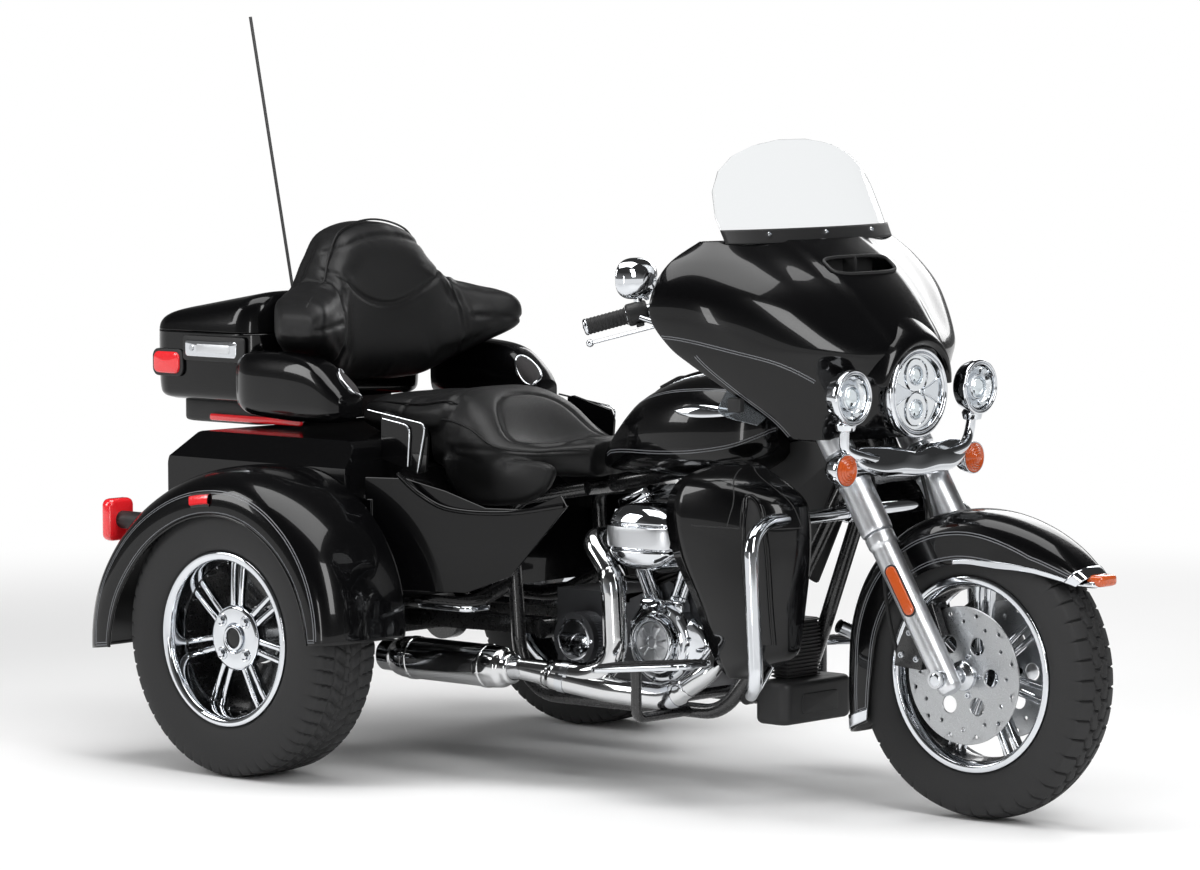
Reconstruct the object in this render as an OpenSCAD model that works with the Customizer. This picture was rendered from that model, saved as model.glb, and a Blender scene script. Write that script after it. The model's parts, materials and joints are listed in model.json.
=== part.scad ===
// Touring trike: one steered wheel in front, two wheels on a rear axle, a V-twin engine
// open to view, a fork-mounted fairing, and a rear body with two luggage compartments.
// Frame: +X forward, +Y to the rider's left, +Z up, origin on the ground at mid length.

/* [Overall] */
// Length from the tail of the top trunk to the front fender lamp
overall_l = 2670; // [2640:5:2720]
// Distance between the front and rear axles
wheelbase = 1670; // [1650:5:1700]
// Reach of the front fender lamp ahead of the front axle
front_reach = 336; // [334:1:345]

/* [Wheels] */
// Outside diameter of the front tyre
front_tyre_d = 634; // [624:1:640]
// Section width of the front tyre
front_tyre_w = 130; // [120:1:132]
// Bead diameter of the front rim
front_rim_d = 406; // [400:1:412]
// Outside diameter of the rear tyres
rear_tyre_d = 638; // [626:1:644]
// Section width of the rear tyres
rear_tyre_w = 200; // [190:1:204]
// Bead diameter of the rear rims
rear_rim_d = 381; // [375:1:390]
// Distance between the middles of the rear tyres
track = 1170; // [1164:1:1176]
// Twin spokes in each wheel
spoke_pairs = 7; // [5:1:9]
// Diameter of the front brake discs
front_disc_d = 300; // [280:1:304]

/* [Steering] */
// Lean of the steering head from the vertical, in degrees
head_rake = 26; // [25:0.5:27]
// Lean of the fork legs from the vertical, in degrees
fork_rake = 32; // [31:0.5:32.5]
// Trail of the front wheel at the ground
trail = 104; // [100:1:108]
// Distance between the fork legs
fork_spacing = 270; // [266:1:276]
// Diameter of the lower fork legs
fork_leg_d = 58; // [54:1:60]

/* [Fairing] */
// Height of the fairing from its chin to the foot of the windshield
fairing_h = 430; // [420:1:440]
// Widest width of the fairing
fairing_w = 870; // [850:1:890]
// Thickness of the fairing shell
fairing_t = 5; // [4:0.5:6]
// Height of the windshield above the fairing
screen_h = 216; // [180:1:260]
// Thickness of the windshield
screen_t = 4; // [3:0.5:5]

/* [Engine] */
// Angle between the two cylinders, in degrees
vee_angle = 45; // [44:0.5:46]
// Width of the crankcase
case_w = 200; // [190:1:204]
// Diameter of the cylinder fins
fin_d = 172; // [160:1:176]
// Cooling fins on each cylinder
fin_count = 9; // [6:1:11]

/* [Tank and seat] */
// Length of the fuel tank
tank_l = 545; // [520:5:560]
// Width of the fuel tank
tank_w = 345; // [320:5:370]
// Height of the fuel tank
tank_h = 245; // [230:5:250]
// Width of the rider's seat
seat_w = 400; // [380:5:420]

/* [Rear body] */
// Width of the body between the rear fenders
body_w = 880; // [870:1:884]
// Wall of the rear body
body_t = 8; // [6:0.5:10]
// Width over the rear fenders
fender_w = 1390; // [1388:1:1400]
// Wall of the fenders
fender_t = 4; // [3:0.5:5]
// Width of the top trunk
trunk_w = 600; // [580:5:620]
// Wall of the top trunk
trunk_t = 6; // [5:0.5:8]
// Free length of the antenna
antenna_l = 835; // [600:5:850]

/* [Hidden] */

// Gap between pieces that seat on each other
seat_gap = 0.3;
// Radial clearance of pins and shafts in their bores
run_gap = 0.05;
// Room between pieces that move past each other
move_gap = 6;
// Overrun of every cut
cut = 2;
$fn = 48;
// Sides of bent tubes
tube_sides = 8;
// Steps in each tube bend
bend_steps = 4;

// Anchors
// Tail of the trunk and tip of the antenna, measured from the rear axle
trunk_tail_u = wheelbase + front_reach - overall_l;
antenna_lean = 12;
antenna_r = 4;
antenna_back = 1;
antenna_u = trunk_tail_u - antenna_back;
antenna_tip_u = antenna_u - antenna_l * sin(antenna_lean) - antenna_r * cos(antenna_lean);
rear_axle_x = -(wheelbase + front_reach + antenna_tip_u) / 2;
front_axle_x = rear_axle_x + wheelbase;
front_axle_z = front_tyre_d / 2;
rear_axle_z = rear_tyre_d / 2;
half_track = track / 2;

// Steering axis, measured from the rear axle along the ground
steer_ground_u = wheelbase + trail;
head_z = 830;
head_l = 160;
head_r = 36;
stem_r = 18;
yoke_t = 34;
yoke_s = head_l / 2 + yoke_t / 2 + seat_gap;
steer_up = [-sin(head_rake), 0, cos(head_rake)];
steer_fore = [cos(head_rake), 0, sin(head_rake)];
fork_up = [-sin(fork_rake), 0, cos(fork_rake)];
axle_p = [wheelbase, 0, front_axle_z];
head_p = [steer_ground_u - head_z * tan(head_rake), 0, head_z];
// Length along the fork from the axle to the plane of a yoke at s along the steering axis
function fork_at(s) = ((head_p + s * steer_up - axle_p) * steer_up) / (fork_up * steer_up);
// Place of the fork's axis ahead of the steering axis in that plane
function fork_fore(s) = (axle_p + fork_at(s) * fork_up - head_p - s * steer_up) * steer_fore;

// Plain maths used by the forms below
function mix(a, b, t) = a + (b - a) * t;
function sgn(v) = v < 0 ? -1 : 1;
function spow(v, e) = sgn(v) * pow(abs(v), e);
function unit(v) = v / norm(v);
// Row of a table at a place between its rows, on a smooth cubic through them
function row_at(table, k) =
  let (n = len(table) - 1, i = min(n - 1, max(0, floor(k))), f = k - i,
     a = table[max(0, i - 1)], b = table[i], c = table[i + 1], d = table[min(n, i + 2)])
  b + f * 0.5 * (c - a) + f * f * (a - 2.5 * b + 2 * c - 0.5 * d)
   + f * f * f * (1.5 * b - 1.5 * c + 0.5 * d - 0.5 * a);
// Rows of a table taken at even steps
function rows(table, steps) = [for (k = [0:steps]) row_at(table, k * (len(table) - 1) / steps)];
// Corner arc of a rounded outline
function arc(c, r, from, to, steps) =
  [for (i = [0:steps]) let (t = mix(from, to, i / steps)) c + r * [cos(t), sin(t)]];
// Rounded rectangle from low corner to high corner, anticlockwise
function round_rect(lo, hi, r, steps) = concat(
  arc([hi[0] - r, lo[1] + r], r, -90, 0, steps), arc([hi[0] - r, hi[1] - r], r, 0, 90, steps),
  arc([lo[0] + r, hi[1] - r], r, 90, 180, steps), arc([lo[0] + r, lo[1] + r], r, 180, 270, steps));
// Path with its corners rounded off over a distance on each side
function bent(p, d) = concat([p[0]], [for (i = [1:len(p) - 2])
  let (a = p[i] + unit(p[i - 1] - p[i]) * d, b = p[i] + unit(p[i + 1] - p[i]) * d)
  for (k = [0:bend_steps]) let (t = k / bend_steps)
    (1 - t) * (1 - t) * a + 2 * t * (1 - t) * p[i] + t * t * b], [p[len(p) - 1]]);

// Skin over rings of equal length, each anticlockwise about the way the rings go
module skin(rings) {
  n = len(rings[0]);
  m = len(rings);
  polyhedron([for (r = rings) each r], concat(
    [[for (i = [0:n - 1]) i]], [[for (i = [n - 1:-1:0]) (m - 1) * n + i]],
    [for (j = [0:m - 2], i = [0:n - 1]) let (k = (i + 1) % n, a = j * n, b = a + n)
      each [[a + i, b + k, a + k], [a + i, b + i, b + k]]]));
}
// Skin over rings that go out along one face of a sheet and back along the other
module shell(rings) {
  n = len(rings[0]);
  h = n / 2;
  e = (len(rings) - 1) * n;
  polyhedron([for (r = rings) each r], concat(
    [for (i = [0:h - 2]) [i, i + 1, n - 2 - i, n - 1 - i]],
    [for (i = [0:h - 2]) [e + n - 1 - i, e + n - 2 - i, e + i + 1, e + i]],
    [for (j = [0:len(rings) - 2], i = [0:n - 1]) let (k = (i + 1) % n, a = j * n, b = a + n)
      each [[a + i, b + k, a + k], [a + i, b + i, b + k]]]));
}
// Round tube along a path; ref is any direction that the path never takes
module tube(path, r, ref) {
  n = len(path) - 1;
  skin([for (i = [0:n])
    let (t = unit(path[min(n, i + 1)] - path[max(0, i - 1)]), a = unit(cross(ref, t)), b = cross(t, a))
    [for (k = [0:tube_sides - 1]) let (w = 360 * k / tube_sides)
      path[i] + r * (cos(w) * a + sin(w) * b)]]);
}
// Places of the two ends of the vehicle and of its two sides
module from_rear() { translate([rear_axle_x, 0, 0]) children(); }
module both_sides() { children(); mirror([0, 1, 0]) children(); }
module from_head(s) { from_rear() translate(head_p + s * steer_up) rotate([0, -head_rake, 0])
  children(); }
module along_fork() { from_rear() translate(axle_p) rotate([0, -fork_rake, 0]) children(); }
module across(r, y0, y1) { translate([0, y0, 0]) rotate([-90, 0, 0]) cylinder(r = r, h = y1 - y0); }
module ahead(r, x0, x1) { translate([x0, 0, 0]) rotate([0, 90, 0]) cylinder(r = r, h = x1 - x0); }
// Plate in the middle plane, from an outline in forward and up, between two places across
module side_plate(outline, y0, y1) {
  translate([0, y1, 0]) rotate([90, 0, 0]) linear_extrude(y1 - y0) polygon(outline);
}
// Plate that faces forward, from an outline in left and up, between two places along
module front_plate(outline, x0, x1) {
  translate([x0, 0, 0]) rotate([90, 0, 90]) linear_extrude(x1 - x0) polygon(outline);
}

// Wheels, each about its own axle with the outer face toward +Z before turning
lip_w = 10;
lip_h = 11;
barrel_t = 14;
rear_bead = rear_tyre_w * 0.42;
front_bead = front_tyre_w * 0.36;
rear_axle_r = 25;
front_axle_r = 12.5;
rear_hub_r = 76;
rear_hub_in = 62;
rear_hub_out = 58;
hub_cap_t = 12;
front_hub_r = 44;
front_hub_half = 70;
disc_t = 5;
spoke_t = 26;
spoke_w = 17;
spoke_slot = 8;
// Tread half width, crown drop and widest radius of a tyre as shares of its sizes
tread_share = 0.4;
rear_crown_share = 0.014;
front_crown_share = 0.04;
bulge_share = 0.48;
arc_steps = 6;
module tyre(r, w, rim_r, bead, crown_share) {
  tread = w * tread_share;
  crown = r * crown_share;
  low = rim_r + lip_h + seat_gap;
  mid = mix(low, r, bulge_share);
  top = r - crown;
  b = bead - seat_gap;
  side = concat([[rim_r + seat_gap, b]],
    [for (i = [0:arc_steps]) let (t = 90 * i / arc_steps)
      [mix(mid, low, cos(t)), mix(b, w / 2, sin(t))]],
    [for (i = [1:arc_steps]) let (t = 90 * i / arc_steps)
      [mix(mid, top, sin(t)), mix(tread, w / 2, cos(t))]],
    [for (i = [1:arc_steps - 1]) let (k = 1 - i / arc_steps)
      [r - crown * k * k, tread * k]]);
  n = len(side) - 1;
  rotate_extrude($fn = 96) polygon(concat(side, [[r, 0]],
    [for (i = [n:-1:0]) [side[i][0], -side[i][1]]]));
}
module rim(rim_r, bead, hub_r, hub_lo, hub_hi, face) {
  inside = rim_r - barrel_t;
  rotate_extrude($fn = 96) polygon([
    [inside, -bead - lip_w], [rim_r + lip_h, -bead - lip_w], [rim_r + lip_h, -bead],
    [rim_r, -bead], [rim_r, bead], [rim_r + lip_h, bead], [rim_r + lip_h, bead + lip_w],
    [inside, bead + lip_w]]);
  translate([0, 0, hub_lo]) cylinder(r = hub_r, h = hub_hi - hub_lo);
  translate([0, 0, face - spoke_t]) linear_extrude(spoke_t)
    for (k = [0:spoke_pairs - 1]) rotate(360 * k / spoke_pairs) for (s = [-1, 1])
      polygon([[hub_r / 2, s * spoke_slot / 2], [inside + barrel_t / 2, s * spoke_slot],
        [inside + barrel_t / 2, s * (spoke_slot + spoke_w)],
        [hub_r / 2, s * (spoke_slot / 2 + spoke_w)]]);
}
lug_r = 10;
lug_pitch_r = 54;
lug_h = 8;
lug_count = 4;
module rear_rim_at(side) {
  translate([rear_axle_x, side * half_track, rear_axle_z]) mirror([0, side < 0 ? 1 : 0, 0])
    rotate([-90, 0, 0]) difference() {
      union() {
        rim(rear_rim_d / 2, rear_bead, rear_hub_r, -rear_hub_in, rear_hub_out, rear_hub_out - lug_h);
        for (k = [0:lug_count - 1]) rotate(360 * (k + 0.5) / lug_count)
          translate([lug_pitch_r, 0, rear_hub_out - lug_h]) cylinder(r = lug_r, h = 2 * lug_h, $fn = 6);
      }
      translate([0, 0, -rear_hub_in - cut])
        cylinder(r = rear_axle_r + run_gap, h = rear_hub_in + rear_hub_out - hub_cap_t + cut);
    }
}
module rear_tyre_at(side) {
  translate([rear_axle_x, side * half_track, rear_axle_z]) rotate([-90, 0, 0])
    tyre(rear_tyre_d / 2, rear_tyre_w, rear_rim_d / 2, rear_bead, rear_crown_share);
}
module rear_rim_left() { color("silver") rear_rim_at(1); }
module rear_rim_right() { color("silver") rear_rim_at(-1); }
module rear_tyre_left() { color("dimgray") rear_tyre_at(1); }
module rear_tyre_right() { color("dimgray") rear_tyre_at(-1); }
module at_front_wheel() { translate([front_axle_x, 0, front_axle_z]) rotate([-90, 0, 0]) children(); }
module front_rim() {
  color("silver") at_front_wheel() difference() {
    rim(front_rim_d / 2, front_bead, front_hub_r, -front_hub_half, front_hub_half, spoke_t / 2);
    translate([0, 0, -front_hub_half - cut])
      cylinder(r = front_axle_r + run_gap, h = 2 * (front_hub_half + cut));
  }
}
module front_tyre() {
  color("dimgray") at_front_wheel() tyre(front_tyre_d / 2, front_tyre_w, front_rim_d / 2, front_bead,
    front_crown_share);
}
disc_windows = 6;
disc_window_r = 19;
// Radius of the middle of the windows and of the carrier bore as shares of the disc's radius
disc_window_share = 0.5;
disc_bore_r = 20;
disc_hole_r = 4;
disc_hole_count = 24;
// Radii of the two rows of drilled holes as shares of the disc's radius
disc_hole_shares = [0.78, 0.9];
module front_discs() {
  color("lightgray") at_front_wheel() for (s = [-1, 1])
    translate([0, 0, s * (front_hub_half + disc_t / 2) - disc_t / 2]) difference() {
      cylinder(r = front_disc_d / 2, h = disc_t, $fn = 96);
      translate([0, 0, -cut]) {
        cylinder(r = disc_bore_r, h = disc_t + 2 * cut);
        for (k = [0:disc_windows - 1]) rotate(360 * k / disc_windows)
          translate([disc_window_share * front_disc_d / 2, 0, 0])
            cylinder(r = disc_window_r, h = disc_t + 2 * cut);
        for (k = [0:disc_hole_count - 1]) rotate(360 * k / disc_hole_count)
          translate([disc_hole_shares[k % 2] * front_disc_d / 2, 0, 0])
            cylinder(r = disc_hole_r, h = disc_t + 2 * cut, $fn = 16);
      }
    }
}

// Front fork and yokes
fork_half = fork_spacing / 2;
leg_r = fork_leg_d / 2;
cover_t = 5;
cover_r = leg_r + cover_t;
tube_r = 24;
leg_low = 34;
slider_top = 355;
cover_top = 472;
leg_boss_r = 27;
leg_top = 760;
module fork_legs() {
  color("silver") along_fork() both_sides() translate([0, fork_half, 0]) difference() {
    union() {
      translate([0, 0, -leg_low]) cylinder(r = leg_r, h = slider_top + leg_low);
      translate([0, 0, slider_top]) cylinder(r = cover_r, h = cover_top - slider_top);
      cylinder(r = tube_r, h = leg_top);
      across(leg_boss_r, -leg_r, leg_r);
      translate([0, 0, fender_boss_s]) across(fender_boss_r, ff_hw + seat_gap - fork_half, 0);
    }
    across(front_axle_r + seat_gap, -leg_r - cut, leg_r + cut);
  }
}
axle_head_r = 19;
axle_head_t = 10;
module front_axle() {
  reach = fork_half + leg_r + seat_gap;
  color("gray") translate([front_axle_x, 0, front_axle_z]) {
    across(front_axle_r, -reach, reach);
    for (s = [-1, 1]) across(axle_head_r, s > 0 ? reach : -reach - axle_head_t,
      s > 0 ? reach + axle_head_t : -reach);
  }
}
yoke_r = 40;
stem_hub_r = 42;
module yoke(s) {
  fore = fork_fore(s);
  from_head(s) translate([0, 0, -yoke_t / 2]) linear_extrude(yoke_t) {
    circle(stem_hub_r);
    translate([0, -yoke_face_w / 2]) square([yoke_face, yoke_face_w]);
    for (k = [-1, 1]) {
      translate([fore, k * fork_half]) circle(yoke_r);
      polygon([[-stem_hub_r * 0.8, 0], [stem_hub_r * 0.8, 0], [fore + yoke_r * 0.8, k * fork_half],
        [fore - yoke_r * 0.8, k * fork_half]]);
    }
  }
}
// Plate behind the upper yoke that carries the handlebar's risers
module riser_seat() {
  edge = riser_r * 1.3;
  from_head(yoke_s) translate([riser_fore - edge, -riser_y - edge, -yoke_t / 2])
    cube([edge - riser_fore, 2 * (riser_y + edge), yoke_t]);
}
module fork_yokes() {
  color("dimgray") {
    difference() {
      union() {
        yoke(-yoke_s);
        yoke(yoke_s);
        riser_seat();
        from_head(-yoke_s) cylinder(r = stem_r, h = 2 * yoke_s);
      }
      along_fork() both_sides() translate([0, fork_half, 0])
        cylinder(r = tube_r + seat_gap, h = leg_top + cut);
    }
  }
}
// Calipers behind the legs, each straddling its disc
caliper_from = 112;
caliper_to = 176;
caliper_in_r = 92;
caliper_out_r = 166;
caliper_in_y = 56;
module brake_calipers() {
  slot_lo = front_hub_half - move_gap;
  slot_hi = front_hub_half + disc_t + move_gap;
  outer = fork_half - leg_r - seat_gap;
  shape = concat(arc([0, 0], caliper_out_r, caliper_from, caliper_to, 8),
    arc([0, 0], caliper_in_r, caliper_to, caliper_from, 8));
  color("dimgray") translate([front_axle_x, 0, front_axle_z]) both_sides() difference() {
    side_plate(shape, caliper_in_y, outer);
    difference() {
      across(front_disc_d / 2 + move_gap, slot_lo, slot_hi);
    }
  }
}

// Front fender, a shell about the front axle
ff_r = 355;
ff_hw = 80;
ff_skirt = 110;
ff_round = 62;
// Angle from the front, crown radius share, width share and skirt share along the fender
ff_shares = [[37, 1.075, 0.55, 0.3], [50, 1.045, 0.84, 0.62], [70, 1.01, 1, 0.95], [95, 1, 1, 1.04],
  [120, 1, 1, 1.04], [140, 0.995, 1, 1], [160, 0.975, 1, 0.92], [180, 0.96, 1, 0.84],
  [195, 0.995, 0.98, 0.78], [205, 1.05, 0.95, 0.74]];
ff_arc = 8;
ff_e_share = 0.72;
function ff_path(row, t) =
  let (rc = row[1] * ff_r - t, hw = row[2] * ff_hw - t, low = row[1] * ff_r - row[3] * ff_skirt,
     rs = max(mix(low, rc, 0.25), row[1] * ff_r - ff_round))
  concat([[-hw, low]], [for (i = [0:ff_arc]) let (w = mix(-90, 90, i / ff_arc))
    [hw * spow(sin(w), ff_e_share), rs + (rc - rs) * pow(max(0, cos(w)), ff_e_share)]], [[hw, low]]);
function ff_ring(row) =
  let (a = row[0], out = ff_path(row, 0), inn = ff_path(row, fender_t), n = len(inn) - 1)
  [for (p = concat(out, [for (i = [n:-1:0]) inn[i]])) [p[1] * cos(a), p[0], p[1] * sin(a)]];
fender_boss_s = 282;
fender_boss_r = 13;
module front_fender() {
  color("black") translate([front_axle_x, 0, front_axle_z])
    shell([for (r = rows(ff_shares, 22)) ff_ring(r)]);
}
// Lamp on the front edge of the fender
flamp_w = 62;
flamp_h = 26;
flamp_l = 54;
module fender_lamp() {
  tip = front_reach;
  edge = ff_r * ff_shares[0][1];
  low = edge * sin(ff_shares[0][0]) - flamp_h * 0.8;
  color("orange") translate([front_axle_x, 0, front_axle_z]) difference() {
    translate([tip - flamp_l, 0, low])
      linear_extrude(flamp_h) polygon(round_rect([0, -flamp_w / 2], [flamp_l, flamp_w / 2],
        flamp_l * 0.45, 4));
    rotate([0, -ff_shares[0][0], 0]) translate([-edge, -flamp_w, -seat_gap])
      cube([2 * edge, 2 * flamp_w, edge / 2]);
  }
}

// Fairing: level outlines, each a curve from wing to wing about the nose
nose_back = 170;
nose_u = wheelbase - nose_back;
fairing_d = 420;
chin_z = 815;
// Height, nose, half width and rear edge as shares, and the sharpness of the nose, at each level
fairing_shares = [[0, 0.143, 0.494, 0.476, 1.3], [0.105, 0.076, 0.575, 0.548, 1.4],
  [0.244, 0.048, 0.724, 0.679, 1.45], [0.384, 0.019, 0.862, 0.821, 1.4], [0.477, 0.024, 0.93, 0.91, 1.3],
  [0.616, 0.143, 0.985, 0.985, 1.1], [0.756, 0.286, 0.975, 0.98, 1], [0.895, 0.47, 0.88, 0.95, 0.95],
  [1, 0.65, 0.72, 0.885, 0.9]];
fairing_arc = 22;
// Level outline of the fairing inset by t, at angle w from the nose
function fairing_pt(row, t, w) =
  let (front = nose_u - row[1] * fairing_d - t, back = nose_u - row[3] * fairing_d,
    hw = row[2] * fairing_w / 2 - t)
  [back + (front - back) * pow(max(0, cos(w)), row[4]), hw * sin(w), chin_z + row[0] * fairing_h];
function fairing_ring(row) = concat(
  [for (i = [0:fairing_arc]) fairing_pt(row, 0, mix(-90, 90, i / fairing_arc))],
  [for (i = [fairing_arc:-1:0]) fairing_pt(row, fairing_t, mix(-90, 90, i / fairing_arc))]);
lamp_z = 915;
lamp_r = 100;
lamp_back = 256;
lamp_front = 178;
lamp_back_u = wheelbase - lamp_back;
lamp_face_u = wheelbase - lamp_front;
module outer_fairing() {
  color("black") from_rear() difference() {
    shell([for (r = rows(fairing_shares, 16)) fairing_ring(r)]);
    translate([0, 0, lamp_z]) ahead(lamp_r + seat_gap, lamp_back_u, nose_u + cut);
  }
}
// Inner fairing, a bowed panel toward the rider with round gauges
panel_t = 12;
// Bow of the panel as a share of the fairing's depth at each level
bow_share = 0.42;
panel_arc = 12;
// Lowest and highest level of the panel in the rows of the fairing
panel_levels = [4, 8];
function panel_pt(row, ahead_by, k) =
  let (back = nose_u - row[3] * fairing_d, deep = nose_u - row[1] * fairing_d - back - fairing_t,
     w = 90 - 180 / fairing_arc, in = (1 - sin(w)) * panel_t / (deep * pow(cos(w), row[4])),
     hw = (row[2] * fairing_w / 2 - fairing_t) * (1 - in) - seat_gap)
  [back + bow_share * deep * (1 - k * k) + ahead_by, hw * k, chin_z + row[0] * fairing_h];
module inner_fairing() {
  level = [for (i = [0:8]) row_at(fairing_shares, mix(panel_levels[0], panel_levels[1], i / 8))];
  color("dimgray") from_rear() {
    shell([for (r = level) concat([for (i = [0:panel_arc])
      panel_pt(r, panel_t, mix(-1, 1, i / panel_arc))],
      [for (i = [panel_arc:-1:0]) panel_pt(r, 0, mix(-1, 1, i / panel_arc))])]);
  }
}
// Windshield: a bowed sheet that narrows to a round top
screen_w_share = 0.9;
screen_lean = 100;
// Height and half width of the sheet as shares
screen_shares = [[0, 1], [0.25, 1.01], [0.5, 0.97], [0.7, 0.87], [0.85, 0.7], [0.95, 0.46], [1, 0.22]];
function screen_pt(row, t, k) =
  let (top = fairing_shares[len(fairing_shares) - 1], w = asin(k * row[1] * screen_w_share),
     p = fairing_pt(top, 0, w))
  [p[0] - row[0] * screen_lean - t, p[1], p[2] + seat_gap + row[0] * screen_h];
module windshield() {
  color("lightblue") from_rear() shell([for (r = rows(screen_shares, 12)) concat(
    [for (i = [0:panel_arc]) screen_pt(r, 0, mix(-1, 1, i / panel_arc))],
    [for (i = [panel_arc:-1:0]) screen_pt(r, screen_t, mix(-1, 1, i / panel_arc))])]);
}
// Headlamp on a block from the upper yoke
yoke_face = 50;
yoke_face_w = 110;
lamp_block_w = 70;
module headlamp() {
  color("silver") {
    from_rear() translate([0, 0, lamp_z]) rotate([0, 90, 0]) rotate_extrude() polygon(concat(
      [[0, lamp_back_u], [lamp_r * 0.55, lamp_back_u]],
      arc([lamp_r * 0.7, lamp_back_u + lamp_r * 0.3], lamp_r * 0.3, -60, 0, 4),
      [[lamp_r, lamp_face_u - lamp_r * 0.08]], arc([lamp_r * 0.92, lamp_face_u - lamp_r * 0.08],
        lamp_r * 0.08, 0, 90, 3),
      [[lamp_r * 0.86, lamp_face_u]], [[lamp_r * 0.82, lamp_face_u - lamp_r * 0.06],
        [0, lamp_face_u - lamp_r * 0.02]]));
    intersection() {
      from_head(yoke_s) translate([yoke_face + seat_gap, -lamp_block_w / 2, -yoke_t / 2])
        cube([lamp_r, lamp_block_w, yoke_t]);
      from_rear() translate([0, -lamp_r, lamp_z - lamp_r])
        cube([lamp_back_u + cut, 2 * lamp_r, 2 * lamp_r]);
    }
  }
}
// Chrome bracket across the lower yoke with a passing lamp at each end
pass_y = 220;
pass_r = 61;
pass_back = 182;
pass_face_u = wheelbase - pass_back;
pass_l = 56;
bracket_w = 260;
bracket_h = 62;
bracket_t = 10;
pass_arm_r = 11;
module passing_lamps() {
  foot = head_p - yoke_s * steer_up + (yoke_face + seat_gap + bracket_t / 2) * steer_fore;
  color("silver") {
    from_head(-yoke_s) translate([yoke_face + seat_gap, 0, 0]) rotate([90, 0, 90])
      linear_extrude(bracket_t)
      polygon(round_rect([-bracket_w / 2, -bracket_h / 2], [bracket_w / 2, bracket_h / 2],
        bracket_h * 0.3, 4));
    from_rear() both_sides() {
      tube(bent([foot + [0, bracket_w * 0.4, bracket_h * 0.32],
        [pass_face_u - pass_l / 2, pass_y, foot[2] + bracket_h * 0.85],
        [pass_face_u - pass_l / 2, pass_y, lamp_z - pass_r / 2]], bracket_h / 2), pass_arm_r, [1, 0, 0]);
      translate([0, pass_y, lamp_z]) rotate([0, 90, 0]) rotate_extrude()
        polygon([[0, pass_face_u - pass_l],
        [pass_r * 0.4, pass_face_u - pass_l], [pass_r * 0.75, pass_face_u - pass_l * 0.8],
        [pass_r * 0.96, pass_face_u - pass_l * 0.4], [pass_r, pass_face_u - pass_l * 0.1],
        [pass_r * 0.94, pass_face_u], [pass_r * 0.86, pass_face_u - pass_l * 0.08], [0, pass_face_u]]);
    }
  }
}
// Turn signals on stalks from the ends of the bracket
signal_r = 36;
signal_l = 66;
signal_y = 222;
stalk_r = 9;
module turn_signals() {
  foot = head_p - yoke_s * steer_up + (yoke_face + seat_gap + bracket_t / 2) * steer_fore;
  color("orange") from_rear() translate(foot - [0, 0, bracket_h * 0.15]) both_sides() {
    across(stalk_r / 2, bracket_w / 2 + seat_gap, signal_y);
    translate([-signal_l * 0.3, signal_y, 0]) rotate([0, 90, 0]) rotate_extrude()
      polygon([[0, -signal_l * 0.4],
      [signal_r * 0.5, -signal_l * 0.32], [signal_r * 0.9, 0], [signal_r, signal_l * 0.3],
      [signal_r * 0.9, signal_l * 0.45], [signal_r * 0.5, signal_l * 0.55], [0, signal_l * 0.6]]);
  }
}
// Handlebar on two risers, with grips, levers and mirrors
bar_r = 13;
riser_fore = -70;
riser_y = 46;
riser_h = 86;
riser_r = 15;
bar_mid = head_p + (yoke_s + yoke_t / 2 + riser_h) * steer_up + riser_fore * steer_fore;
// Inner and outer end of the grip and the bar's bend, measured back from the front axle
grip_in_at = [-690, 318, 1090];
grip_out_at = [-786, 412, 1054];
bar_turn_at = [-560, 215, 1080];
bar_flat = 110;
from_front = [wheelbase, 0, 0];
grip_in = from_front + grip_in_at;
grip_out = from_front + grip_out_at;
grip_r = 18;
switch_r = 25;
switch_l = 46;
grip_gap = 1;
bar_bend = 42;
bar_half = [bar_mid, bar_mid + [0, bar_flat, 0], from_front + bar_turn_at,
  grip_in + (bar_bend + switch_r / 2) * unit(grip_in - grip_out), grip_out];
module handlebar() {
  color("silver") {
    from_rear() both_sides() tube(bent(bar_half, bar_bend), bar_r, [0, 0, 1]);
    from_head(yoke_s + yoke_t / 2 + seat_gap) both_sides() translate([riser_fore, riser_y, 0])
      cylinder(r = riser_r, h = riser_h);
  }
}
module along(p, q) {
  v = q - p;
  translate(p) rotate([0, acos(v[2] / norm(v)), atan2(v[1], v[0])]) children();
}
lever_r = 6;
lever_ahead = [62, 22, -28];
lever_tip = [24, 14, -34];
module hand_controls() {
  grip_l = norm(grip_out - grip_in);
  mid = mix(grip_in, grip_out, switch_l / grip_l);
  color("dimgray") from_rear() both_sides() {
    along(grip_in, grip_out) difference() {
      union() {
        cylinder(r = switch_r, h = switch_l);
        translate([0, 0, switch_l]) cylinder(r = grip_r, h = grip_l - switch_l + grip_gap + bar_r / 2);
      }
      translate([0, 0, -cut]) cylinder(r = bar_r + seat_gap, h = grip_l + grip_gap + cut);
    }
    tube(bent([mix(grip_in, grip_out, switch_l * 0.4 / grip_l) + [switch_r * 0.7, switch_r * 0.5,
      -switch_r * 0.4],
      grip_in + lever_ahead, grip_out + lever_tip], switch_r), lever_r, [0, 0, 1]);
  }
}
mirror_at = [-640, 424, 1166];
mirror_p = from_front + mirror_at;
mirror_w = 118;
mirror_h = 90;
mirror_l = 48;
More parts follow.
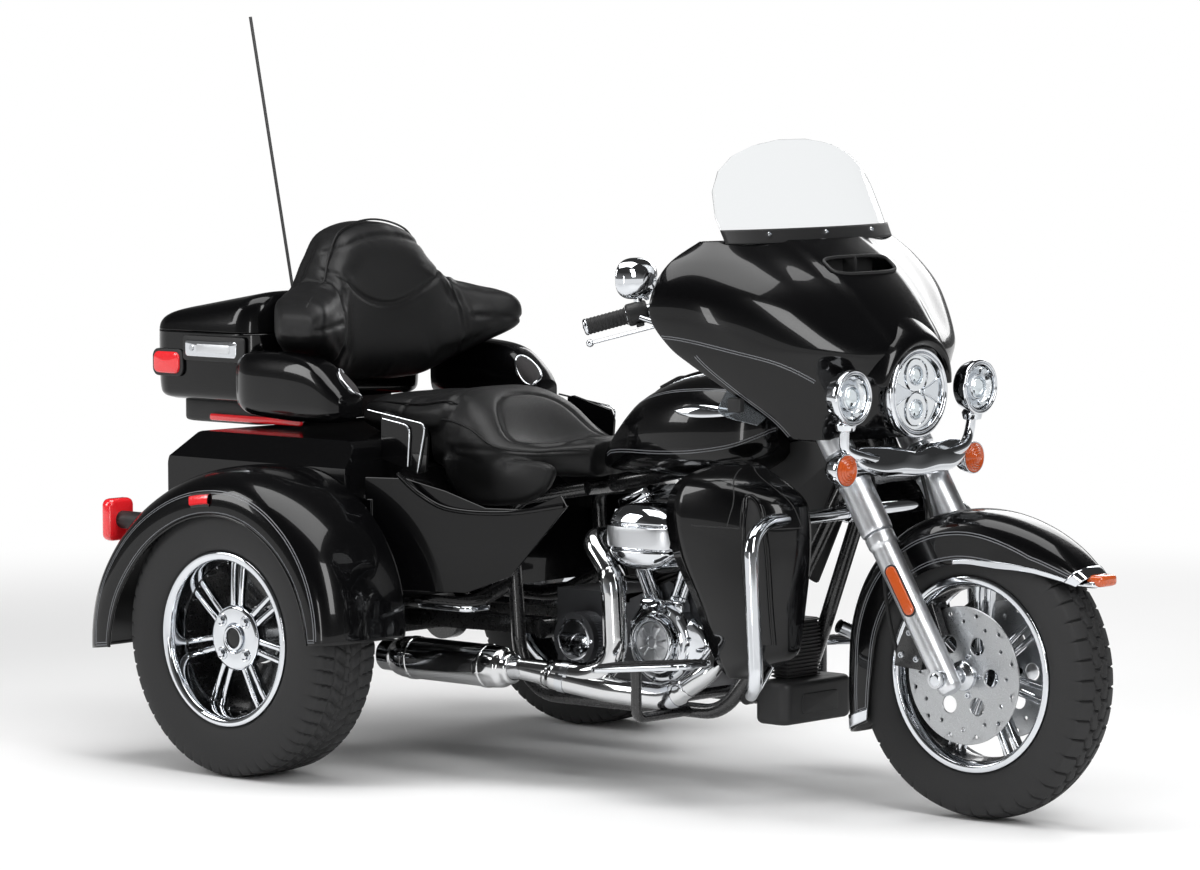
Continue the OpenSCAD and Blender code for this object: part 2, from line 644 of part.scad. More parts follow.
// Depth and size of the mirror's outline from the glass to its back, as shares
mirror_shares = [[0, 0.92], [0.12, 1], [0.5, 0.92], [0.8, 0.66], [1, 0.3]];
mirror_sides = 20;
grip_dir = unit(grip_out - grip_in);
stem_lift = switch_r / sqrt(1 - grip_dir[2] * grip_dir[2]) + lever_r * abs(grip_dir[2]) * 1.1 + seat_gap;
stem_foot = mix(grip_in, grip_out, switch_l * 0.45 / norm(grip_out - grip_in)) + [0, 0, stem_lift];
module mirrors() {
  color("silver") from_rear() both_sides() {
    translate(mirror_p) skin([for (r = mirror_shares) [for (i = [0:mirror_sides - 1])
      let (w = 360 * i / mirror_sides)
      [r[0] * mirror_l, r[1] * mirror_w / 2 * spow(cos(w), 0.8),
        r[1] * mirror_h / 2 * spow(sin(w), 0.8)]]]);
    tube(bent([stem_foot, stem_foot + [0, 0, lever_r * 3],
      [mirror_p[0] + mirror_l * 0.3, mirror_p[1] - mirror_w * 0.3, mirror_p[2] - mirror_h * 0.5],
      mirror_p + [mirror_l * 0.4, 0, 0]], lever_r), lever_r, [1, 0, 0]);
  }
}

// Engine: crank centre, decks and heads
crank_u = 850;
crank_z = 330;
case_half = case_w / 2;
case_r = 118;
deck = 125;
deck_half = 78;
head_lo = 232;
head_hi = 300;
head_half = 80;
rocker_hi = 352;
lug_in = 112;
lug_half = 24;
case_back = 135;
case_foot = 105;
// Shoulders and ridge of the two decks, which lean with the cylinders
shoulder_x = deck_half * cos(vee_angle / 2) + deck * sin(vee_angle / 2);
shoulder_z = deck * cos(vee_angle / 2) - deck_half * sin(vee_angle / 2);
roof_z = deck / cos(vee_angle / 2);
module at_crank() { from_rear() translate([crank_u, 0, crank_z]) children(); }
module each_cylinder() { for (s = [-1, 1]) rotate([0, s * vee_angle / 2, 0]) children(); }
module crankcase() {
  color("gray") at_crank() {
    across(case_r, -case_half, case_half);
    side_plate([[-shoulder_x, 0], [shoulder_x, 0], [shoulder_x, shoulder_z], [0, roof_z],
      [-shoulder_x, shoulder_z]],
      -case_half, case_half);
    translate([-case_back, -case_half, -case_foot])
      cube([case_back, case_w, case_foot + shoulder_z * 0.9]);
  }
}
barrel_r = 62;
fin_t = 4;
split = 3;
module cylinders() {
  pitch = (head_lo - deck) / (fin_count + 1);
  color("dimgray") at_crank() difference() {
    each_cylinder() {
      translate([0, 0, deck]) cylinder(r = barrel_r, h = head_lo - deck);
      for (k = [1:fin_count]) translate([0, 0, deck + k * pitch]) cylinder(r = fin_d / 2, h = fin_t);
      translate([-head_half, -head_half, head_lo])
        cube([2 * head_half, 2 * head_half, head_hi - head_lo]);
      translate([-lug_half, -lug_in - lug_half / 2, head_lo])
        cube([2 * lug_half, lug_in, (head_hi - head_lo) / 2]);
    }
    translate([-split / 2, -fin_d, 0]) cube([split, 2 * fin_d, head_lo]);
  }
}
rocker_x = 62;
rocker_y = 92;
rocker_step = 26;
rocker_rim = 10;
module rocker_covers() {
  color("silver") at_crank() each_cylinder() {
    translate([0, 0, head_hi]) linear_extrude(rocker_step)
      polygon(round_rect([-rocker_x, -rocker_y], [rocker_x, rocker_y], rocker_x / 4, 4));
    translate([0, 0, head_hi + rocker_step]) linear_extrude(rocker_hi - head_hi - rocker_step)
      polygon(round_rect([rocker_rim - rocker_x, rocker_rim - rocker_y],
        [rocker_x - rocker_rim, rocker_y - rocker_rim], rocker_x / 4, 4));
  }
}
cam_r = 96;
cam_face_r = 62;
cam_t = 38;
cam_face_t = 26;
tappet_w = 66;
tappet_h = 96;
tappet_t = 30;
rod_r = 9;
rod_gap = 13;
module cam_cover() {
  color("silver") at_crank() {
    across(cam_r, -case_half - cam_t, -case_half);
    across(cam_face_r, -case_half - cam_t - cam_face_t, -case_half - cam_t);
    translate([-tappet_w, -case_half - tappet_t, 0]) cube([2 * tappet_w, tappet_t, tappet_h]);
    for (s = [-1, 1], k = [-1, 1])
      let (up = [s * sin(vee_angle / 2), 0, cos(vee_angle / 2)],
        fore = [cos(vee_angle / 2), 0, -s * sin(vee_angle / 2)])
      along([s * tappet_w / 2 + k * rod_gap, -lug_in, tappet_h - rod_r],
        (head_lo - seat_gap) * up + k * rod_gap * fore + [0, -lug_in, 0])
        cylinder(r = rod_r, h = norm((head_lo - seat_gap) * up + k * rod_gap * fore
          - [s * tappet_w / 2 + k * rod_gap, 0, tappet_h - rod_r]) - rod_r * 0.4);
  }
}
primary_r = 104;
primary_back_r = 84;
primary_l = 262;
primary_t = 84;
primary_edge = 16;
module primary_cover() {
  outline = concat(arc([0, 0], primary_r, -90, 90, 16),
    arc([-primary_l, 0], primary_back_r, 90, 270, 16));
  inset = concat(arc([0, 0], primary_r - primary_edge, -90, 90, 16),
    arc([-primary_l, 0], primary_back_r - primary_edge, 90, 270, 16));
  color("silver") at_crank() {
    side_plate(outline, case_half, case_half + primary_t - primary_edge);
    side_plate(inset, case_half + primary_t - primary_edge, case_half + primary_t);
  }
}
gear_back = 347;
gear_half = 95;
gear_lo = 105;
gear_hi = 96;
gear_cover_u = 249;
gear_cover_z = -13;
gear_cover_r = 62;
gear_cover_t = 52;
module gearbox() {
  color("gray") at_crank() {
    translate([-gear_back, -gear_half, -gear_lo]) cube([gear_back - case_back, 2 * gear_half,
      gear_lo + gear_hi]);
    translate([-gear_cover_u, 0, gear_cover_z]) across(gear_cover_r, -gear_half - gear_cover_t,
      -gear_half);
  }
}
air_p = [15, 0, 245];
air_r = 92;
air_stub_r = 32;
air_in = 150;
air_out = 250;
air_round = 22;
module air_cleaner() {
  color("silver") at_crank() translate(air_p) {
    across(air_stub_r, -air_in, -head_half - seat_gap);
    translate([0, -air_in, 0]) rotate([90, 0, 0]) rotate_extrude() polygon(concat([[0, 0], [air_r, 0]],
      arc([air_r - air_round, air_out - air_in - air_round], air_round, 0, 90, 4),
        [[0, air_out - air_in]]));
  }
}
// Exhaust: two headers on the right into one collector, and a muffler on each side
pipe_r = 24;
pipe_bend = 40;
joint_in = 20;
muffler_r = 48;
muffler_y = 300;
muffler_front_u = 560;
muffler_back_u = 150;
muffler_z = 262;
tip_r = 36;
hanger_r = 10;
rear_port = [-150, -head_half - seat_gap, 230];
front_port = [head_half + seat_gap, -40, 262];
rear_pipe = [rear_port, rear_port + [0, -122, 0], [-60, -222, 150], [-48, -224, -30], [-105, -236, -78],
  [muffler_front_u - crank_u - pipe_r, -muffler_y + joint_in, muffler_z - crank_z]];
front_pipe_end = [[235, -70, 120], [215, -205, -40], [120, -228, -106], [-60, -232, -104],
  [muffler_front_u - crank_u - pipe_r, -muffler_y + joint_in, muffler_z - crank_z]];
module exhaust() {
  port = front_port[0] * [cos(vee_angle / 2), 0, -sin(vee_angle / 2)]
    + front_port[2] * [sin(vee_angle / 2), 0, cos(vee_angle / 2)] + [0, front_port[1], 0];
  way = [cos(vee_angle / 2), 0, -sin(vee_angle / 2)];
  color("silver") {
    at_crank() {
      tube(bent(rear_pipe, pipe_bend), pipe_r, [1, 0, 0.3]);
      tube(bent(concat([port, port + 2 * pipe_r * way], front_pipe_end), pipe_bend), pipe_r,
        [0.1, 1, 0.1]);
    }
    from_rear() both_sides() translate([0, muffler_y, muffler_z]) {
      ahead(muffler_r, muffler_back_u + muffler_r, muffler_front_u - pipe_r);
      ahead(tip_r, muffler_back_u, muffler_back_u + muffler_r);
      ahead(tip_r, muffler_front_u - pipe_r, muffler_front_u);
      translate([upright_u, -muffler_y, 0]) across(hanger_r, rail_y + rail_r + seat_gap, muffler_y);
    }
  }
}

// Frame of bent tubes
rail_r = 17;
rail_y = 150;
rail_z = 185;
backbone_r = 20;
upright_u = 437;
rail_front_u = 1035;
rail_in = 20;
upright_top = 628;
down_low = [1130, 92, 330];
seat_rail = [560, 60, 655];
tail_u = -400;
tail_z = 372;
tail_top = 440;
tail_knee_u = 280;
foot_run = 60;
foot_rise = 70;
upright_lean = 30;
loop_bend = 55;
loop_ref = [0.2, 1, 0.1];
neck_down = 70;
neck_half = 30;
// Downtube from the head, and its place along at a height
down_top = head_p - neck_down / 2 * steer_up - head_r * steer_fore + [0, neck_half, 0];
function down_at(z) = mix(down_top, down_low, (down_top[2] - z) / (down_top[2] - down_low[2]));
backbone_end = [592, 0, 665];
cross_r = 13;
case_mount_z = crank_z - case_r - seat_gap - cross_r;
gear_mount_z = crank_z - gear_lo - seat_gap - cross_r;
module frame() {
  loop = [down_top, down_low, [rail_front_u, rail_y - rail_in, rail_z],
    [upright_u + foot_run, rail_y, rail_z], [upright_u, rail_y, rail_z + foot_rise],
    [upright_u - upright_lean, rail_y, upright_top], seat_rail];
  color("dimgray") {
    from_head(-head_l / 2) difference() {
      cylinder(r = head_r, h = head_l);
      translate([0, 0, -cut]) cylinder(r = stem_r + run_gap, h = head_l + 2 * cut);
    }
    difference() {
      from_rear() {
        both_sides() {
          tube(bent(loop, loop_bend), rail_r, loop_ref);
          tube(bent([[upright_u - upright_lean / 2, rail_y, tail_top], [tail_knee_u, rail_y, tail_z],
            [tail_u, rail_y, tail_z]], loop_bend), rail_r, [0, 1, 0]);
        }
        tube([head_p - head_r / 2 * steer_fore, mix(head_p, backbone_end, 0.5), backbone_end],
          backbone_r, [0, 1, 0]);
        translate([seat_rail[0], 0, seat_rail[2]]) across(rail_r, -seat_rail[1], seat_rail[1]);
        translate([seat_rail[0], 0, seat_rail[2] - rail_r]) translate([-rail_r, -rail_r, 0])
          cube([3 * rail_r, 2 * rail_r, backbone_end[2] - seat_rail[2] + rail_r]);
        translate([crank_u, 0, case_mount_z]) across(cross_r, -rail_y, rail_y);
        translate([crank_u - gear_cover_u, 0, gear_mount_z]) across(cross_r, -rail_y, rail_y);
        translate([tail_u + rail_r, 0, tail_z]) across(rail_r, -rail_y, rail_y);
        translate([chin_u - seat_gap - chin_bar_r, 0, chin_z0 + chin_h * 0.6])
          across(chin_bar_r, -chin_w / 2, chin_w / 2);
      }
      from_head(-head_l / 2 - head_l) cylinder(r = head_r - cut, h = 3 * head_l);
    }
  }
}

// Fuel tank: sections from the rear to the front
tank_u = 612;
tank_z = 692;
// Place along, half width, bottom, widest and top of each section, as shares
tank_shares = [[0, 0.3, 0.03, 0.14, 0.26], [0.12, 0.56, 0.02, 0.24, 0.5], [0.28, 0.82, 0.02, 0.32, 0.78],
  [0.48, 0.97, 0.03, 0.37, 0.95], [0.68, 1, 0.05, 0.41, 1], [0.86, 0.9, 0.12, 0.45, 0.95],
  [0.96, 0.7, 0.22, 0.5, 0.85], [1, 0.48, 0.3, 0.52, 0.76]];
tank_sides = 24;
tank_e_share = 0.72;
function tank_ring(row, grow) = [for (i = [0:tank_sides - 1]) let (w = 360 * i / tank_sides,
  mid = tank_z + row[3] * tank_h, up = (row[4] - row[3]) * tank_h + grow,
    down = (row[3] - row[2]) * tank_h)
  [tank_u + row[0] * tank_l, (row[1] * tank_w / 2 + grow) * spow(cos(w), tank_e_share),
    mid + (sin(w) > 0 ? up : down) * spow(sin(w), tank_e_share)]];
tunnel_half = 34;
tank_steps = 14;
module fuel_tank() {
  color("black") from_rear() difference() {
    skin([for (r = rows(tank_shares, tank_steps)) tank_ring(r, 0)]);
    translate(backbone_end) rotate([0, -atan2(head_p[2] - backbone_end[2], head_p[0] - backbone_end[0]),
      0])
      translate([-tank_l / 2, -tunnel_half, backbone_r + seat_gap - tank_h])
        cube([2 * tank_l, 2 * tunnel_half, tank_h]);
  }
}
console_w = 96;
console_t = 12;
// Span of the console along the tank as shares
console_span_shares = [0.16, 0.9];
module tank_console() {
  lo = tank_u + console_span_shares[0] * tank_l;
  hi = tank_u + console_span_shares[1] * tank_l;
  color("dimgray") from_rear() difference() {
    intersection() {
      skin([for (r = rows(tank_shares, tank_steps)) tank_ring(r, console_t)]);
      translate([0, 0, tank_z + tank_h * 0.45]) linear_extrude(tank_h)
        polygon(round_rect([lo, -console_w / 2], [hi, console_w / 2], console_w * 0.4, 5));
    }
    skin([for (r = rows(tank_shares, tank_steps)) tank_ring(r, seat_gap)]);
  }
}

// Seat: a rider's bucket and a passenger pad behind it
seat_z = backbone_end[2] + backbone_r + seat_gap;
deck_z = 762;
pad_z = deck_z + seat_gap;
seat_h = 200;
// Place along in mm of a 600 seat as shares, half width, middle, top and dish, from rear to front
rider_l = 413;
rider_u = 175;
rider_shares = [[0, 0.9, 0.3, 0.88, 0], [0.18, 0.96, 0.3, 0.9, 0], [0.36, 1, 0.28, 0.72, 0.06],
  [0.55, 1, 0.24, 0.3, 0.2],
  [0.75, 0.82, 0.2, 0.3, 0.12], [0.9, 0.55, 0.2, 0.4, 0.02], [1, 0.36, 0.18, 0.42, 0]];
pad_l = 300;
pad_u = -45;
pad_h = 90;
pad_shares = [[0, 0.9, 0.4, 0.85, 0], [0.2, 0.96, 0.4, 0.95, 0], [0.6, 0.98, 0.4, 0.95, 0],
  [0.9, 0.95, 0.45, 1.1, 0], [1, 0.85, 0.4, 0.9, 0]];
seat_sides = 20;
function seat_ring(row, u0, l, z0, h) = [for (i = [0:seat_sides - 1]) let (w = 360 * i / seat_sides,
  k = spow(cos(w), 0.6), up = sin(w) > 0)
  [u0 + row[0] * l, row[1] * seat_w / 2 * k,
    z0 + h * row[2] + h * (up ? row[3] - row[2] : row[2]) * spow(sin(w),
      0.6) + (up ? h * row[4] * k * k * sin(w) : 0)]];
// Side skirt below the rider's cushion
skirt_shares = [[0, 0.9], [0.06, 0.45], [0.22, 0.1], [0.45, 0], [0.8, 0.12], [1, 0.5], [0.94, 1],
  [0.1, 1]];
skirt_u = 225;
skirt_l = 340;
skirt_z = 610;
skirt_h = 110;
skirt_in = 172;
skirt_t = 24;
module seat() {
  color("dimgray") from_rear() {
    both_sides() side_plate([for (p = skirt_shares) [skirt_u + p[0] * skirt_l, skirt_z + p[1] * skirt_h]],
      skirt_in, skirt_in + skirt_t);
    skin([for (r = rows(rider_shares, 10)) seat_ring(r, rider_u, rider_l, seat_z, seat_h)]);
    skin([for (r = rows(pad_shares, 6)) seat_ring(r, pad_u, pad_l, pad_z, pad_h)]);
  }
}
// Top trunk: a tub, a lid hinged along its left side, a pedestal and two speaker pods
tail_block = 14;
trunk_back_u = trunk_tail_u + tail_block;
trunk_front_u = -282;
trunk_z = 822;
trunk_seam_z = 986;
trunk_corner = 70;
trunk_flare = 22;
trunk_rise = 30;
trunk_half = trunk_w / 2;
lid_gap = 2;
lid_h_back = 40;
lid_h_front = 104;
corner_steps = 5;
// Level outline of the tub and the lid, drawn in by d on every side but pulled in at the front by f
function trunk_ring(d, f, z) = [for (p = round_rect([trunk_back_u + d, -trunk_half + d],
  [trunk_front_u - f, trunk_half - d],
  max(trunk_corner - d, trunk_corner / 4), corner_steps)) [p[0], p[1], z]];
hinge_out = 9;
hinge_y = trunk_half + hinge_out;
hinge_r = 8;
hinge_pin_r = 3.5;
knuckle_l = 40;
knuckle_gap = 1;
// Places of the lid hinges along the trunk as shares of its length
hinge_shares = [0.3, 0.7];
pedestal_in = 96;
pedestal_front = 20;
module trunk_base() {
  color("black") from_rear() {
    difference() {
      skin([trunk_ring(trunk_flare, 0, trunk_z), trunk_ring(trunk_flare / 3, 0, trunk_z + trunk_rise / 2),
        trunk_ring(0, 0, trunk_z + trunk_rise), trunk_ring(0, 0, trunk_seam_z)]);
      skin([trunk_ring(trunk_flare + trunk_t, trunk_t, trunk_z + trunk_t),
        trunk_ring(trunk_t, trunk_t, trunk_z + trunk_rise),
        trunk_ring(trunk_t, trunk_t, trunk_seam_z + cut)]);
    }
    translate([0, 0, deck_z + seat_gap]) linear_extrude(trunk_z - deck_z)
      polygon(round_rect([trunk_back_u + pedestal_in, -trunk_half + pedestal_in],
        [trunk_front_u - pedestal_front, trunk_half - pedestal_in], trunk_corner / 2, corner_steps));
    for (h = hinge_shares) translate([mix(trunk_back_u, trunk_front_u, h), hinge_y, trunk_seam_z]) {
      ahead(hinge_pin_r, -knuckle_l, knuckle_l);
      for (s = [-1, 1]) {
        ahead(hinge_r, s > 0 ? knuckle_l / 2 + knuckle_gap : -knuckle_l,
          s > 0 ? knuckle_l : -knuckle_l / 2 - knuckle_gap);
        translate([s > 0 ? knuckle_l / 2 + knuckle_gap : -knuckle_l, -hinge_r - trunk_t / 2, -hinge_r])
          cube([knuckle_l / 2 - knuckle_gap, hinge_r + trunk_t / 2, hinge_r]);
      }
    }
  }
}
// Share of the lid's rise and its draw-in from seam to crown
lid_shares = [[0, 0], [0.35, 0.02], [0.65, 0.08], [0.85, 0.2], [0.96, 0.42], [1, 0.75]];
lid_draw = 170;
function lid_z(u, k) = trunk_seam_z + lid_gap + k * mix(lid_h_back, lid_h_front,
  (u - trunk_back_u) / (trunk_front_u - trunk_back_u));
function lid_ring(row, t, drop) = [for (p = trunk_ring(row[1] * lid_draw + t,
  row[1] * lid_draw / 3 + t + move_gap, 0))
  [p[0], p[1], lid_z(p[0], row[0]) - drop]];
module trunk_lid() {
  color("black") from_rear() {
    difference() {
      skin([for (r = lid_shares) lid_ring(r, 0, 0)]);
      skin([for (r = lid_shares) lid_ring(r, trunk_t, r[0] > 0 ? trunk_t : cut)]);
    }
    for (h = hinge_shares) translate([mix(trunk_back_u, trunk_front_u, h), hinge_y, trunk_seam_z])
      difference() {
      union() {
        ahead(hinge_r, -knuckle_l / 2, knuckle_l / 2);
        translate([-knuckle_l / 2, -hinge_r - trunk_t / 2 - lid_gap / 2, lid_gap])
          cube([knuckle_l, hinge_r + trunk_t / 2 + lid_gap / 2, hinge_r - lid_gap]);
      }
      ahead(hinge_pin_r + run_gap, -knuckle_l, knuckle_l);
    }
  }
}
// Speaker pods ahead of the trunk's lower corners
pod_lo_y = 288;
pod_hi_y = 386;
pod_l = 355;
// Place along, bottom and top of the pods, and outer width, as shares
pod_shares = [[0, 0.15, 0.9, 0.6], [0.15, 0.05, 1, 0.92], [0.5, 0, 1, 1], [0.75, 0, 0.9, 1],
  [0.92, 0.02, 0.62, 0.95], [1, 0.1, 0.42, 0.8]];
pod_z = 794;
pod_h = 158;
pod_sides = 20;
pod_foot = [70, 130, 34];
pod_foot_y = 192;
module speaker_pods() {
  mid = (pod_lo_y + pod_hi_y) / 2;
  half = (pod_hi_y - pod_lo_y) / 2;
  color("black") from_rear() both_sides() {
    skin([for (r = rows(pod_shares, 8)) [for (i = [0:pod_sides - 1]) let (w = 360 * i / pod_sides)
      [trunk_front_u + seat_gap + r[0] * pod_l,
        mid + half * r[3] * spow(cos(w), 0.6) - half * (1 - r[3]) * 0.4,
        pod_z + pod_h * ((r[1] + r[2]) / 2 + (r[2] - r[1]) / 2 * spow(sin(w), 0.6))]]]);
    translate([trunk_front_u + seat_gap, pod_foot_y, pod_z + pod_h * 0.3]) cube(pod_foot);
  }
}
latch_l = 176;
latch_h = 40;
latch_t = 9;
latch_drop = 38;
latch_share = 0.63;
module trunk_latch() {
  color("silver") from_rear() translate([mix(trunk_back_u, trunk_front_u, latch_share), 0,
    trunk_seam_z - latch_drop])
    side_plate(round_rect([-latch_l / 2, -latch_h / 2], [latch_l / 2, latch_h / 2], latch_h * 0.4, 4),
      -trunk_half - latch_t - seat_gap, -trunk_half - seat_gap);
}
tlamp_l = 92;
tlamp_h = 54;
tlamp_t = 12;
tlamp_drop = 76;
tlamp_back = 30;
bar_lamp_w = 300;
bar_lamp_h = 22;
module trunk_lamps() {
  color("red") from_rear() {
    both_sides() translate([trunk_back_u + tlamp_back, 0, trunk_seam_z - tlamp_drop])
      side_plate(round_rect([0, -tlamp_h / 2], [tlamp_l, tlamp_h / 2], tlamp_h * 0.3, 4),
        trunk_half + seat_gap, trunk_half + tlamp_t + seat_gap);
    translate([trunk_back_u - tlamp_t - seat_gap, 0, trunk_seam_z - tlamp_drop])
      rotate([90, 0, 90]) linear_extrude(tlamp_t)
        polygon(round_rect([-bar_lamp_w / 2, -bar_lamp_h / 2], [bar_lamp_w / 2, bar_lamp_h / 2],
          bar_lamp_h * 0.3, 4));
  }
}
antenna_y = 235;
antenna_z = 905;
antenna_block = 30;
module antenna() {
  color("black") from_rear() {
    translate([trunk_tail_u, antenna_y - antenna_block / 2, antenna_z])
      cube([trunk_back_u - seat_gap - trunk_tail_u, antenna_block, antenna_block]);
    translate([antenna_u, antenna_y, antenna_z + antenna_block / 2]) rotate([0, -antenna_lean, 0])
      cylinder(r = antenna_r, h = antenna_l);
    translate([antenna_u, antenna_y, antenna_z]) cylinder(r = antenna_r * 2, h = antenna_block);
  }
}
// Backrest, a padded panel with an arm at each side
rest_z = 865;
rest_h = 388;
rest_hw = 352;
rest_back_u = trunk_front_u + seat_gap;
rest_d = 275;
// Place across, back, front, low and high edges, as shares
rest_shares = [[-1, 0.55, 0.95, 0.33, 0.45], [-0.92, 0.36, 1, 0.28, 0.53],
  [-0.76, 0.18, 0.9, 0.2, 0.57], [-0.58, 0.05, 0.76, 0.1, 0.63],
  [-0.44, 0, 0.62, 0.02, 0.79], [-0.3, 0, 0.56, 0, 0.94], [0, 0, 0.54, 0, 1]];
rest_sides = 16;
rest_table = concat(rest_shares, [for (i = [len(rest_shares) - 2:-1:0]) [-rest_shares[i][0],
  rest_shares[i][1], rest_shares[i][2], rest_shares[i][3], rest_shares[i][4]]]);
module backrest() {
  color("dimgray") from_rear() skin([for (r = rows(rest_table, 24)) [for (i = [0:rest_sides - 1])
    let (w = -360 * i / rest_sides, back = max(0, r[1]))
    [rest_back_u + rest_d * ((back + r[2]) / 2 + (r[2] - back) / 2 * spow(cos(w),
      cos(w) < 0 ? 0.15 : 0.6)), r[0] * rest_hw,
      rest_z + rest_h * ((r[3] + r[4]) / 2 + (r[4] - r[3]) / 2 * spow(sin(w), 0.6))]]]);
}

// Rear body: a hollow shell between the rear fenders, open at the back under the door
body_half = body_w / 2;
body_back_u = -432;
body_front_u = 160;
body_round = 40;
door_w = 660;
door_h = 190;
door_z = 425;
door_lap = 22;
door_t = 12;
door_gap = 2;
door_hinge_r = 8;
door_pin_r = 3.5;
door_knuckle = 40;
door_axis_u = body_back_u - door_gap - door_t / 2;
door_axis_out = 14;
door_axis_y = door_w / 2 + door_lap + door_axis_out;
body_floor_drop = tail_z + rail_r + seat_gap;
body_slope = 40;
body_top_in = 46;
body_fall = 60;
// Side and rear outlines of the body, drawn in by t
function body_side(t) = concat([[body_back_u + t, body_floor_drop + t],
  [body_front_u - t, body_floor_drop + t]],
  arc([body_front_u - body_round, deck_z - body_round], body_round - t, 0, 90, corner_steps),
  arc([body_back_u + body_slope + body_round, deck_z - body_round], body_round - t, 90, 120, 3),
  arc([body_back_u + body_round, deck_z - body_slope - body_round], body_round - t, 150, 180, 3));
function body_rear(t) = [[-body_half + t, body_floor_drop + t - cut],
  [body_half - t, body_floor_drop + t - cut],
  [body_half - t, deck_z - body_fall - t], [body_half - body_top_in - t, deck_z - t + cut],
    [-body_half + body_top_in + t, deck_z - t + cut],
  [-body_half + t, deck_z - body_fall - t]];
module rear_body() {
  color("black") from_rear() {
    difference() {
      intersection() {
        side_plate(body_side(0), -body_half, body_half);
        front_plate(body_rear(0), body_back_u, body_front_u);
      }
      intersection() {
        side_plate(body_side(body_t), -body_half, body_half);
        front_plate(body_rear(body_t), body_back_u, body_front_u);
      }
      translate([body_back_u - cut, -door_w / 2, door_z]) cube([body_t + 2 * cut, door_w, door_h]);
    }
    for (z = [door_z + door_h * 0.2, door_z + door_h * 0.8]) translate([door_axis_u, door_axis_y, z]) {
      translate([0, 0, -door_knuckle]) cylinder(r = door_pin_r, h = 2 * door_knuckle);
      for (s = [0, 1]) mirror([0, 0, s]) translate([0, 0, door_knuckle / 2 + knuckle_gap]) {
        cylinder(r = door_hinge_r, h = door_knuckle / 2 - knuckle_gap);
        translate([0, -door_hinge_r, 0]) cube([body_back_u - door_axis_u + body_t / 2, 2 * door_hinge_r,
          door_knuckle / 2 - knuckle_gap]);
      }
    }
  }
}
plate_w = 190;
plate_h = 110;
plate_t = 6;
plate_hole_y = 146;
plate_hole_z = 70;
plate_hole_r = 3.3;
module trunk_door() {
  lo = [-door_w / 2 - door_lap, door_z - door_lap];
  hi = [door_w / 2 + door_lap, door_z + door_h + door_lap];
  mid_z = door_z + door_h / 2;
  color("black") from_rear() difference() {
    union() {
      front_plate(round_rect(lo, hi, body_round, corner_steps), body_back_u - door_gap - door_t,
        body_back_u - door_gap);
      front_plate(round_rect([-plate_w / 2, mid_z - plate_h / 2], [plate_w / 2, mid_z + plate_h / 2],
        plate_t, 3),
        body_back_u - door_gap - door_t - plate_t, body_back_u - door_gap - door_t);
      for (z = [door_z + door_h * 0.2, door_z + door_h * 0.8])
        translate([door_axis_u, door_axis_y, z - door_knuckle / 2]) {
        cylinder(r = door_hinge_r, h = door_knuckle);
        translate([-door_t / 2, hi[0] - door_axis_y - door_t / 2, 0])
          cube([door_t, door_axis_y - hi[0] + door_t / 2, door_knuckle]);
      }
    }
    for (z = [door_z + door_h * 0.2, door_z + door_h * 0.8])
      translate([door_axis_u, door_axis_y, z - door_knuckle])
      cylinder(r = door_pin_r + run_gap, h = 2 * door_knuckle);
    for (y = [-1, 1], z = [-1, 1]) translate([0, y * plate_hole_y / 2, mid_z + z * plate_hole_z / 2])
      ahead(plate_hole_r, body_back_u - door_gap - door_t - plate_t - cut, body_back_u);
  }
}
// Rear fenders: shells about the rear axle, from the body's side out over the tyres
rf_r = 390;
rf_round = 95;
rf_in = body_half + seat_gap;
rf_out = fender_w / 2;
// Angle from the front, crown radius, inner edge radius and opening radius, as shares
rf_shares = [[2, 0.935, 0.9, 0.74], [20, 0.95, 0.93, 0.735], [45, 0.98, 0.96, 0.73],
  [75, 1, 0.98, 0.73], [100, 1.005, 0.98, 0.735],
  [125, 1.04, 1, 0.755], [150, 1.12, 1.06, 0.81], [170, 1.2, 1.13, 0.885], [187, 1.24, 1.16, 0.945]];
rf_arc = 8;
function rf_path(row, t) =
  let (rc = row[1] * rf_r - t, ri = row[2] * rf_r - t, ro = row[3] * rf_r,
    rs = max(rc + t - rf_round, ro + fender_t * 2), yo = rf_out - t, ym = mix(rf_in, rf_out, 0.35))
  concat([[rf_in, ri], [mix(rf_in, ym, 0.5), mix(ri, rc, 0.8)]],
    [for (i = [0:rf_arc]) let (w = 90 * i / rf_arc) [ym + (yo - ym) * pow(sin(w), 0.75),
      rs + (rc - rs) * pow(max(0, cos(w)), 0.75)]],
    [[yo, ro]]);
function rf_ring(row) = let (a = row[0], out = rf_path(row, 0), inn = rf_path(row, fender_t),
  n = len(inn) - 1)
  [for (p = concat(out, [for (i = [n:-1:0]) inn[i]])) [p[1] * cos(a), p[0], p[1] * sin(a)]];
tail_y = 585;
tail_lamp_z = 560;
tail_stub_r = 22;
module rear_fenders() {
  color("black") both_sides() difference() {
    translate([rear_axle_x, 0, rear_axle_z]) shell([for (r = rows(rf_shares, 20)) rf_ring(r)]);
    from_rear() translate([0, tail_y, tail_lamp_z])
      ahead(tail_stub_r + seat_gap, tail_back_u - cut, -rf_r / 2);
  }
}
tail_back_u = -466;
tail_front_u = -418;
tail_w = 84;
tail_h = 104;
tail_round = 24;
module tail_lamps() {
  color("red") from_rear() both_sides() {
    front_plate([for (p = round_rect([-tail_w / 2, -tail_h / 2], [tail_w / 2, tail_h / 2], tail_round,
      4)) p + [tail_y, tail_lamp_z]],
      tail_back_u, tail_front_u);
    translate([0, tail_y, tail_lamp_z]) ahead(tail_stub_r, tail_front_u - cut, -rf_r * 0.86);
  }
}
// Side panels from the rear body forward to the engine, and grab panels beside the passenger
panel_back = [190, 404];
panel_front = [660, 232];
side_t = 8;
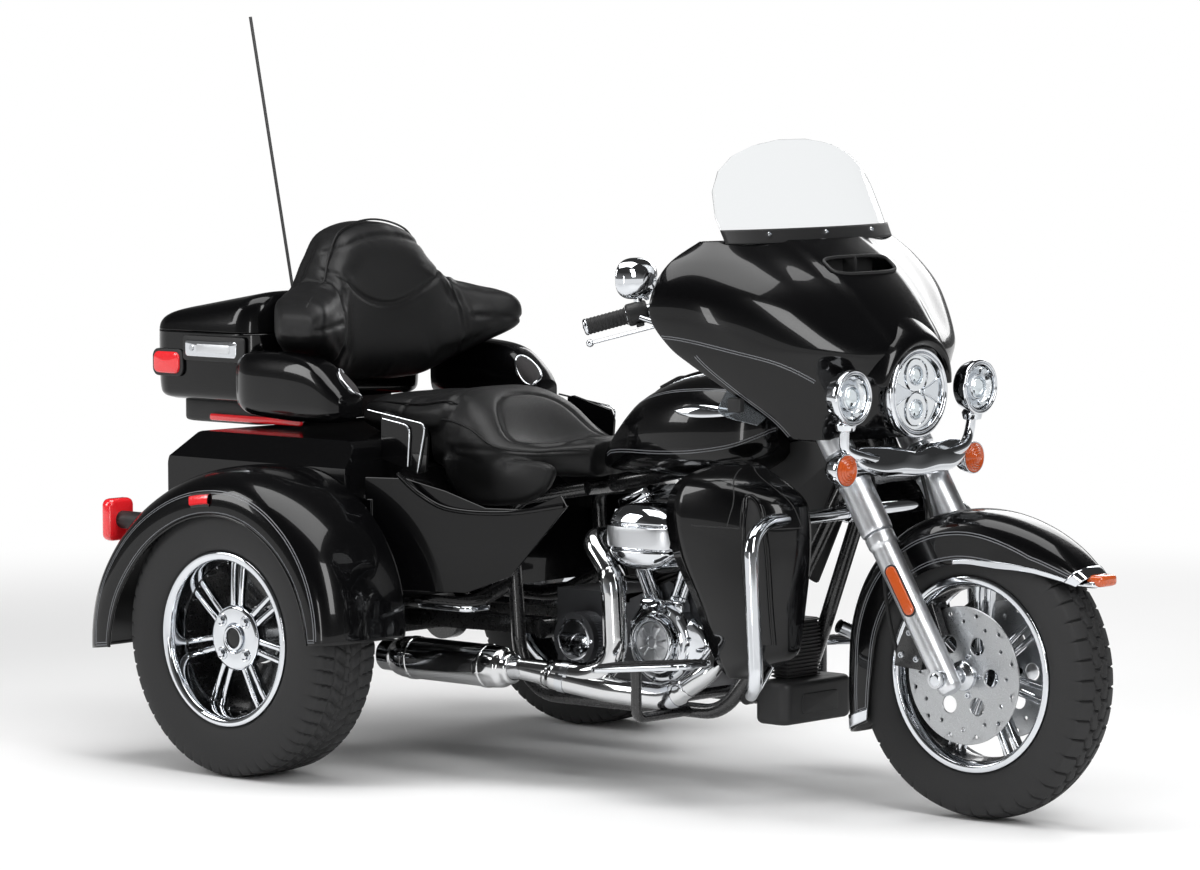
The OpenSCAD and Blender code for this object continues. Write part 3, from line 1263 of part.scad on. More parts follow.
// Outline of the side panel along its length and up, as shares
side_shares = [[0, 0], [0.5, 0], [0.72, 0.16], [1, 0.8], [0.97, 0.9], [0.8, 0.76], [0.6, 0.76],
  [0.4, 0.9], [0.2, 1], [0, 1]];
side_z = 425;
side_h = 258;
grab_shares = [[0, 0.2], [0.75, 0], [0.95, 0.05], [1, 0.62], [0.92, 0.8], [0.12, 1], [0, 0.97]];
grab_l = 150;
grab_z = 690;
grab_h = 140;
grab_y = 322;
module side_panels() {
  v = panel_front - panel_back;
  color("black") from_rear() both_sides() {
    translate([panel_back[0], panel_back[1], 0]) rotate([0, 0, atan2(v[1], v[0])])
      side_plate([for (p = side_shares) [p[0] * norm(v), side_z + p[1] * side_h]], -side_t, 0);
    translate([body_front_u + seat_gap, 0, 0])
      side_plate([for (p = grab_shares) [p[0] * grab_l, grab_z + p[1] * grab_h]], grab_y - side_t,
        grab_y);
    translate([body_front_u + seat_gap, panel_back[1] - side_t * 3, side_z + side_h * 0.5])
      cube([panel_back[0] - body_front_u + side_t * 2, side_t * 3, side_h * 0.3]);
  }
}
// Rear axle: housing, spindles, pulley and swingarm
axle_tube_r = 36;
pivot_back = 22;
pivot_u = crank_u - gear_back - seat_gap - pivot_back;
pivot_r = 22;
pivot_half = 126;
arm_y = 100;
arm_w = 36;
arm_h = 38;
pulley_r = 64;
pulley_y = 40;
pulley_w = 36;
module rear_axle() {
  house = half_track - rear_hub_in - move_gap;
  tip = half_track + rear_hub_out - hub_cap_t - run_gap * 20;
  color("dimgray") from_rear() {
    translate([0, 0, rear_axle_z]) {
      rotate([-90, 0, 0]) rotate_extrude() polygon([[0, -tip], [rear_axle_r, -tip],
        [rear_axle_r, -house], [axle_tube_r, -house],
        [axle_tube_r, pulley_y], [pulley_r, pulley_y], [pulley_r, pulley_y + pulley_w],
          [axle_tube_r, pulley_y + pulley_w],
        [axle_tube_r, house], [rear_axle_r, house], [rear_axle_r, tip], [0, tip]]);
    }
    translate([pivot_u, 0, crank_z]) across(pivot_r, -pivot_half, pivot_half);
    both_sides() translate([0, arm_y, mix(rear_axle_z, crank_z, 0.5)])
      rotate([0, -atan2(crank_z - rear_axle_z, pivot_u), 0])
      translate([arm_w / 3, -arm_w / 2, -arm_h / 2]) cube([pivot_u - arm_w / 2, arm_w, arm_h]);
  }
}
// Lower fairings ahead of the rider's legs
low_z = 285;
low_h = 470;
low_in = 128;
low_out = 338;
low_t = 5;
low_back_u = 1052;
low_front_u = 1262;
// Height, rear edge, front face and outer width of the shield at each level, as shares
low_shares = [[0, 0.5, 0.72, 0.6], [0.12, 0.44, 0.84, 0.78], [0.35, 0.35, 0.93, 0.94],
  [0.6, 0.08, 1, 1], [0.8, 0, 0.98, 1], [0.93, 0.1, 0.84, 0.9], [1, 0.34, 0.66, 0.62]];
low_arc = 10;
function low_pt(row, t, w) =
  let (back = mix(low_back_u, low_front_u, row[1]), front = mix(low_back_u, low_front_u, row[2]) - t,
    out = mix(low_in, low_out, row[3]) - t)
  [back + (front - back) * pow(max(0, cos(w)), 0.55),
    low_in + (out - low_in) * pow(max(0, sin(w)), 0.55), low_z + row[0] * low_h];
function low_ring(row) = concat([for (i = [0:low_arc]) low_pt(row, 0, 90 * i / low_arc)],
  [for (i = [low_arc:-1:0]) low_pt(row, low_t, 90 * i / low_arc)]);
guard_r = 15.9;
guard_z = 645;
guard_y = 384;
guard_foot_z = 262;
guard_rise = 110;
// Where the guard clamps to the downtubes
guard_foot = down_at(guard_foot_z + guard_rise);
guard_top = down_at(guard_z);
// Share of the two tubes' radii left between their axes, as both are many-sided
guard_seat_share = 0.97;
guard_seat = (guard_r + rail_r) * guard_seat_share + seat_gap;
guard_u = guard_top[0] + guard_seat / cos(atan2(guard_top[0] - guard_foot[0],
  guard_top[2] - guard_foot[2]));
low_notch_w = 112;
low_notch_h = 76;
low_clip_w = 30;
low_clip_y = 190;
module lower_fairings() {
  color("black") from_rear() both_sides() {
    difference() {
      shell([for (r = rows(low_shares, 12)) low_ring(r)]);
      translate([low_back_u, low_in - cut, low_z - cut])
        cube([low_front_u - low_back_u + cut, low_notch_w + cut, low_notch_h + cut]);
    }
    translate([low_front_u - 2 * low_t, low_clip_y, guard_z - low_clip_w / 2])
      cube([guard_u - guard_r - seat_gap - low_front_u + 2 * low_t, low_clip_w, low_clip_w]);
  }
}
guard_bend = 34;
guard_in = 60;
guard_drop = 40;
// How far the upright leans forward at its top and foot, and how far the foot runs back
guard_fore = [12, 28, 40];
guard_seat_shares = [1.1, 0.2];
module engine_guard() {
  half = [[guard_u, 0, guard_z], [guard_u, guard_y - guard_in, guard_z],
    [guard_u + guard_fore[0], guard_y, guard_z - guard_drop],
    [guard_u + guard_fore[1], guard_y, guard_foot_z + guard_drop],
    [guard_u - guard_fore[2], guard_y - guard_in, guard_foot_z],
    guard_foot + guard_seat * [guard_seat_shares[0], guard_seat_shares[1], 0]];
  color("silver") from_rear() both_sides() tube(bent(half, guard_bend), guard_r, [1, 0.2, 0]);
}
chin_u = 1112;
chin_bar_r = 18;
chin_l = 96;
chin_w = 240;
chin_z0 = 168;
chin_h = 96;
chin_round = 26;
cooler_w = 116;
cooler_l = 44;
cooler_h = 130;
cooler_fins = 8;
cooler_fin_t = 7;
module chin_cover() {
  color("dimgray") from_rear() {
    translate([0, 0, chin_z0]) linear_extrude(chin_h)
      polygon(round_rect([chin_u, -chin_w / 2], [chin_u + chin_l, chin_w / 2], chin_round, corner_steps));
    translate([chin_u, -cooler_w * 0.4, chin_z0 + chin_h]) cube([cooler_l, cooler_w * 0.8, cooler_h]);
    for (k = [0:cooler_fins - 1]) translate([chin_u, -cooler_w / 2,
      chin_z0 + chin_h + (k + 0.5) * cooler_h / cooler_fins])
      cube([cooler_l + cooler_fin_t, cooler_w, cooler_fin_t]);
  }
}
board_in = 262;
board_w = 118;
board_u = 846;
board_l = 290;
board_z = 282;
board_t = 14;
board_tilt = -6;
rear_board_u = 330;
rear_board_l = 170;
rear_board_w = 92;
rear_board_in = 300;
rear_board_z = 392;
// Distance to a flat of the many-sided rail as a share of its radius
rail_flat_share = 0.94;
bracket_r = 12;
bracket_at = board_l * 0.35;
// The lower rail's distance from the middle, which narrows towards the front
function rail_y_at(u) = rail_y - rail_in * (u - upright_u) / (rail_front_u - upright_u);
module footboards() {
  color("dimgray") from_rear() both_sides() {
    translate([board_u, 0, board_z]) rotate([0, board_tilt, 0]) linear_extrude(board_t)
      polygon(round_rect([0, board_in], [board_l, board_in + board_w], board_w * 0.3, corner_steps));
    translate([board_u + bracket_at, 0, rail_z])
      across(bracket_r, rail_y_at(board_u + bracket_at) + rail_r + seat_gap, board_in + board_w / 2);
    translate([board_u + bracket_at, board_in + board_w / 2, rail_z])
      cylinder(r = bracket_r, h = board_z - rail_z + board_t / 2 - bracket_at * sin(board_tilt));
    translate([rear_board_u, 0, rear_board_z]) linear_extrude(board_t)
      polygon(round_rect([0, rear_board_in], [rear_board_l, rear_board_in + rear_board_w],
        rear_board_w * 0.3, corner_steps));
    translate([rear_board_u + rear_board_l * 0.15, 0, rear_board_z + board_t / 2])
      across(board_t * 0.4, rail_y + rail_r * rail_flat_share + seat_gap,
        rear_board_in + rear_board_w / 2);
  }
}

frame();
crankcase();
cylinders();
rocker_covers();
cam_cover();
primary_cover();
gearbox();
air_cleaner();
exhaust();
fuel_tank();
tank_console();
seat();
backrest();
trunk_base();
speaker_pods();
trunk_latch();
trunk_lamps();
antenna();
rear_body();
rear_fenders();
tail_lamps();
side_panels();
rear_axle();
lower_fairings();
engine_guard();
chin_cover();
footboards();
trunk_lid();
trunk_door();
fork_yokes();
fork_legs();
front_axle();
brake_calipers();
front_fender();
fender_lamp();
outer_fairing();
inner_fairing();
windshield();
headlamp();
passing_lamps();
turn_signals();
handlebar();
hand_controls();
mirrors();
front_rim();
front_tyre();
front_discs();
rear_rim_left();
rear_tyre_left();
rear_rim_right();
rear_tyre_right();
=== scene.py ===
"""Looks of a touring trike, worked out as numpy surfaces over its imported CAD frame.

Lengths in the shape functions are millimetres: u forward from the rear axle, y to the
rider's left, z up from the ground. put() turns them into metres in the shared frame.
"""

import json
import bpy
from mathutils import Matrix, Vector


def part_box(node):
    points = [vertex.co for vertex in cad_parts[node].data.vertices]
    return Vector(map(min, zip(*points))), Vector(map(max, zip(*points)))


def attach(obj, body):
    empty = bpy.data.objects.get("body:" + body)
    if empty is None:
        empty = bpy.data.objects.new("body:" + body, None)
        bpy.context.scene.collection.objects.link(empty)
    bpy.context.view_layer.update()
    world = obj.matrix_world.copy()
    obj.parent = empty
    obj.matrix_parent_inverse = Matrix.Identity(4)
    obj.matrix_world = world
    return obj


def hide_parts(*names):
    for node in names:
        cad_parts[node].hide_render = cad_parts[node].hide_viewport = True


bl_info = {
    "name": "Touring Trike",
    "version": (1, 0, 0),
    "blender": (4, 5, 0),
    "location": "View3D > Sidebar > Trike",
    "description": "Dresses the frame of a three-wheeled touring motorcycle",
    "category": "Object",
}

import bpy
import numpy as np
from bpy.props import FloatProperty, FloatVectorProperty, IntProperty, PointerProperty
from bpy.types import Operator, Panel, PropertyGroup
from mathutils import Matrix

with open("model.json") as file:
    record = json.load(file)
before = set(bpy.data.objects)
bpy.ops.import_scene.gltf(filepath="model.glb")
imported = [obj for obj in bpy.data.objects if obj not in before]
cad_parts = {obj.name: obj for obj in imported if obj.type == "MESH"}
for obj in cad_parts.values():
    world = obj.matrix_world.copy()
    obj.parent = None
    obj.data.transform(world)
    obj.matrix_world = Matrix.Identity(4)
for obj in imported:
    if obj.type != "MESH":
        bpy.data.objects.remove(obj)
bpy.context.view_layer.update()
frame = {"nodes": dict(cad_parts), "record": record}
MM = 0.001
# Pinstripes: distance between the two lines in widths, and their height off the paint
STRIPE_GAP, STRIPE_LIFT = 2.6, 0.35
# Edges sharper than this, in radians, are bevelled; width of the bevel on CAD nodes
EDGE_ANGLE, CAD_EDGE, CAD_WELD = 0.7, 1.2, 0.01


def node_box(node):
    """Lowest and highest corner of a CAD node, in mm in the row frame."""
    low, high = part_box(node)
    return np.array(low) / MM, np.array(high) / MM


def local_box(node):
    """The same corners, counted along from the rear axle."""
    low, high = node_box(node)
    return low - [REAR_X, 0, 0], high - [REAR_X, 0, 0]


def node_middle(node):
    """Middle of a CAD node's box, in mm in the row frame."""
    return sum(node_box(node)) / 2


REAR_X = node_middle("rear_tyre_left")[0]
WHEELBASE = node_middle("front_tyre")[0] - REAR_X
FRONT_AXLE = np.array([WHEELBASE, 0, node_middle("front_tyre")[2]])
REAR_AXLE_Z = node_middle("rear_tyre_left")[2]
HALF_TRACK = node_middle("rear_tyre_left")[1]


# Plain maths


def mix(a, b, t):
    """Point a share t of the way from a to b."""
    return a + (b - a) * t


def spow(v, e):
    """Power of the size of v with v's own sign, the curve of a superellipse."""
    return np.sign(v) * np.abs(v) ** e


def step(lo, hi, v):
    """Smooth rise from 0 at lo to 1 at hi."""
    t = np.clip((v - lo) / (hi - lo), 0, 1)
    return t * t * (3 - 2 * t)


def unit(v):
    """Vectors of length one along the last axis."""
    return v / np.maximum(np.linalg.norm(v, axis=-1, keepdims=True), 1e-9)


def at_rows(table, k):
    """Rows of a table at shares k of the way through it, on the cubic through every row."""
    t = np.asarray(table, float)
    n = len(t) - 1
    k = np.clip(np.asarray(k, float), 0, 1) * n
    i = np.clip(np.floor(k).astype(int), 0, n - 1)
    f = (k - i)[..., None]
    a, b, c, d = t[np.maximum(i - 1, 0)], t[i], t[i + 1], t[np.minimum(i + 2, n)]
    return (
        b
        + f * 0.5 * (c - a)
        + f**2 * (a - 2.5 * b + 2 * c - 0.5 * d)
        + f**3 * (1.5 * b - 1.5 * c + 0.5 * d - 0.5 * a)
    )


def down(a, b, n):
    """Even steps from a to b as a column."""
    return np.linspace(a, b, n)[:, None]


def over(a, b, n):
    """Even steps from a to b as a row."""
    return np.linspace(a, b, n)[None, :]


def circle(n):
    """Angles of n even steps round a circle, as a row."""
    return np.linspace(0, 2 * np.pi, n, endpoint=False)[None, :]


def spread(f, k, w):
    """Points of a surface f over a column k and a row w of its parameters."""
    return f(*np.broadcast_arrays(k, w))


def leaning(angle):
    """Up and forward vectors, leaned back by an angle."""
    c, s = np.cos(angle), np.sin(angle)
    return np.array([-s, 0, c]), np.array([c, 0, s])


def rows(table, steps):
    """Rows of a table, or points of a path, at even steps on the cubic through them."""
    return at_rows(table, np.linspace(0, 1, steps))


def bent(points, d, steps=10):
    """Path through points with every corner rounded by a parabola over a distance d."""
    p = np.asarray(points, float)
    a = p[1:-1] + unit(p[:-2] - p[1:-1]) * d
    b = p[1:-1] + unit(p[2:] - p[1:-1]) * d
    t = np.linspace(0, 1, steps)[None, :, None]
    arcs = (1 - t) ** 2 * a[:, None] + 2 * t * (1 - t) * p[1:-1, None] + t**2 * b[:, None]
    return np.vstack([p[:1], arcs.reshape(-1, 3), p[-1:]])


# Surfaces, each a list of vertices with quads and triangles


def grid(P, wrap=(False, False), cap=(False, False), keep=None):
    """Quads over an n by m array of points, closed round where wrap says, with a fan over
    the first and last row where cap says. keep drops the quads where it is false."""
    n, m = P.shape[:2]
    i = np.arange(n if wrap[0] else n - 1)[:, None]
    j = np.arange(m if wrap[1] else m - 1)[None, :]
    i2, j2 = (i + 1) % n, (j + 1) % m
    q = np.stack(np.broadcast_arrays(i * m + j, i * m + j2, i2 * m + j2, i2 * m + j), -1)
    if keep is not None:
        q = q[keep[: q.shape[0], : q.shape[1]]]
    q = q.reshape(-1, 4)
    V = P.reshape(-1, 3)
    tris = np.zeros((0, 3), int)
    for row, on, turn in ((0, cap[0], 1), (n - 1, cap[1], -1)):
        if on:
            ring = row * m + np.arange(m)
            fan = np.stack([np.roll(ring, -1), ring, np.full(m, len(V))], -1)[:, ::turn]
            V = np.vstack([V, P[row].mean(0)])
            tris = np.vstack([tris, fan])
    return outward(V, q, tris)


def outward(V, q, t):
    """The same faces turned so that they look away from the middle of the points."""
    c = V - V.mean(0)
    push = 0.0
    for f in (q, t):
        if len(f):
            normal = np.cross(c[f[:, 1]] - c[f[:, 0]], c[f[:, -1]] - c[f[:, 0]])
            push += (normal * c[f].mean(1)).sum()
    return (V, q, t) if push >= 0 else (V, q[:, ::-1], t[:, ::-1])


def inward(part):
    """The same part with its faces turned over."""
    V, q, t = part
    return V, q[:, ::-1], t[:, ::-1]


def moved(part, by):
    """The part shifted by a vector."""
    V, q, t = part
    return V + np.asarray(by, float), q, t


def mirrored(parts):
    """The parts and their images on the other side of the middle plane."""
    flip = np.array([1, -1, 1])
    return list(parts) + [(V * flip, q[:, ::-1], t[:, ::-1]) for V, q, t in parts]


def copies(part, M, at):
    """Copies of a part, each turned by its own matrix and set at its own place."""
    V, q, t = part
    k, n = len(M), len(V)
    W = np.einsum("kab,nb->kna", M, V) + np.asarray(at)[:, None, :]
    shift = (np.arange(k) * n)[:, None, None]
    return (
        W.reshape(-1, 3),
        (q[None] + shift).reshape(-1, q.shape[1]),
        (t[None] + shift).reshape(-1, t.shape[1]),
    )


def frames(path, ref):
    """Two unit vectors square to a path at each point, the first square to ref as well."""
    tangent = unit(np.gradient(path, axis=0))
    a = unit(np.cross(np.asarray(ref, float), tangent))
    return a, np.cross(tangent, a)


def tube(path, r, ref, sides=20, cap=(True, True), squash=1.0):
    """Circle of radius r, or an ellipse squashed in its second way, carried along a path."""
    a, b = frames(path, ref)
    w = np.linspace(0, 2 * np.pi, sides, endpoint=False)
    r = np.broadcast_to(np.asarray(r, float), (len(path),))[:, None, None]
    ring = np.cos(w)[None, :, None] * a[:, None] + squash * np.sin(w)[None, :, None] * b[:, None]
    return grid(path[:, None] + r * ring, (False, True), cap)


def strip(path, normal, width, lift, round_by=0.5):
    """Shallow rounded band of a width laid along a path on a surface with those normals."""
    tangent = unit(np.gradient(path, axis=0))
    side = unit(np.cross(tangent, normal))
    w = np.linspace(0, np.pi, 5)
    across, up = np.cos(w) * width / 2, np.sin(w) ** round_by * lift
    P = path[:, None] + across[None, :, None] * side[:, None] + up[None, :, None] * normal[:, None]
    return grid(P)


def turned(profile, centre, axis="y", sides=64, part_of=(0, 2 * np.pi)):
    """Profile of radius and place along an axis, turned about that axis through centre."""
    p = np.asarray(profile, float)
    whole = np.isclose(part_of[1] - part_of[0], 2 * np.pi)
    w = np.linspace(*part_of, sides, endpoint=not whole)
    r, s = p[:, 0][:, None], np.broadcast_to(p[:, 1][:, None], (len(p), len(w)))
    c, d = r * np.cos(w), r * np.sin(w)
    order = {"y": (c, s, d), "x": (s, c, d), "z": (c, d, s)}[axis]
    return grid(np.stack(order, -1) + np.asarray(centre, float), (False, whole))


def rounded(points, r, steps=5):
    """Profile with its inner corners rounded off by r, or by each corner's own share of it."""
    p = np.asarray(points, float)
    before, after = p[:-2] - p[1:-1], p[2:] - p[1:-1]
    lim = 0.49 * np.minimum(np.linalg.norm(before, axis=1), np.linalg.norm(after, axis=1))
    d = np.minimum(r, lim)[:, None]
    a, b = p[1:-1] + unit(before) * d, p[1:-1] + unit(after) * d
    t = np.linspace(0, 1, steps)[None, :, None]
    arcs = (1 - t) ** 2 * a[:, None] + 2 * t * (1 - t) * p[1:-1, None] + t**2 * b[:, None]
    return np.vstack([p[:1], arcs.reshape(-1, p.shape[1]), p[-1:]])


def spun(points, r, centre, axis="y", sides=64):
    """Profile with its corners rounded off by r, turned about an axis."""
    return turned(rounded(points, r), centre, axis, sides)


def lathe(points, r, sides):
    """The same about z at the origin, ready to be laid along an axis."""
    return spun(points, r, (0, 0, 0), "z", sides)


def block(lo, hi, e, n):
    """Box with rounded edges: a superellipsoid ball whose power e is near zero, with the
    poles' rows closed, stretched between two corners."""
    lo, hi = np.asarray(lo, float), np.asarray(hi, float)
    v = down(-np.pi / 2, np.pi / 2, n)
    w = circle(2 * n)
    P = np.stack(
        np.broadcast_arrays(
            spow(np.cos(v), e) * spow(np.cos(w), e), spow(np.cos(v), e) * spow(np.sin(w), e),
            spow(np.sin(v), e)
        ),
        -1,
    )
    return grid(P * (hi - lo) / 2 + (hi + lo) / 2, (False, True), (True, True))


def slab(outline, thick, edge, to_space, steps=4):
    """Plate of an outline in two directions, its rim rounded by edge, its faces fanned from
    the middle; to_space turns outline and height arrays into points."""
    o = np.asarray(outline, float)
    mid = o.mean(0)
    nrm = unit(np.roll(o, -1, 0) - np.roll(o, 1, 0))[:, ::-1] * np.array([1, -1])
    if (nrm * (o - mid)).sum() < 0:
        nrm = -nrm
    w = np.linspace(0, np.pi / 2, steps)
    inset = np.concatenate([1 - np.sin(w), [0], 1 - np.cos(w)]) * edge
    high = np.concatenate([(1 - np.cos(w)) * edge, [thick / 2], thick - (1 - np.sin(w)) * edge])
    P = o[None] - nrm[None] * inset[:, None, None]
    return grid(
        to_space(P[..., 0], P[..., 1], np.broadcast_to(high[:, None], P.shape[:2])), (False, True),
        (True, True)
    )


def plane(at, x, y, z):
    """Place for a plate at a point, its outline along x and y and its height along z."""
    return lambda a, b, h: at + a[..., None] * x + b[..., None] * y + h[..., None] * z


def round_rect(lo, hi, r, steps=6):
    """Outline of a rectangle with round corners, anticlockwise."""
    t = np.linspace(0, np.pi / 2, steps)
    c = np.array(
        [
            [hi[0] - r, lo[1] + r], [hi[0] - r, hi[1] - r], [lo[0] + r, hi[1] - r],
            [lo[0] + r, lo[1] + r]
        ]
    )
    a = t[None] + (np.arange(4) * np.pi / 2 - np.pi / 2)[:, None]
    return (c[:, None] + r * np.stack([np.cos(a), np.sin(a)], -1)).reshape(-1, 2)


def about_y(angles):
    """Matrices that turn by angles about the y axis."""
    c, s, z, o = np.cos(angles), np.sin(angles), np.zeros_like(angles), np.ones_like(angles)
    return np.stack(
        [np.stack([c, z, s], -1), np.stack([z, o, z], -1), np.stack([-s, z, c], -1)], 1
    )


def facing(axis):
    """Matrix whose third column is the given direction."""
    z = unit(np.asarray(axis, float))
    x = unit(np.cross([0, 1, 0] if abs(z[1]) < 0.9 else [1, 0, 0], z))
    return np.stack([x, np.cross(z, x), z], -1)


def screw(r, h):
    """Low domed screw head that stands up along z: a profile turned about its axis."""
    profile = [
        (0.001, -h), (r, -h), (r, h * 0.55), (r * 0.8, h), (r * 0.45, h), (r * 0.4, h * 0.4),
        (0.001, h * 0.4)
    ]
    return turned(profile, (0, 0, 0), "z", 14)


def bolts(places, axis, r, h):
    """Screw heads at places, all along one axis."""
    p = np.atleast_2d(np.asarray(places, float))
    return copies(screw(r, h), np.repeat(facing(axis)[None], len(p), 0), p)


def round_places(centre, r, angles):
    """Places at angles on a circle of radius r, about an axis across the vehicle."""
    return centre + np.stack([r * np.cos(angles), 0 * angles, r * np.sin(angles)], -1)


def on(f, a, b, away):
    """Points of a surface f at parameters a and b, and unit normals that look away from one."""
    a, b = np.broadcast_arrays(a, b)
    e = 1e-3
    p = f(a, b)
    n = unit(np.cross(f(a + e, b) - f(a - e, b), f(a, b + e) - f(a, b - e)))
    return p, n * np.sign(((p - np.asarray(away, float)) * n).sum(-1, keepdims=True))


def band(f, a, b, away, lift):
    """Patch of a surface f over two parameter arrays, lifted off it along its normals."""
    p, n = on(f, a, b, away)
    return grid(p + lift * n)


def stripes(f, a, b, away, width):
    """Two fine parallel stripes laid on a surface f along a path of its parameters."""
    gap = width * STRIPE_GAP
    p, n = on(f, a, b, away)
    side = unit(np.cross(unit(np.gradient(p, axis=0)), n))
    return [strip(p + s * gap / 2 * side, n, width, STRIPE_LIFT) for s in (-1, 1)]


def along(part, axis, at):
    """A part made about z, turned to lie along an axis from a place."""
    return copies(part, facing(axis)[None], np.asarray(at, float)[None])


def bevelled(obj, width, segments):
    """Bevels an object's sharp edges by a width in mm."""
    mod = obj.modifiers.new("Edges", "BEVEL")
    mod.width, mod.segments = width * MM, segments
    mod.limit_method, mod.angle_limit = "ANGLE", EDGE_ANGLE


def put(name, parts, material, body, stands_for=(), wall=0.0, bevel=0.0, sharp=38, offset=-1.0):
    """Joins parts into one mesh object in metres in the row frame, gives it a material and its
    body, and hides the CAD nodes that it stands for."""
    parts = [parts] if isinstance(parts, tuple) else list(parts)
    V = np.vstack([p[0] for p in parts])
    start = np.concatenate([[0], np.cumsum([len(p[0]) for p in parts])[:-1]])
    quads = np.vstack(
        [p[1] + s for p, s in zip(parts, start)] + [np.zeros((0, 4), int)]
    ).astype(np.int32)
    tris = np.vstack(
        [p[2] + s for p, s in zip(parts, start)] + [np.zeros((0, 3), int)]
    ).astype(np.int32)
    mesh = bpy.data.meshes.new(name)
    mesh.vertices.add(len(V))
    mesh.vertices.foreach_set("co", ((V + [REAR_X, 0, 0]) * MM).astype(np.float32).ravel())
    mesh.loops.add(quads.size + tris.size)
    mesh.loops.foreach_set("vertex_index", np.concatenate([quads.ravel(), tris.ravel()]))
    mesh.polygons.add(len(quads) + len(tris))
    first = np.concatenate([np.arange(len(quads)) * 4, quads.size + np.arange(len(tris)) * 3])
    mesh.polygons.foreach_set("loop_start", first.astype(np.int32))
    mesh.polygons.foreach_set("use_smooth", np.ones(len(first), bool))
    mesh.update(calc_edges=True)
    mesh.validate()
    mesh.set_sharp_from_angle(angle=np.radians(sharp))
    obj = bpy.data.objects.new(name, mesh)
    bpy.context.scene.collection.objects.link(obj)
    if wall:
        mod = obj.modifiers.new("Wall", "SOLIDIFY")
        mod.thickness, mod.offset = wall * MM, offset
    if bevel:
        bevelled(obj, bevel, 2)
    mesh.materials.append(MATERIALS[material])
    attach(obj, body)
    if stands_for:
        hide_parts(*([stands_for] if isinstance(stands_for, str) else stands_for))
    return obj


# Materials


MATERIALS = {}
SLOTS = {}


def linear(code):
    """Linear colour of an sRGB hex code."""
    c = np.array([int(code[i : i + 2], 16) for i in (1, 3, 5)]) / 255
    return tuple(np.where(c <= 0.04045, c / 12.92, ((c + 0.055) / 1.055) ** 2.4)) + (1.0,)


def add(tree, kind, links=None, **settings):
    """Adds one node, sets its sockets or properties by name and links its inputs."""
    node = tree.nodes.new(kind)
    for key, value in settings.items():
        socket = key.replace("_", " ")
        if socket in node.inputs:
            node.inputs[socket].default_value = value
        else:
            setattr(node, key, value)
    for key, source in (links or {}).items():
        tree.links.new(source, node.inputs[key])
    return node


def maths(tree, operation, a, b):
    """Adds a node that works out one sum of two sockets, or of a socket and a number."""
    node = tree.nodes.new("ShaderNodeMath")
    node.operation = operation
    tree.links.new(a, node.inputs[0])
    if isinstance(b, float):
        node.inputs[1].default_value = b
    else:
        tree.links.new(b, node.inputs[1])
    return node.outputs[0]


def clean_tree(owner):
    """Empty node tree of a material or a world."""
    owner.use_nodes = True
    owner.node_tree.nodes.clear()
    return owner.node_tree


def surface(
    name, slot, colour, grain_mm, rough, bump_mm=0.0, tint=0.0, pattern="NOISE", stretch=(1, 1, 1),
    **shader
):
    """Principled surface whose pattern, with features grain_mm across, moves its roughness
    between the two values of rough, lifts it by bump_mm and lightens its colour by tint."""
    mat = bpy.data.materials.new(name)
    tree = clean_tree(mat)
    place = add(tree, "ShaderNodeTexCoord")
    turn = add(tree, "ShaderNodeMapping", {"Vector": place.outputs["Object"]}, Scale=stretch)
    scale = 1 / (grain_mm * MM)
    if pattern == "CELLS":
        tex = add(
            tree, "ShaderNodeTexVoronoi", {"Vector": turn.outputs[0]}, feature="DISTANCE_TO_EDGE",
            Scale=scale
        )
        height = add(
            tree, "ShaderNodeMapRange", {"Value": tex.outputs["Distance"]}, From_Max=0.25
        ).outputs[0]
    else:
        height = add(
            tree, "ShaderNodeTexNoise", {"Vector": turn.outputs[0]}, Scale=scale, Detail=4.0
        ).outputs[0]
    body = add(tree, "ShaderNodeBsdfPrincipled", Base_Color=colour, **shader)
    way = add(
        tree, "ShaderNodeMapRange", {"Value": height}, From_Min=0.3, From_Max=0.7, To_Min=rough[0],
        To_Max=rough[1]
    )
    tree.links.new(way.outputs[0], body.inputs["Roughness"])
    if bump_mm:
        lift = add(tree, "ShaderNodeBump", {"Height": height}, Strength=1.0, Distance=bump_mm * MM)
        tree.links.new(lift.outputs[0], body.inputs["Normal"])
    if tint:
        pale = tuple(min(1, c + tint) for c in colour[:3]) + (1,)
        shade = add(tree, "ShaderNodeMix", {"Factor": height}, data_type="RGBA")
        for socket, value in (("A", colour), ("B", pale)):
            [
                s for s in shade.inputs if s.name == socket and s.type == "RGBA"
            ][0].default_value = value
        tree.links.new(
            [s for s in shade.outputs if s.type == "RGBA"][0], body.inputs["Base Color"]
        )
    add(tree, "ShaderNodeOutputMaterial", {"Surface": body.outputs[0]})
    MATERIALS[name], SLOTS[name] = mat, slot
    return mat


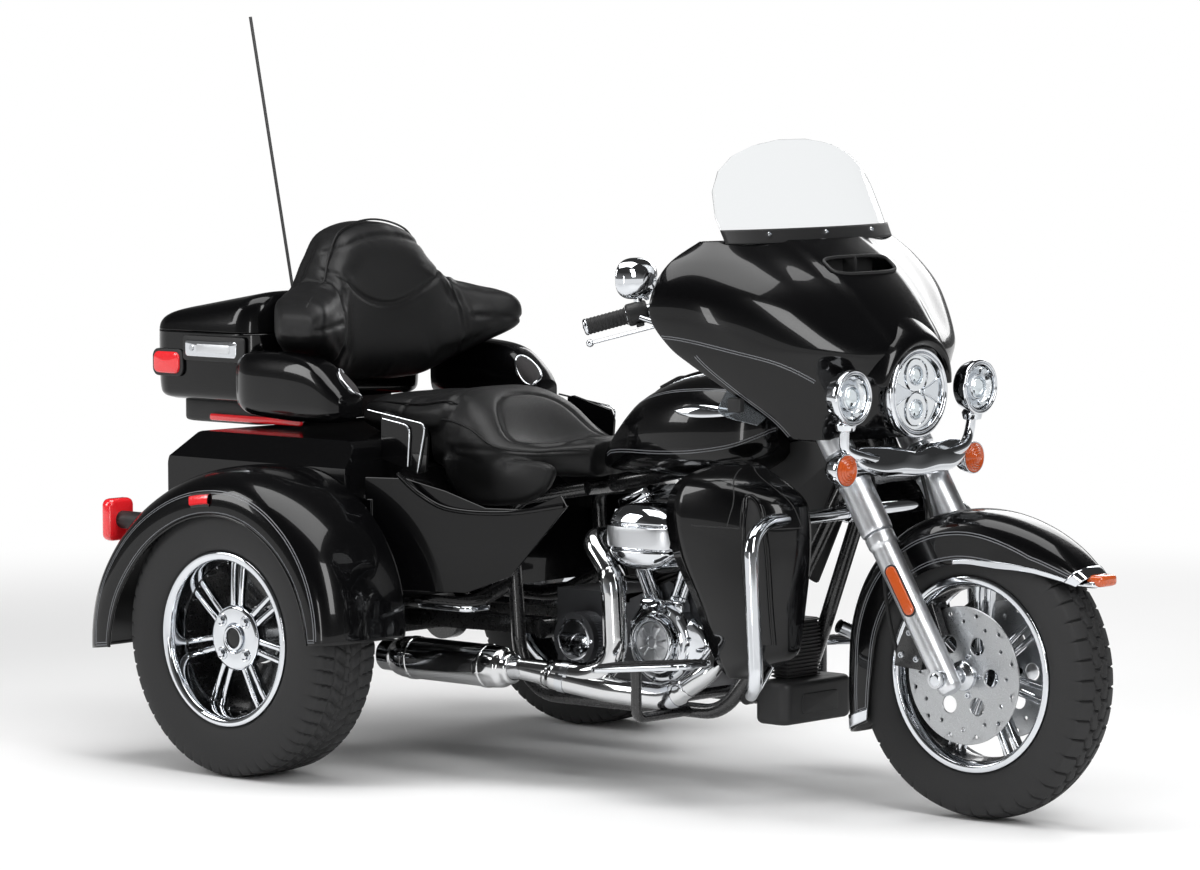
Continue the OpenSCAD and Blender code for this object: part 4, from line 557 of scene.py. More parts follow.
def make_materials(c):
    """Every finish of the vehicle, each from its real material."""
    # Sprayed enamel under a clear coat: deep black, mirror gloss, a faint orange peel
    surface(
        "gloss_enamel", "body_paint", tuple(c.paint), 4.0, (0.18, 0.26), 0.004,
        Specular_IOR_Level=0.1, Coat_Weight=0.5, Coat_Roughness=0.03
    )
    # Electroplated chrome over polished steel: a clean mirror with faint haze
    surface("chrome_plate", "chrome", linear("#D9DCE0"), 45.0, (0.03, 0.09), Metallic=1.0)
    # Turned and polished alloy of the wheels: bright with a fine satin
    surface(
        "polished_alloy", "wheel_alloy", linear("#CDD0D4"), 12.0, (0.1, 0.2), 0.01, Metallic=1.0
    )
    # Brushed alloy of the fork: fine upright lines
    surface(
        "brushed_alloy", "fork_steel", linear("#DCDEE1"), 3.0, (0.3, 0.44), 0.01, Metallic=1.0,
        stretch=(1, 1, 0.06)
    )
    # Sand-cast alloy of crankcase and gearbox: grey with a grainy skin
    surface(
        "cast_alloy", "engine_alloy", linear("#505154"), 1.6, (0.42, 0.6), 0.06, 0.04, Metallic=1.0
    )
    # Wrinkle powder coat of the cylinders: soft black grain
    surface("powder_coat", "engine_black", linear("#1A1A1B"), 1.2, (0.5, 0.66), 0.05, 0.01)
    # Gloss black frame paint
    surface(
        "frame_enamel", "frame_paint", linear("#141415"), 5.0, (0.24, 0.34), 0.006,
        Coat_Weight=0.6, Coat_Roughness=0.08
    )
    # Moulded ABS trim: satin black with a fine spark-eroded grain
    surface("moulded_abs", "trim_black", linear("#121213"), 0.9, (0.46, 0.6), 0.03, 0.006)
    # Vulcanised rubber of grips and pads: dull, slightly dusty
    surface("moulded_rubber", "grip_rubber", linear("#161617"), 1.4, (0.62, 0.78), 0.03, 0.012)
    # Tyre rubber: dark, dull, a paler bloom
    surface("tyre_rubber", "tyre_rubber", linear("#171718"), 2.2, (0.62, 0.8), 0.05, 0.014)
    # Grained vinyl leather: cells about 2 mm across, drawn a little coarse to show
    surface(
        "grained_leather", "seat_leather", tuple(c.leather), 2.4, (0.52, 0.38), 0.11,
        pattern="CELLS", Specular_IOR_Level=0.35
    )
    # Ground steel of the brake discs
    surface("ground_steel", "disc_steel", linear("#B9BBBD"), 2.0, (0.24, 0.4), 0.02, Metallic=1.0)
    # Silver-grey paint of the pinstripes
    surface("silver_stripe", "body_paint", tuple(c.stripe), 2.0, (0.3, 0.4))
    # Red and amber moulded acrylic lenses: saturated, glossy, with ribs behind
    surface(
        "red_acrylic", "red_lens", tuple(c.red_lens), 6.0, (0.08, 0.16), 0.2, 0.03,
        Coat_Weight=1.0, Emission_Color=tuple(c.red_lens), Emission_Strength=0.12
    )
    # Its faint emission lights the signals and fender lamp as lamps, and is a painted glow on the
    # fork reflectors, which are no lamps
    surface(
        "amber_acrylic", "amber_lens", tuple(c.amber_lens), 6.0, (0.08, 0.16), 0.2, 0.03,
        Coat_Weight=0.6, Emission_Color=tuple(c.amber_lens), Emission_Strength=0.05
    )
    # Clear hard-coated polycarbonate of the screen and lamp lenses
    surface(
        "clear_polycarbonate", "screen_clear", linear("#F2F4F5"), 60.0, (0.0, 0.02),
        Transmission_Weight=1.0, IOR=1.12
    )
    # Smoked polycarbonate of the wind deflectors
    surface(
        "smoked_polycarbonate", "screen_clear", linear("#8F9498"), 60.0, (0.02, 0.05),
        Transmission_Weight=0.85, IOR=1.1
    )
    # Vacuum-coated reflector inside the lamps
    surface("lamp_reflector", "chrome", linear("#E8EAEC"), 7.0, (0.06, 0.16), 0.1, Metallic=1.0)
    # Silvered mirror glass
    surface("mirror_glass", "chrome", linear("#DDE3E6"), 80.0, (0.0, 0.02), Metallic=1.0)
    # Woven speaker cloth: dull dark grey cells
    surface(
        "speaker_cloth", "trim_black", linear("#262324"), 1.6, (0.8, 0.9), 0.2, 0.02,
        pattern="CELLS"
    )
    # Chrome of the exhaust: a broader haze than on the trim
    surface("exhaust_chrome", "chrome", linear("#D2D3D4"), 60.0, (0.05, 0.13), Metallic=1.0)
    # Dark printed dial faces and their pale needles
    surface("dial_face", "trim_black", linear("#30343A"), 3.0, (0.4, 0.5))
    surface("dial_mark", "chrome", linear("#E6E6E2"), 3.0, (0.4, 0.5))


# Finish of each CAD node that stays in sight
NODE_FINISH = {
    "frame_paint": "frame_enamel",
    "engine_alloy": "cast_alloy",
    "engine_black": "powder_coat",
    "chrome": "chrome_plate",
    "body_paint": "gloss_enamel",
    "trim_black": "moulded_abs",
    "seat_leather": "grained_leather",
    "red_lens": "red_acrylic",
    "amber_lens": "amber_acrylic",
    "fork_steel": "brushed_alloy",
    "screen_clear": "clear_polycarbonate",
    "grip_rubber": "moulded_rubber",
    "wheel_alloy": "polished_alloy",
    "tyre_rubber": "tyre_rubber",
    "disc_steel": "ground_steel",
}


# Sizes and colours that a user would change


def length(name, description, default):
    """A length in metres."""
    return FloatProperty(name=name, description=description, default=default, unit="LENGTH")


def colour(name, description, code):
    """A colour given by its sRGB hex code."""
    return FloatVectorProperty(
        name=name, description=description, subtype="COLOR", size=4, default=linear(code)
    )


class TrikeSizes(PropertyGroup):
    """Lengths of the dressing, in metres."""

    stripe_w: length("Pinstripe width", "Width of each fine stripe", 0.0022)
    seam_w: length("Seam width", "Width of the seat seams", 0.005)
    tread_depth: length("Tread depth", "Depth of the tyre grooves", 0.006)
    front_blocks: IntProperty(
        name="Front tread blocks", description="Blocks round the front tyre", default=44
    )
    rear_blocks: IntProperty(
        name="Rear tread blocks", description="Blocks round each rear tyre", default=60
    )
    spoke_pairs: IntProperty(
        name="Spoke pairs", description="Twin spokes in each wheel", default=7
    )
    lens: FloatProperty(
        name="Lens", description="Focal length of the camera in mm", default=152.82
    )


class TrikeColours(PropertyGroup):
    """Colours of the dressing, in linear light."""

    paint: colour("Paint", "Body enamel", "#070708")
    stripe: colour("Stripe", "Pinstripes", "#6A6C70")
    leather: colour("Leather", "Seat cover", "#0E0E0F")
    red_lens: colour("Red lens", "Tail lamps", "#E3101C")
    amber_lens: colour("Amber lens", "Turn signals", "#B84A06")
    floor: colour("Floor", "Studio floor", "#F4F4F4")


# Finish of the CAD nodes


class TRIKE_OT_finish(Operator):
    """Materials, and the finish of every CAD node from its slot in the record"""

    bl_idname = "trike.finish"
    bl_label = "Finish"

    def execute(self, context):
        make_materials(context.scene.trike_colours)
        for part in frame["record"]["subparts"]:
            obj = frame["nodes"][part["node"]]
            obj.data.materials.clear()
            obj.data.materials.append(MATERIALS[NODE_FINISH[part["material_slot"]]])
            weld = obj.modifiers.new("Weld", "WELD")
            weld.merge_threshold = CAD_WELD * MM
            bevelled(obj, CAD_EDGE, 1)
        return {"FINISHED"}


# Wheels


# Radius, width, rim radius, bead, tread half width and crown of the two kinds of tyre
FRONT_TYRE = {
    "r": FRONT_AXLE[2], "w": 130.0, "rim": 203.0, "bead": 46.8, "tread": 52.0, "crown": 12.7
}
REAR_TYRE = {"r": REAR_AXLE_Z, "w": 200.0, "rim": 190.5, "bead": 84.0, "tread": 80.0, "crown": 4.5}
RIM_LIP = 11.0
SPOKE_W = 15.0


def tyre_profile(t, n_side=7, n_tread=28):
    """Half an outline and its mirror image: two quarter ellipses for the side wall, then a
    parabola for the crown. Returns radius and place across."""
    low, top = t["rim"] + RIM_LIP + 0.3, t["r"] - t["crown"]
    mid = mix(low, t["r"], 0.48)
    w = np.linspace(0, np.pi / 2, n_side)
    side = np.concatenate(
        [
            [[t["rim"] + 1.0, t["bead"] - 1.5]],
            np.stack([mix(mid, low, np.cos(w)), mix(t["bead"], t["w"] / 2, np.sin(w))], -1),
            np.stack(
                [mix(mid, top, np.sin(w[1:])), mix(t["tread"], t["w"] / 2, np.cos(w[1:]))], -1
            ),
        ]
    )
    k = np.linspace(1, -1, n_tread + 2)[1:-1]
    crown = np.stack([t["r"] - t["crown"] * k**2, t["tread"] * k], -1)
    p = np.concatenate([side, crown, side[::-1] * [1, -1]])
    return p[:, 0], p[:, 1]


def groove(distance, width):
    """Depth share of a groove: one inside its width, falling to zero just outside."""
    return 1 - step(width / 2, width / 2 + 1.4, distance)


def to_line(a, line, slope, pitch):
    """Distance in mm from places a, counted in blocks, to a wandering line once a block."""
    f = np.abs((a - line + 0.5) % 1 - 0.5) * pitch
    return f / np.sqrt(1 + slope**2)


def front_tread(a, s, tread, pitch):
    """Stepped cross grooves, each half a block out of step with the other side, and a
    zig-zag groove round the middle."""
    jog = 0.5 * step(0.34, 0.46, np.abs(s)) + 0.25 * np.sign(s)
    slope = np.where((np.abs(s) > 0.34) & (np.abs(s) < 0.46), 0.5 / 0.12 * pitch / tread, 0.0)
    cross = groove(to_line(a, jog, slope, pitch), 3.6) * (np.abs(s) > 0.1)
    zig = 0.1 * (4 * np.abs(a % 1 - 0.5) - 1)
    return np.maximum(cross, groove(np.abs(s - zig) * tread, 3.0))


def rear_tread(a, s, tread, pitch):
    """Two plain grooves round the tyre, slanted cuts between them and hooked cross cuts on
    the shoulders."""
    b = np.abs(s)
    slant = np.where(b < 0.52, 1.5 * b, 0.78 + 0.5 * (b - 0.52))
    slope = np.where(b < 0.52, 1.5, 0.5) * pitch / tread
    cross = groove(to_line(a, slant + 0.5 * (s > 0), slope, pitch), 3.0)
    rings = np.maximum(groove(np.abs(b - 0.52) * tread, 4.6), groove(np.abs(b - 0.1) * tread, 3.4))
    fine = groove(
        to_line(2 * a, 2 * slant + 0.5, 2 * slope, pitch), 1.4
    ) * ((b > 0.14) & (b < 0.48)) * 0.6
    return np.maximum(np.maximum(cross, rings), fine)


def tyre(t, tread_of, blocks, depth, cells):
    """The tyre's outline turned about the axle, with the tread's grooves cut into it and
    two fine ridges raised on each side wall."""
    r, y = tyre_profile(t)
    w = np.linspace(0, 2 * np.pi, cells * blocks, endpoint=False)
    a = w[None, :] * blocks / (2 * np.pi)
    s = y[:, None] / t["tread"]
    treads = step(t["r"] - t["crown"] - 26, t["r"] - t["crown"] - 10, r)[:, None]
    cut = tread_of(
        a, np.clip(s, -1.25, 1.25), t["tread"], 2 * np.pi * t["r"] / blocks
    ) * treads * depth
    wall = mix(t["rim"], t["r"], np.array([0.2, 0.62]))
    ridge = (
        (0.9 * np.exp(-(((r[:, None] - wall) / 2.2) ** 2))).sum(1)[:, None] * np.sign(y)[:, None]
        * (1 - treads)
    )
    R = r[:, None] - cut
    Y = np.broadcast_to(y[:, None], R.shape) + ridge * 0.8
    return grid(np.stack([R * np.cos(w), Y, R * np.sin(w)], -1), (True, True))


def spokes(pairs, r_in, r_out, y_in, y_out, thick):
    """Twin bars from hub to barrel: a rounded oblong carried outward, widening a little."""
    k = down(0, 1, 10)
    w = circle(16)
    half = mix(SPOKE_W * 0.5, SPOKE_W * 0.44, k) + 3 * (np.abs(k - 0.5) * 2) ** 6
    y = mix(y_in, y_out, k**1.6) - thick / 2
    x = np.broadcast_to(mix(r_in, r_out, k), (10, 16))
    bars = []
    for side in (-1, 1):
        z = side * mix(11.5, 16.0, k) + half * spow(np.cos(w), 0.6)
        bars.append(
            grid(np.stack([x, y + thick / 2 * spow(np.sin(w), 0.45), z], -1), (False, True))
        )
    turn = about_y(np.arange(pairs) * 2 * np.pi / pairs + 0.22)
    return [copies(bar, turn, np.zeros((pairs, 3))) for bar in bars]


def rim_profile(R, bead, face):
    """Barrel with a broad rolled lip on both edges, as radius and place across."""
    return rounded(
        [
            (R - 1, bead - 4), (R + RIM_LIP, bead - 1), (R + RIM_LIP, bead + 9),
            (R + 2, bead + 10), (R - 8, bead + 7),
            (R - 12, bead - 6), (R - 17, face + 4), (R - 17, face - 20), (R - 12, face - 34),
            (R - 12, -bead + 10),
            (R - 6, -bead - 9), (R + RIM_LIP, -bead - 9), (R + RIM_LIP, -bead + 1),
            (R - 1, -bead + 4), (R - 1, bead - 4),
        ],
        5, 4,
    )


def shade_lining_profile(R, face, inner):
    """Painted shade: a dark lining behind the spokes, just inside the chrome barrel, down to its
    inner end, where the wheel's inside lies in shade.
    """
    return [(R - 17.8, face - 1), (R - 17.8, face - 20), (R - 13, face - 34), (R - 13, inner)]


def wheel_at(part, centre, side=1):
    """The part set about an axle; side -1 turns its outer face to the vehicle's right."""
    V, q, t = part
    if side < 0:
        V, q, t = V * [1, -1, 1], q[:, ::-1], t[:, ::-1]
    return V + centre, q, t


class TRIKE_OT_wheels(Operator):
    """Tyres with road tread, twin-spoke wheels and hubs"""

    bl_idname = "trike.wheels"
    bl_label = "Wheels"

    def execute(self, context):
        size = context.scene.trike_sizes
        depth = size.tread_depth / MM
        front = tyre(FRONT_TYRE, front_tread, size.front_blocks, depth, 12)
        put(
            "FrontTyre", moved(front, FRONT_AXLE), "tyre_rubber", "front_wheel", "front_tyre",
            sharp=50
        )
        rear = tyre(REAR_TYRE, rear_tread, size.rear_blocks, depth, 9)
        for side, name in ((1, "left"), (-1, "right")):
            body = f"rear_wheel_{name}"
            at = np.array([0, side * HALF_TRACK, REAR_AXLE_Z])
            put(
                f"RearTyre.{name}", wheel_at(rear, at, side), "tyre_rubber", body,
                f"rear_tyre_{name}", sharp=50
            )
            self.rear_wheel(size, name, side, body, at)
        self.front_wheel(size)
        return {"FINISHED"}

    def rear_wheel(self, size, name, side, body, at):
        """Dished wheel: barrel, spokes, hub disc with four nuts and a plain cap."""
        t, face = REAR_TYRE, 46.0
        barrel = turned(rim_profile(t["rim"], t["bead"], face), (0, 0, 0), sides=96)
        bars = spokes(size.spoke_pairs, 60, t["rim"] - 14, face + 4, face - 4, 20)
        hub = spun(
            [
                (0.1, -60), (62, -60), (66, 20), (76, 34), (76, 52), (70, 57), (34, 57), (32, 50),
                (0.1, 50)
            ],
            4,
            (0, 0, 0),
            sides=96,
        )
        put(
            f"RearRim.{name}", [wheel_at(p, at, side) for p in [barrel] + bars + [hub]],
            "chrome_plate", body, f"rear_rim_{name}"
        )
        ring = spun([(30, 49), (30, 62), (24, 63), (22, 59), (22, 49)], 2, (0, 0, 0), sides=48)
        turn = np.arange(4) * np.pi / 2 + np.pi / 4
        spots = round_places(np.array([0, 57.0, 0]), 54, turn)
        cup = spun([(15, -1), (15, 2.5), (12, 3), (11, -3)], 1, (0, 0, 0), sides=24)
        nut = turned([(9.5, -3), (9.5, 7), (7, 9.5), (0.1, 9.5)], (0, 0, 0), sides=6)
        eye = np.repeat(np.eye(3)[None], 4, 0)
        parts = [ring, copies(cup, eye, spots), copies(nut, eye, spots)]
        put(f"RearHubTrim.{name}", [wheel_at(p, at, side) for p in parts], "chrome_plate", body)
        # Painted shade: a black lining inside the barrel and a black disc behind the spokes darken
        # the wheel's inside
        well = shade_lining_profile(t["rim"], face, -30) + [(66, -30)]
        put(
            f"RearShadeLinings.{name}", wheel_at(turned(well, (0, 0, 0), sides=96), at, side),
            "frame_enamel", body
        )
        cap = spun([(22, 48), (22, 57), (18, 59), (8, 60), (0.1, 60)], 2, (0, 0, 0), sides=48)
        put(f"RearHubCap.{name}", wheel_at(cap, at, side), "moulded_abs", body)
        turns = np.linspace(0, 2 * np.pi, 28, endpoint=False)
        tick = block((t["rim"] - 21, face - 30, -1.6), (t["rim"] - 16, face - 8, 1.6), 0.4, 6)
        put(
            f"RearRimTicks.{name}",
            wheel_at(copies(tick, about_y(turns), np.zeros((28, 3))), at, side), "chrome_plate",
            body
        )

    def front_wheel(self, size):
        """Wheel between two drilled discs, with a ribbed hub and bolted carriers."""
        t, face = FRONT_TYRE, 13.0
        barrel = turned(rim_profile(t["rim"], t["bead"], face), FRONT_AXLE, sides=96)
        bars = [
            moved(p, FRONT_AXLE)
            for p in spokes(size.spoke_pairs, 34, t["rim"] - 14, face, face, 24)
        ]
        hub = spun(
            [
                (13, -69.8), (40, -69.8), (43, -60), (36, -40), (46, -20), (46, 20), (36, 40),
                (43, 60), (40, 69.8), (13, 69.8)
            ],
            6,
            FRONT_AXLE,
            sides=72,
        )
        put("FrontRim", [barrel] + bars + [hub], "chrome_plate", "front_wheel", "front_rim")
        # Painted shade: a black sleeve inside the chrome barrel darkens the wheel's inside behind
        # the spokes
        well = shade_lining_profile(t["rim"], face, 12 - t["bead"])
        put("FrontShadeLining", turned(well, FRONT_AXLE, sides=96), "frame_enamel", "front_wheel")
        turn = np.arange(5) * 2 * np.pi / 5
        parts = []
        for s in (-1, 1):
            spots = round_places(FRONT_AXLE + [0, s * 75.0, 0], 44, turn)
            parts.append(bolts(spots, (0, s, 0), 7, 5))
            dome = rounded([(34, 75), (33, 82), (26, 86), (20, 92), (15, 93), (13, 93)], 3)
            parts.append(turned(dome * [1, s], FRONT_AXLE, sides=48))
        put("FrontHubTrim", parts, "polished_alloy", "front_wheel")


# Front end


HEAD = np.array([WHEELBASE - 300.8, 0, 830.0])
STEER_UP, STEER_FORE = leaning(np.radians(26))
FORK_UP, FORK_FORE = leaning(np.radians(32))
FORK_HALF = 135.0
LAMP_Z, LAMP_R, LAMP_FACE = 915.0, 100.0, WHEELBASE - 178
NOSE = WHEELBASE - 170
# Depth, half width, chin height and height of the fairing; height and lean of its screen
FAIRING_DEEP, FAIRING_HALF, FAIRING_Z, FAIRING_H = 420, 435, 815, 430
SCREEN_H, SCREEN_LEAN = 216, 100
# Height, half width and half height of the vent's slot
VENT_Z, VENT_HALF, VENT_H = 1188, 108, 17
# Crown radius, half width, skirt depth and shoulder of the front fender
FENDER_R, FENDER_HALF, FENDER_SKIRT, FENDER_SHOULDER = 355, 80, 110, 62
# Places across of the passing lamps and signals, and half width of the inner panel
PASSING_Y, SIGNAL_Y, INNER_HALF = 220, 222, 420
# Height, nose, half width and rear edge as shares, and the sharpness of the nose
FAIRING = [
    [0, 0.143, 0.494, 0.476, 1.3], [0.105, 0.076, 0.575, 0.548, 1.4],
    [0.244, 0.048, 0.724, 0.679, 1.45], [0.384, 0.019, 0.862, 0.821, 1.4],
    [0.477, 0.024, 0.93, 0.91, 1.3], [0.616, 0.143, 0.985, 0.985, 1.1],
    [0.756, 0.286, 0.975, 0.98, 1], [0.895, 0.47, 0.88, 0.95, 0.95], [1, 0.65, 0.72, 0.885, 0.9],
]
# Angle, crown radius share, width share and skirt share along the front fender
FENDER = [
    [37, 1.075, 0.55, 0.3], [50, 1.045, 0.84, 0.62], [70, 1.01, 1, 0.95], [95, 1, 1, 1.04],
    [120, 1, 1, 1.04], [140, 0.995, 1, 1], [160, 0.975, 1, 0.92], [180, 0.96, 1, 0.84],
    [195, 0.995, 0.98, 0.78], [205, 1.05, 0.95, 0.74],
]


def front_fender(k, v):
    """Fender skin: a round crown and straight skirts, carried about the axle; k runs from
    the tip to the tail and v from skirt to skirt."""
    row = at_rows(FENDER, k)
    a, rc, hw = np.radians(row[..., 0]), row[..., 1] * FENDER_R, row[..., 2] * FENDER_HALF
    low = rc - row[..., 3] * FENDER_SKIRT
    rs = np.maximum(mix(low, rc, 0.25), rc - FENDER_SHOULDER)
    w = np.clip(v / 0.72, -1, 1) * np.pi / 2
    t = np.clip((np.abs(v) - 0.72) / 0.28, 0, 1)
    y = hw * spow(np.sin(w), 0.72)
    r = np.where(t > 0, mix(rs, low, t), rs + (rc - rs) * np.maximum(np.cos(w), 0) ** 0.72)
    return FRONT_AXLE + np.stack([r * np.cos(a), y, r * np.sin(a)], -1)


def fairing(k, w):
    """Fairing skin: level outlines from wing to wing, with a raised spine down to the lamp
    and a hollow on each side of it; k runs from chin to crown, w is the angle off the nose."""
    row = at_rows(FAIRING, k)
    front, back = NOSE - row[..., 1] * FAIRING_DEEP, NOSE - row[..., 3] * FAIRING_DEEP
    y, z = row[..., 2] * FAIRING_HALF * np.sin(w), FAIRING_Z + FAIRING_H * row[..., 0]
    u = back + (front - back) * np.maximum(np.cos(w), 1e-6) ** row[..., 4]
    high = step(985, 1060, z)
    half = mix(88.0, 132.0, step(1000, 1230, z))
    spine = (
        9 * (1 - step(half * 0.8, half * 1.12, np.abs(y)))
        - 8 * np.exp(-(((np.abs(y) - half * 1.7) / 52) ** 2))
    )
    return np.stack([u + spine * high, y, z], -1)


def windshield(s, k):
    """Screen that rises from the fairing's top outline, leaning back by a share of height s,
    narrowed towards its top; k runs across it."""
    table = np.array(
        [[0, 1], [0.25, 1.01], [0.5, 0.97], [0.7, 0.87], [0.85, 0.7], [0.95, 0.46], [1, 0.16]]
    )
    half = np.interp(s, table[:, 0], table[:, 1])
    w = np.arcsin(np.clip(k * half * 0.9, -1, 1))
    row = np.array(FAIRING[-1])
    front, back = NOSE - row[1] * FAIRING_DEEP, NOSE - row[3] * FAIRING_DEEP
    u = back + (front - back) * np.cos(w) ** row[4] - SCREEN_LEAN * s
    z = FAIRING_Z + FAIRING_H + SCREEN_H * s + 0 * w
    return np.stack([u, row[2] * FAIRING_HALF * np.sin(w), z], -1)


def lamp_shell(r, face, depth, y, z):
    """Deep bright bucket with a rolled double rim, turned about its own axis."""
    p = rounded(
        [
            (0.1, -depth), (r * 0.55, -depth), (r * 0.86, -depth * 0.72),
            (r, -r * 0.2), (r, -r * 0.05), (r * 0.95, 0), (r * 0.9, -r * 0.02),
            (r * 0.885, -r * 0.07), (r * 0.86, -r * 0.01),
            (r * 0.82, -r * 0.03), (r * 0.8, -r * 0.14),
        ],
        r * 0.08,
    )
    return turned(p, (face, y, z), "x", 56)


def lens(r, face, bulge, y, z):
    """Domed cover glass, a parabola of revolution."""
    k = np.linspace(0.001, 1, 16)
    return turned(np.stack([r * k, bulge * (1 - k**2)], -1), (face, y, z), "x", 64)


def projector(r, face, y, z, depth):
    """Bowl reflector with a glass ball lens in a ring at its middle."""
    k = np.linspace(0.02, 1, 18)
    bowl = turned(np.stack([r * k, depth * (k**2 - 1)], -1), (face, y, z), "x", 48)
    ring = spun(
        [(r * 0.62, -depth), (r * 0.62, -2), (r * 0.52, 2), (r * 0.46, -6)], 2, (face, y, z), "x",
        40
    )
    w = np.linspace(0.001, np.pi / 2, 12)
    ball = turned(
        np.stack([r * 0.48 * np.sin(w), r * 0.26 * np.cos(w) - 6], -1), (face, y, z), "x", 40
    )
    return bowl, ring, ball


def projectors(name, lamps):
    """Bowls, rings and ball lenses of a lamp's projectors, each kind as one piece."""
    kinds = ("Bowls", "lamp_reflector"), ("Rings", "chrome_plate"), ("Balls", "mirror_glass")
    for (kind, material), parts in zip(kinds, zip(*lamps)):
        put(name + kind, list(parts), material, "steering")


class TRIKE_OT_fork(Operator):
    """Fork sliders, covers, reflectors, brake details and the front fender with its stripes"""

    bl_idname = "trike.fork"
    bl_label = "Fork and fender"

    def execute(self, context):
        size = context.scene.trike_sizes
        self.legs()
        self.fender(size)
        return {"FINISHED"}

    def legs(self):
        """Stepped slider turned about the leg's axis, with a wider cover over its upper half."""
        slider = lathe(
            [
                (0.1, -34), (20, -34), (27, -22), (27.5, 26), (29, 60), (29, 318), (33, 326),
                (33, 350), (25, 352), (24, 356)
            ],
            4, 48
        )
        cover = lathe(
            [(25, 353), (35, 354), (36, 362), (36, 468), (38, 474), (38, 480), (25, 482)], 3, 48
        )
        upper = lathe([(25, 548), (36, 549), (36, 640), (25, 641)], 3, 48)
        stanchion = turned([(24, 350), (24, 758), (20, 760), (0.1, 760)], (0, 0, 0), "z", 40)
        places = [FRONT_AXLE + [0, s * FORK_HALF, 0] for s in (-1, 1)]
        put(
            "ForkLegs", [along(slider, FORK_UP, p) for p in places], "brushed_alloy", "steering",
            "fork_legs"
        )
        put(
            "ForkCovers", [along(q, FORK_UP, p) for p in places for q in (cover, upper)],
            "brushed_alloy", "steering"
        )
        put(
            "ForkTubes", [along(stanchion, FORK_UP, p) for p in places], "chrome_plate", "steering"
        )
        rings, lamps, caps = [], [], []
        for s, p in zip((-1, 1), places):
            out = np.array([0, s, 0.0])
            way = unit(FORK_FORE * 0.35 + out)
            flank = np.cross(way, FORK_UP)
            spot = p + 210 * FORK_UP + 27.5 * way
            face = plane(spot, FORK_UP, flank, way)
            lamps.append(slab(round_rect((-58, -12), (58, 12), 11.5), 8, 3, face))
            rings.append(slab(round_rect((-62, -15), (62, 15), 14.5), 5, 2, face))
            caps.append(
                turned(
                    rounded([(0.1, 14), (11, 14), (18, 10), (20, 0), (20, -8)], 3) * [1, s],
                    p + out * 27, "y", 40
                )
            )
        # Painted glow: the amber lens's faint emission makes these reflectors, which are no lamps,
        # glow
        put("ForkReflectors", lamps, "amber_acrylic", "steering")
        put("ForkReflectorFrames", rings, "moulded_abs", "steering")
        put("AxleCaps", caps, "chrome_plate", "steering")
        spots, line = [], []
        for s in (-1, 1):
            for r, at in ((150, [122, 145, 166]), (108, [124, 164])):
                spots += list(round_places(FRONT_AXLE + [0, s * 105.5, 0], r, np.radians(at)))
            a = np.radians(np.linspace(176, 215, 12))
            hose = np.stack(
                [150 * np.cos(a) - 4, np.full(12, s * 96.0), 150 * np.sin(a)], -1
            ) + FRONT_AXLE
            rise = FRONT_AXLE + np.array(
                [
                    hose[0] - FRONT_AXLE, [-185, s * 104, 130], [-215, s * 92, 300],
                    [-246, s * 84, 425]
                ]
            )
            line.append(tube(rows(rise, 40), 4.5, (0, 1, 0.2), 10))
        put(
            "CaliperBolts",
            [bolts(spots[:5], (0, -1, 0), 8, 5), bolts(spots[5:], (0, 1, 0), 8, 5)],
            "polished_alloy", "steering"
        )
        put("BrakeHoses", line, "moulded_rubber", "steering")

    def fender(self, size):
        """The fender's skin, its bright edge strip and tip, tail plate and pinstripes."""
        k, v = down(0, 1, 90), over(-1, 1, 57)
        skin = grid(spread(front_fender, k, v))
        put("FrontFender", skin, "gloss_enamel", "steering", "front_fender", wall=3.0, bevel=0.6)
        ws = size.stripe_w / MM
        trim, line = [], []
        for s in (-1, 1):
            t = down(0.015, 0.34, 60)
            edge = over(0, 1, 9)
            wide = 0.24 * (1 - step(0.0, 1.0, (t - 0.015) / 0.34) ** 0.6) + 0.045
            trim.append(band(front_fender, t, s * (1 - wide * edge), FRONT_AXLE, 1.6))
            for inset, a, b in ((0.075, 0.2, 0.97), (0.34, 0.03, 0.93)):
                q = np.linspace(a, b, 100)
                line += stripes(front_fender, q, s * (1 - inset), FRONT_AXLE, ws)
            q = np.linspace(0.66, 0.925, 30)
            line += stripes(front_fender, 0.93, s * q, FRONT_AXLE, ws)
        tip = down(0.0, 0.045, 8)
        trim.append(band(front_fender, tip, over(-1, 1, 61), FRONT_AXLE, 2.2))
        tail = down(0.93, 0.985, 8)
        trim.append(band(front_fender, tail, over(-0.98, 0.98, 61), FRONT_AXLE, 1.6))
        put("FrontFenderTrim", trim, "chrome_plate", "steering", wall=1.2, offset=1.0)
        put("FrontFenderStripes", line, "silver_stripe", "steering")
        low, high = local_box("fender_lamp")
        lamp = block(low + [6, 0, 0], high, 0.5, 20)
        put("FenderLamp", lamp, "amber_acrylic", "steering", "fender_lamp")
        base = block(low + [-26, -5, -3], high - [12, -5, 12], 0.5, 20)
        put("FenderLampBase", base, "chrome_plate", "steering")


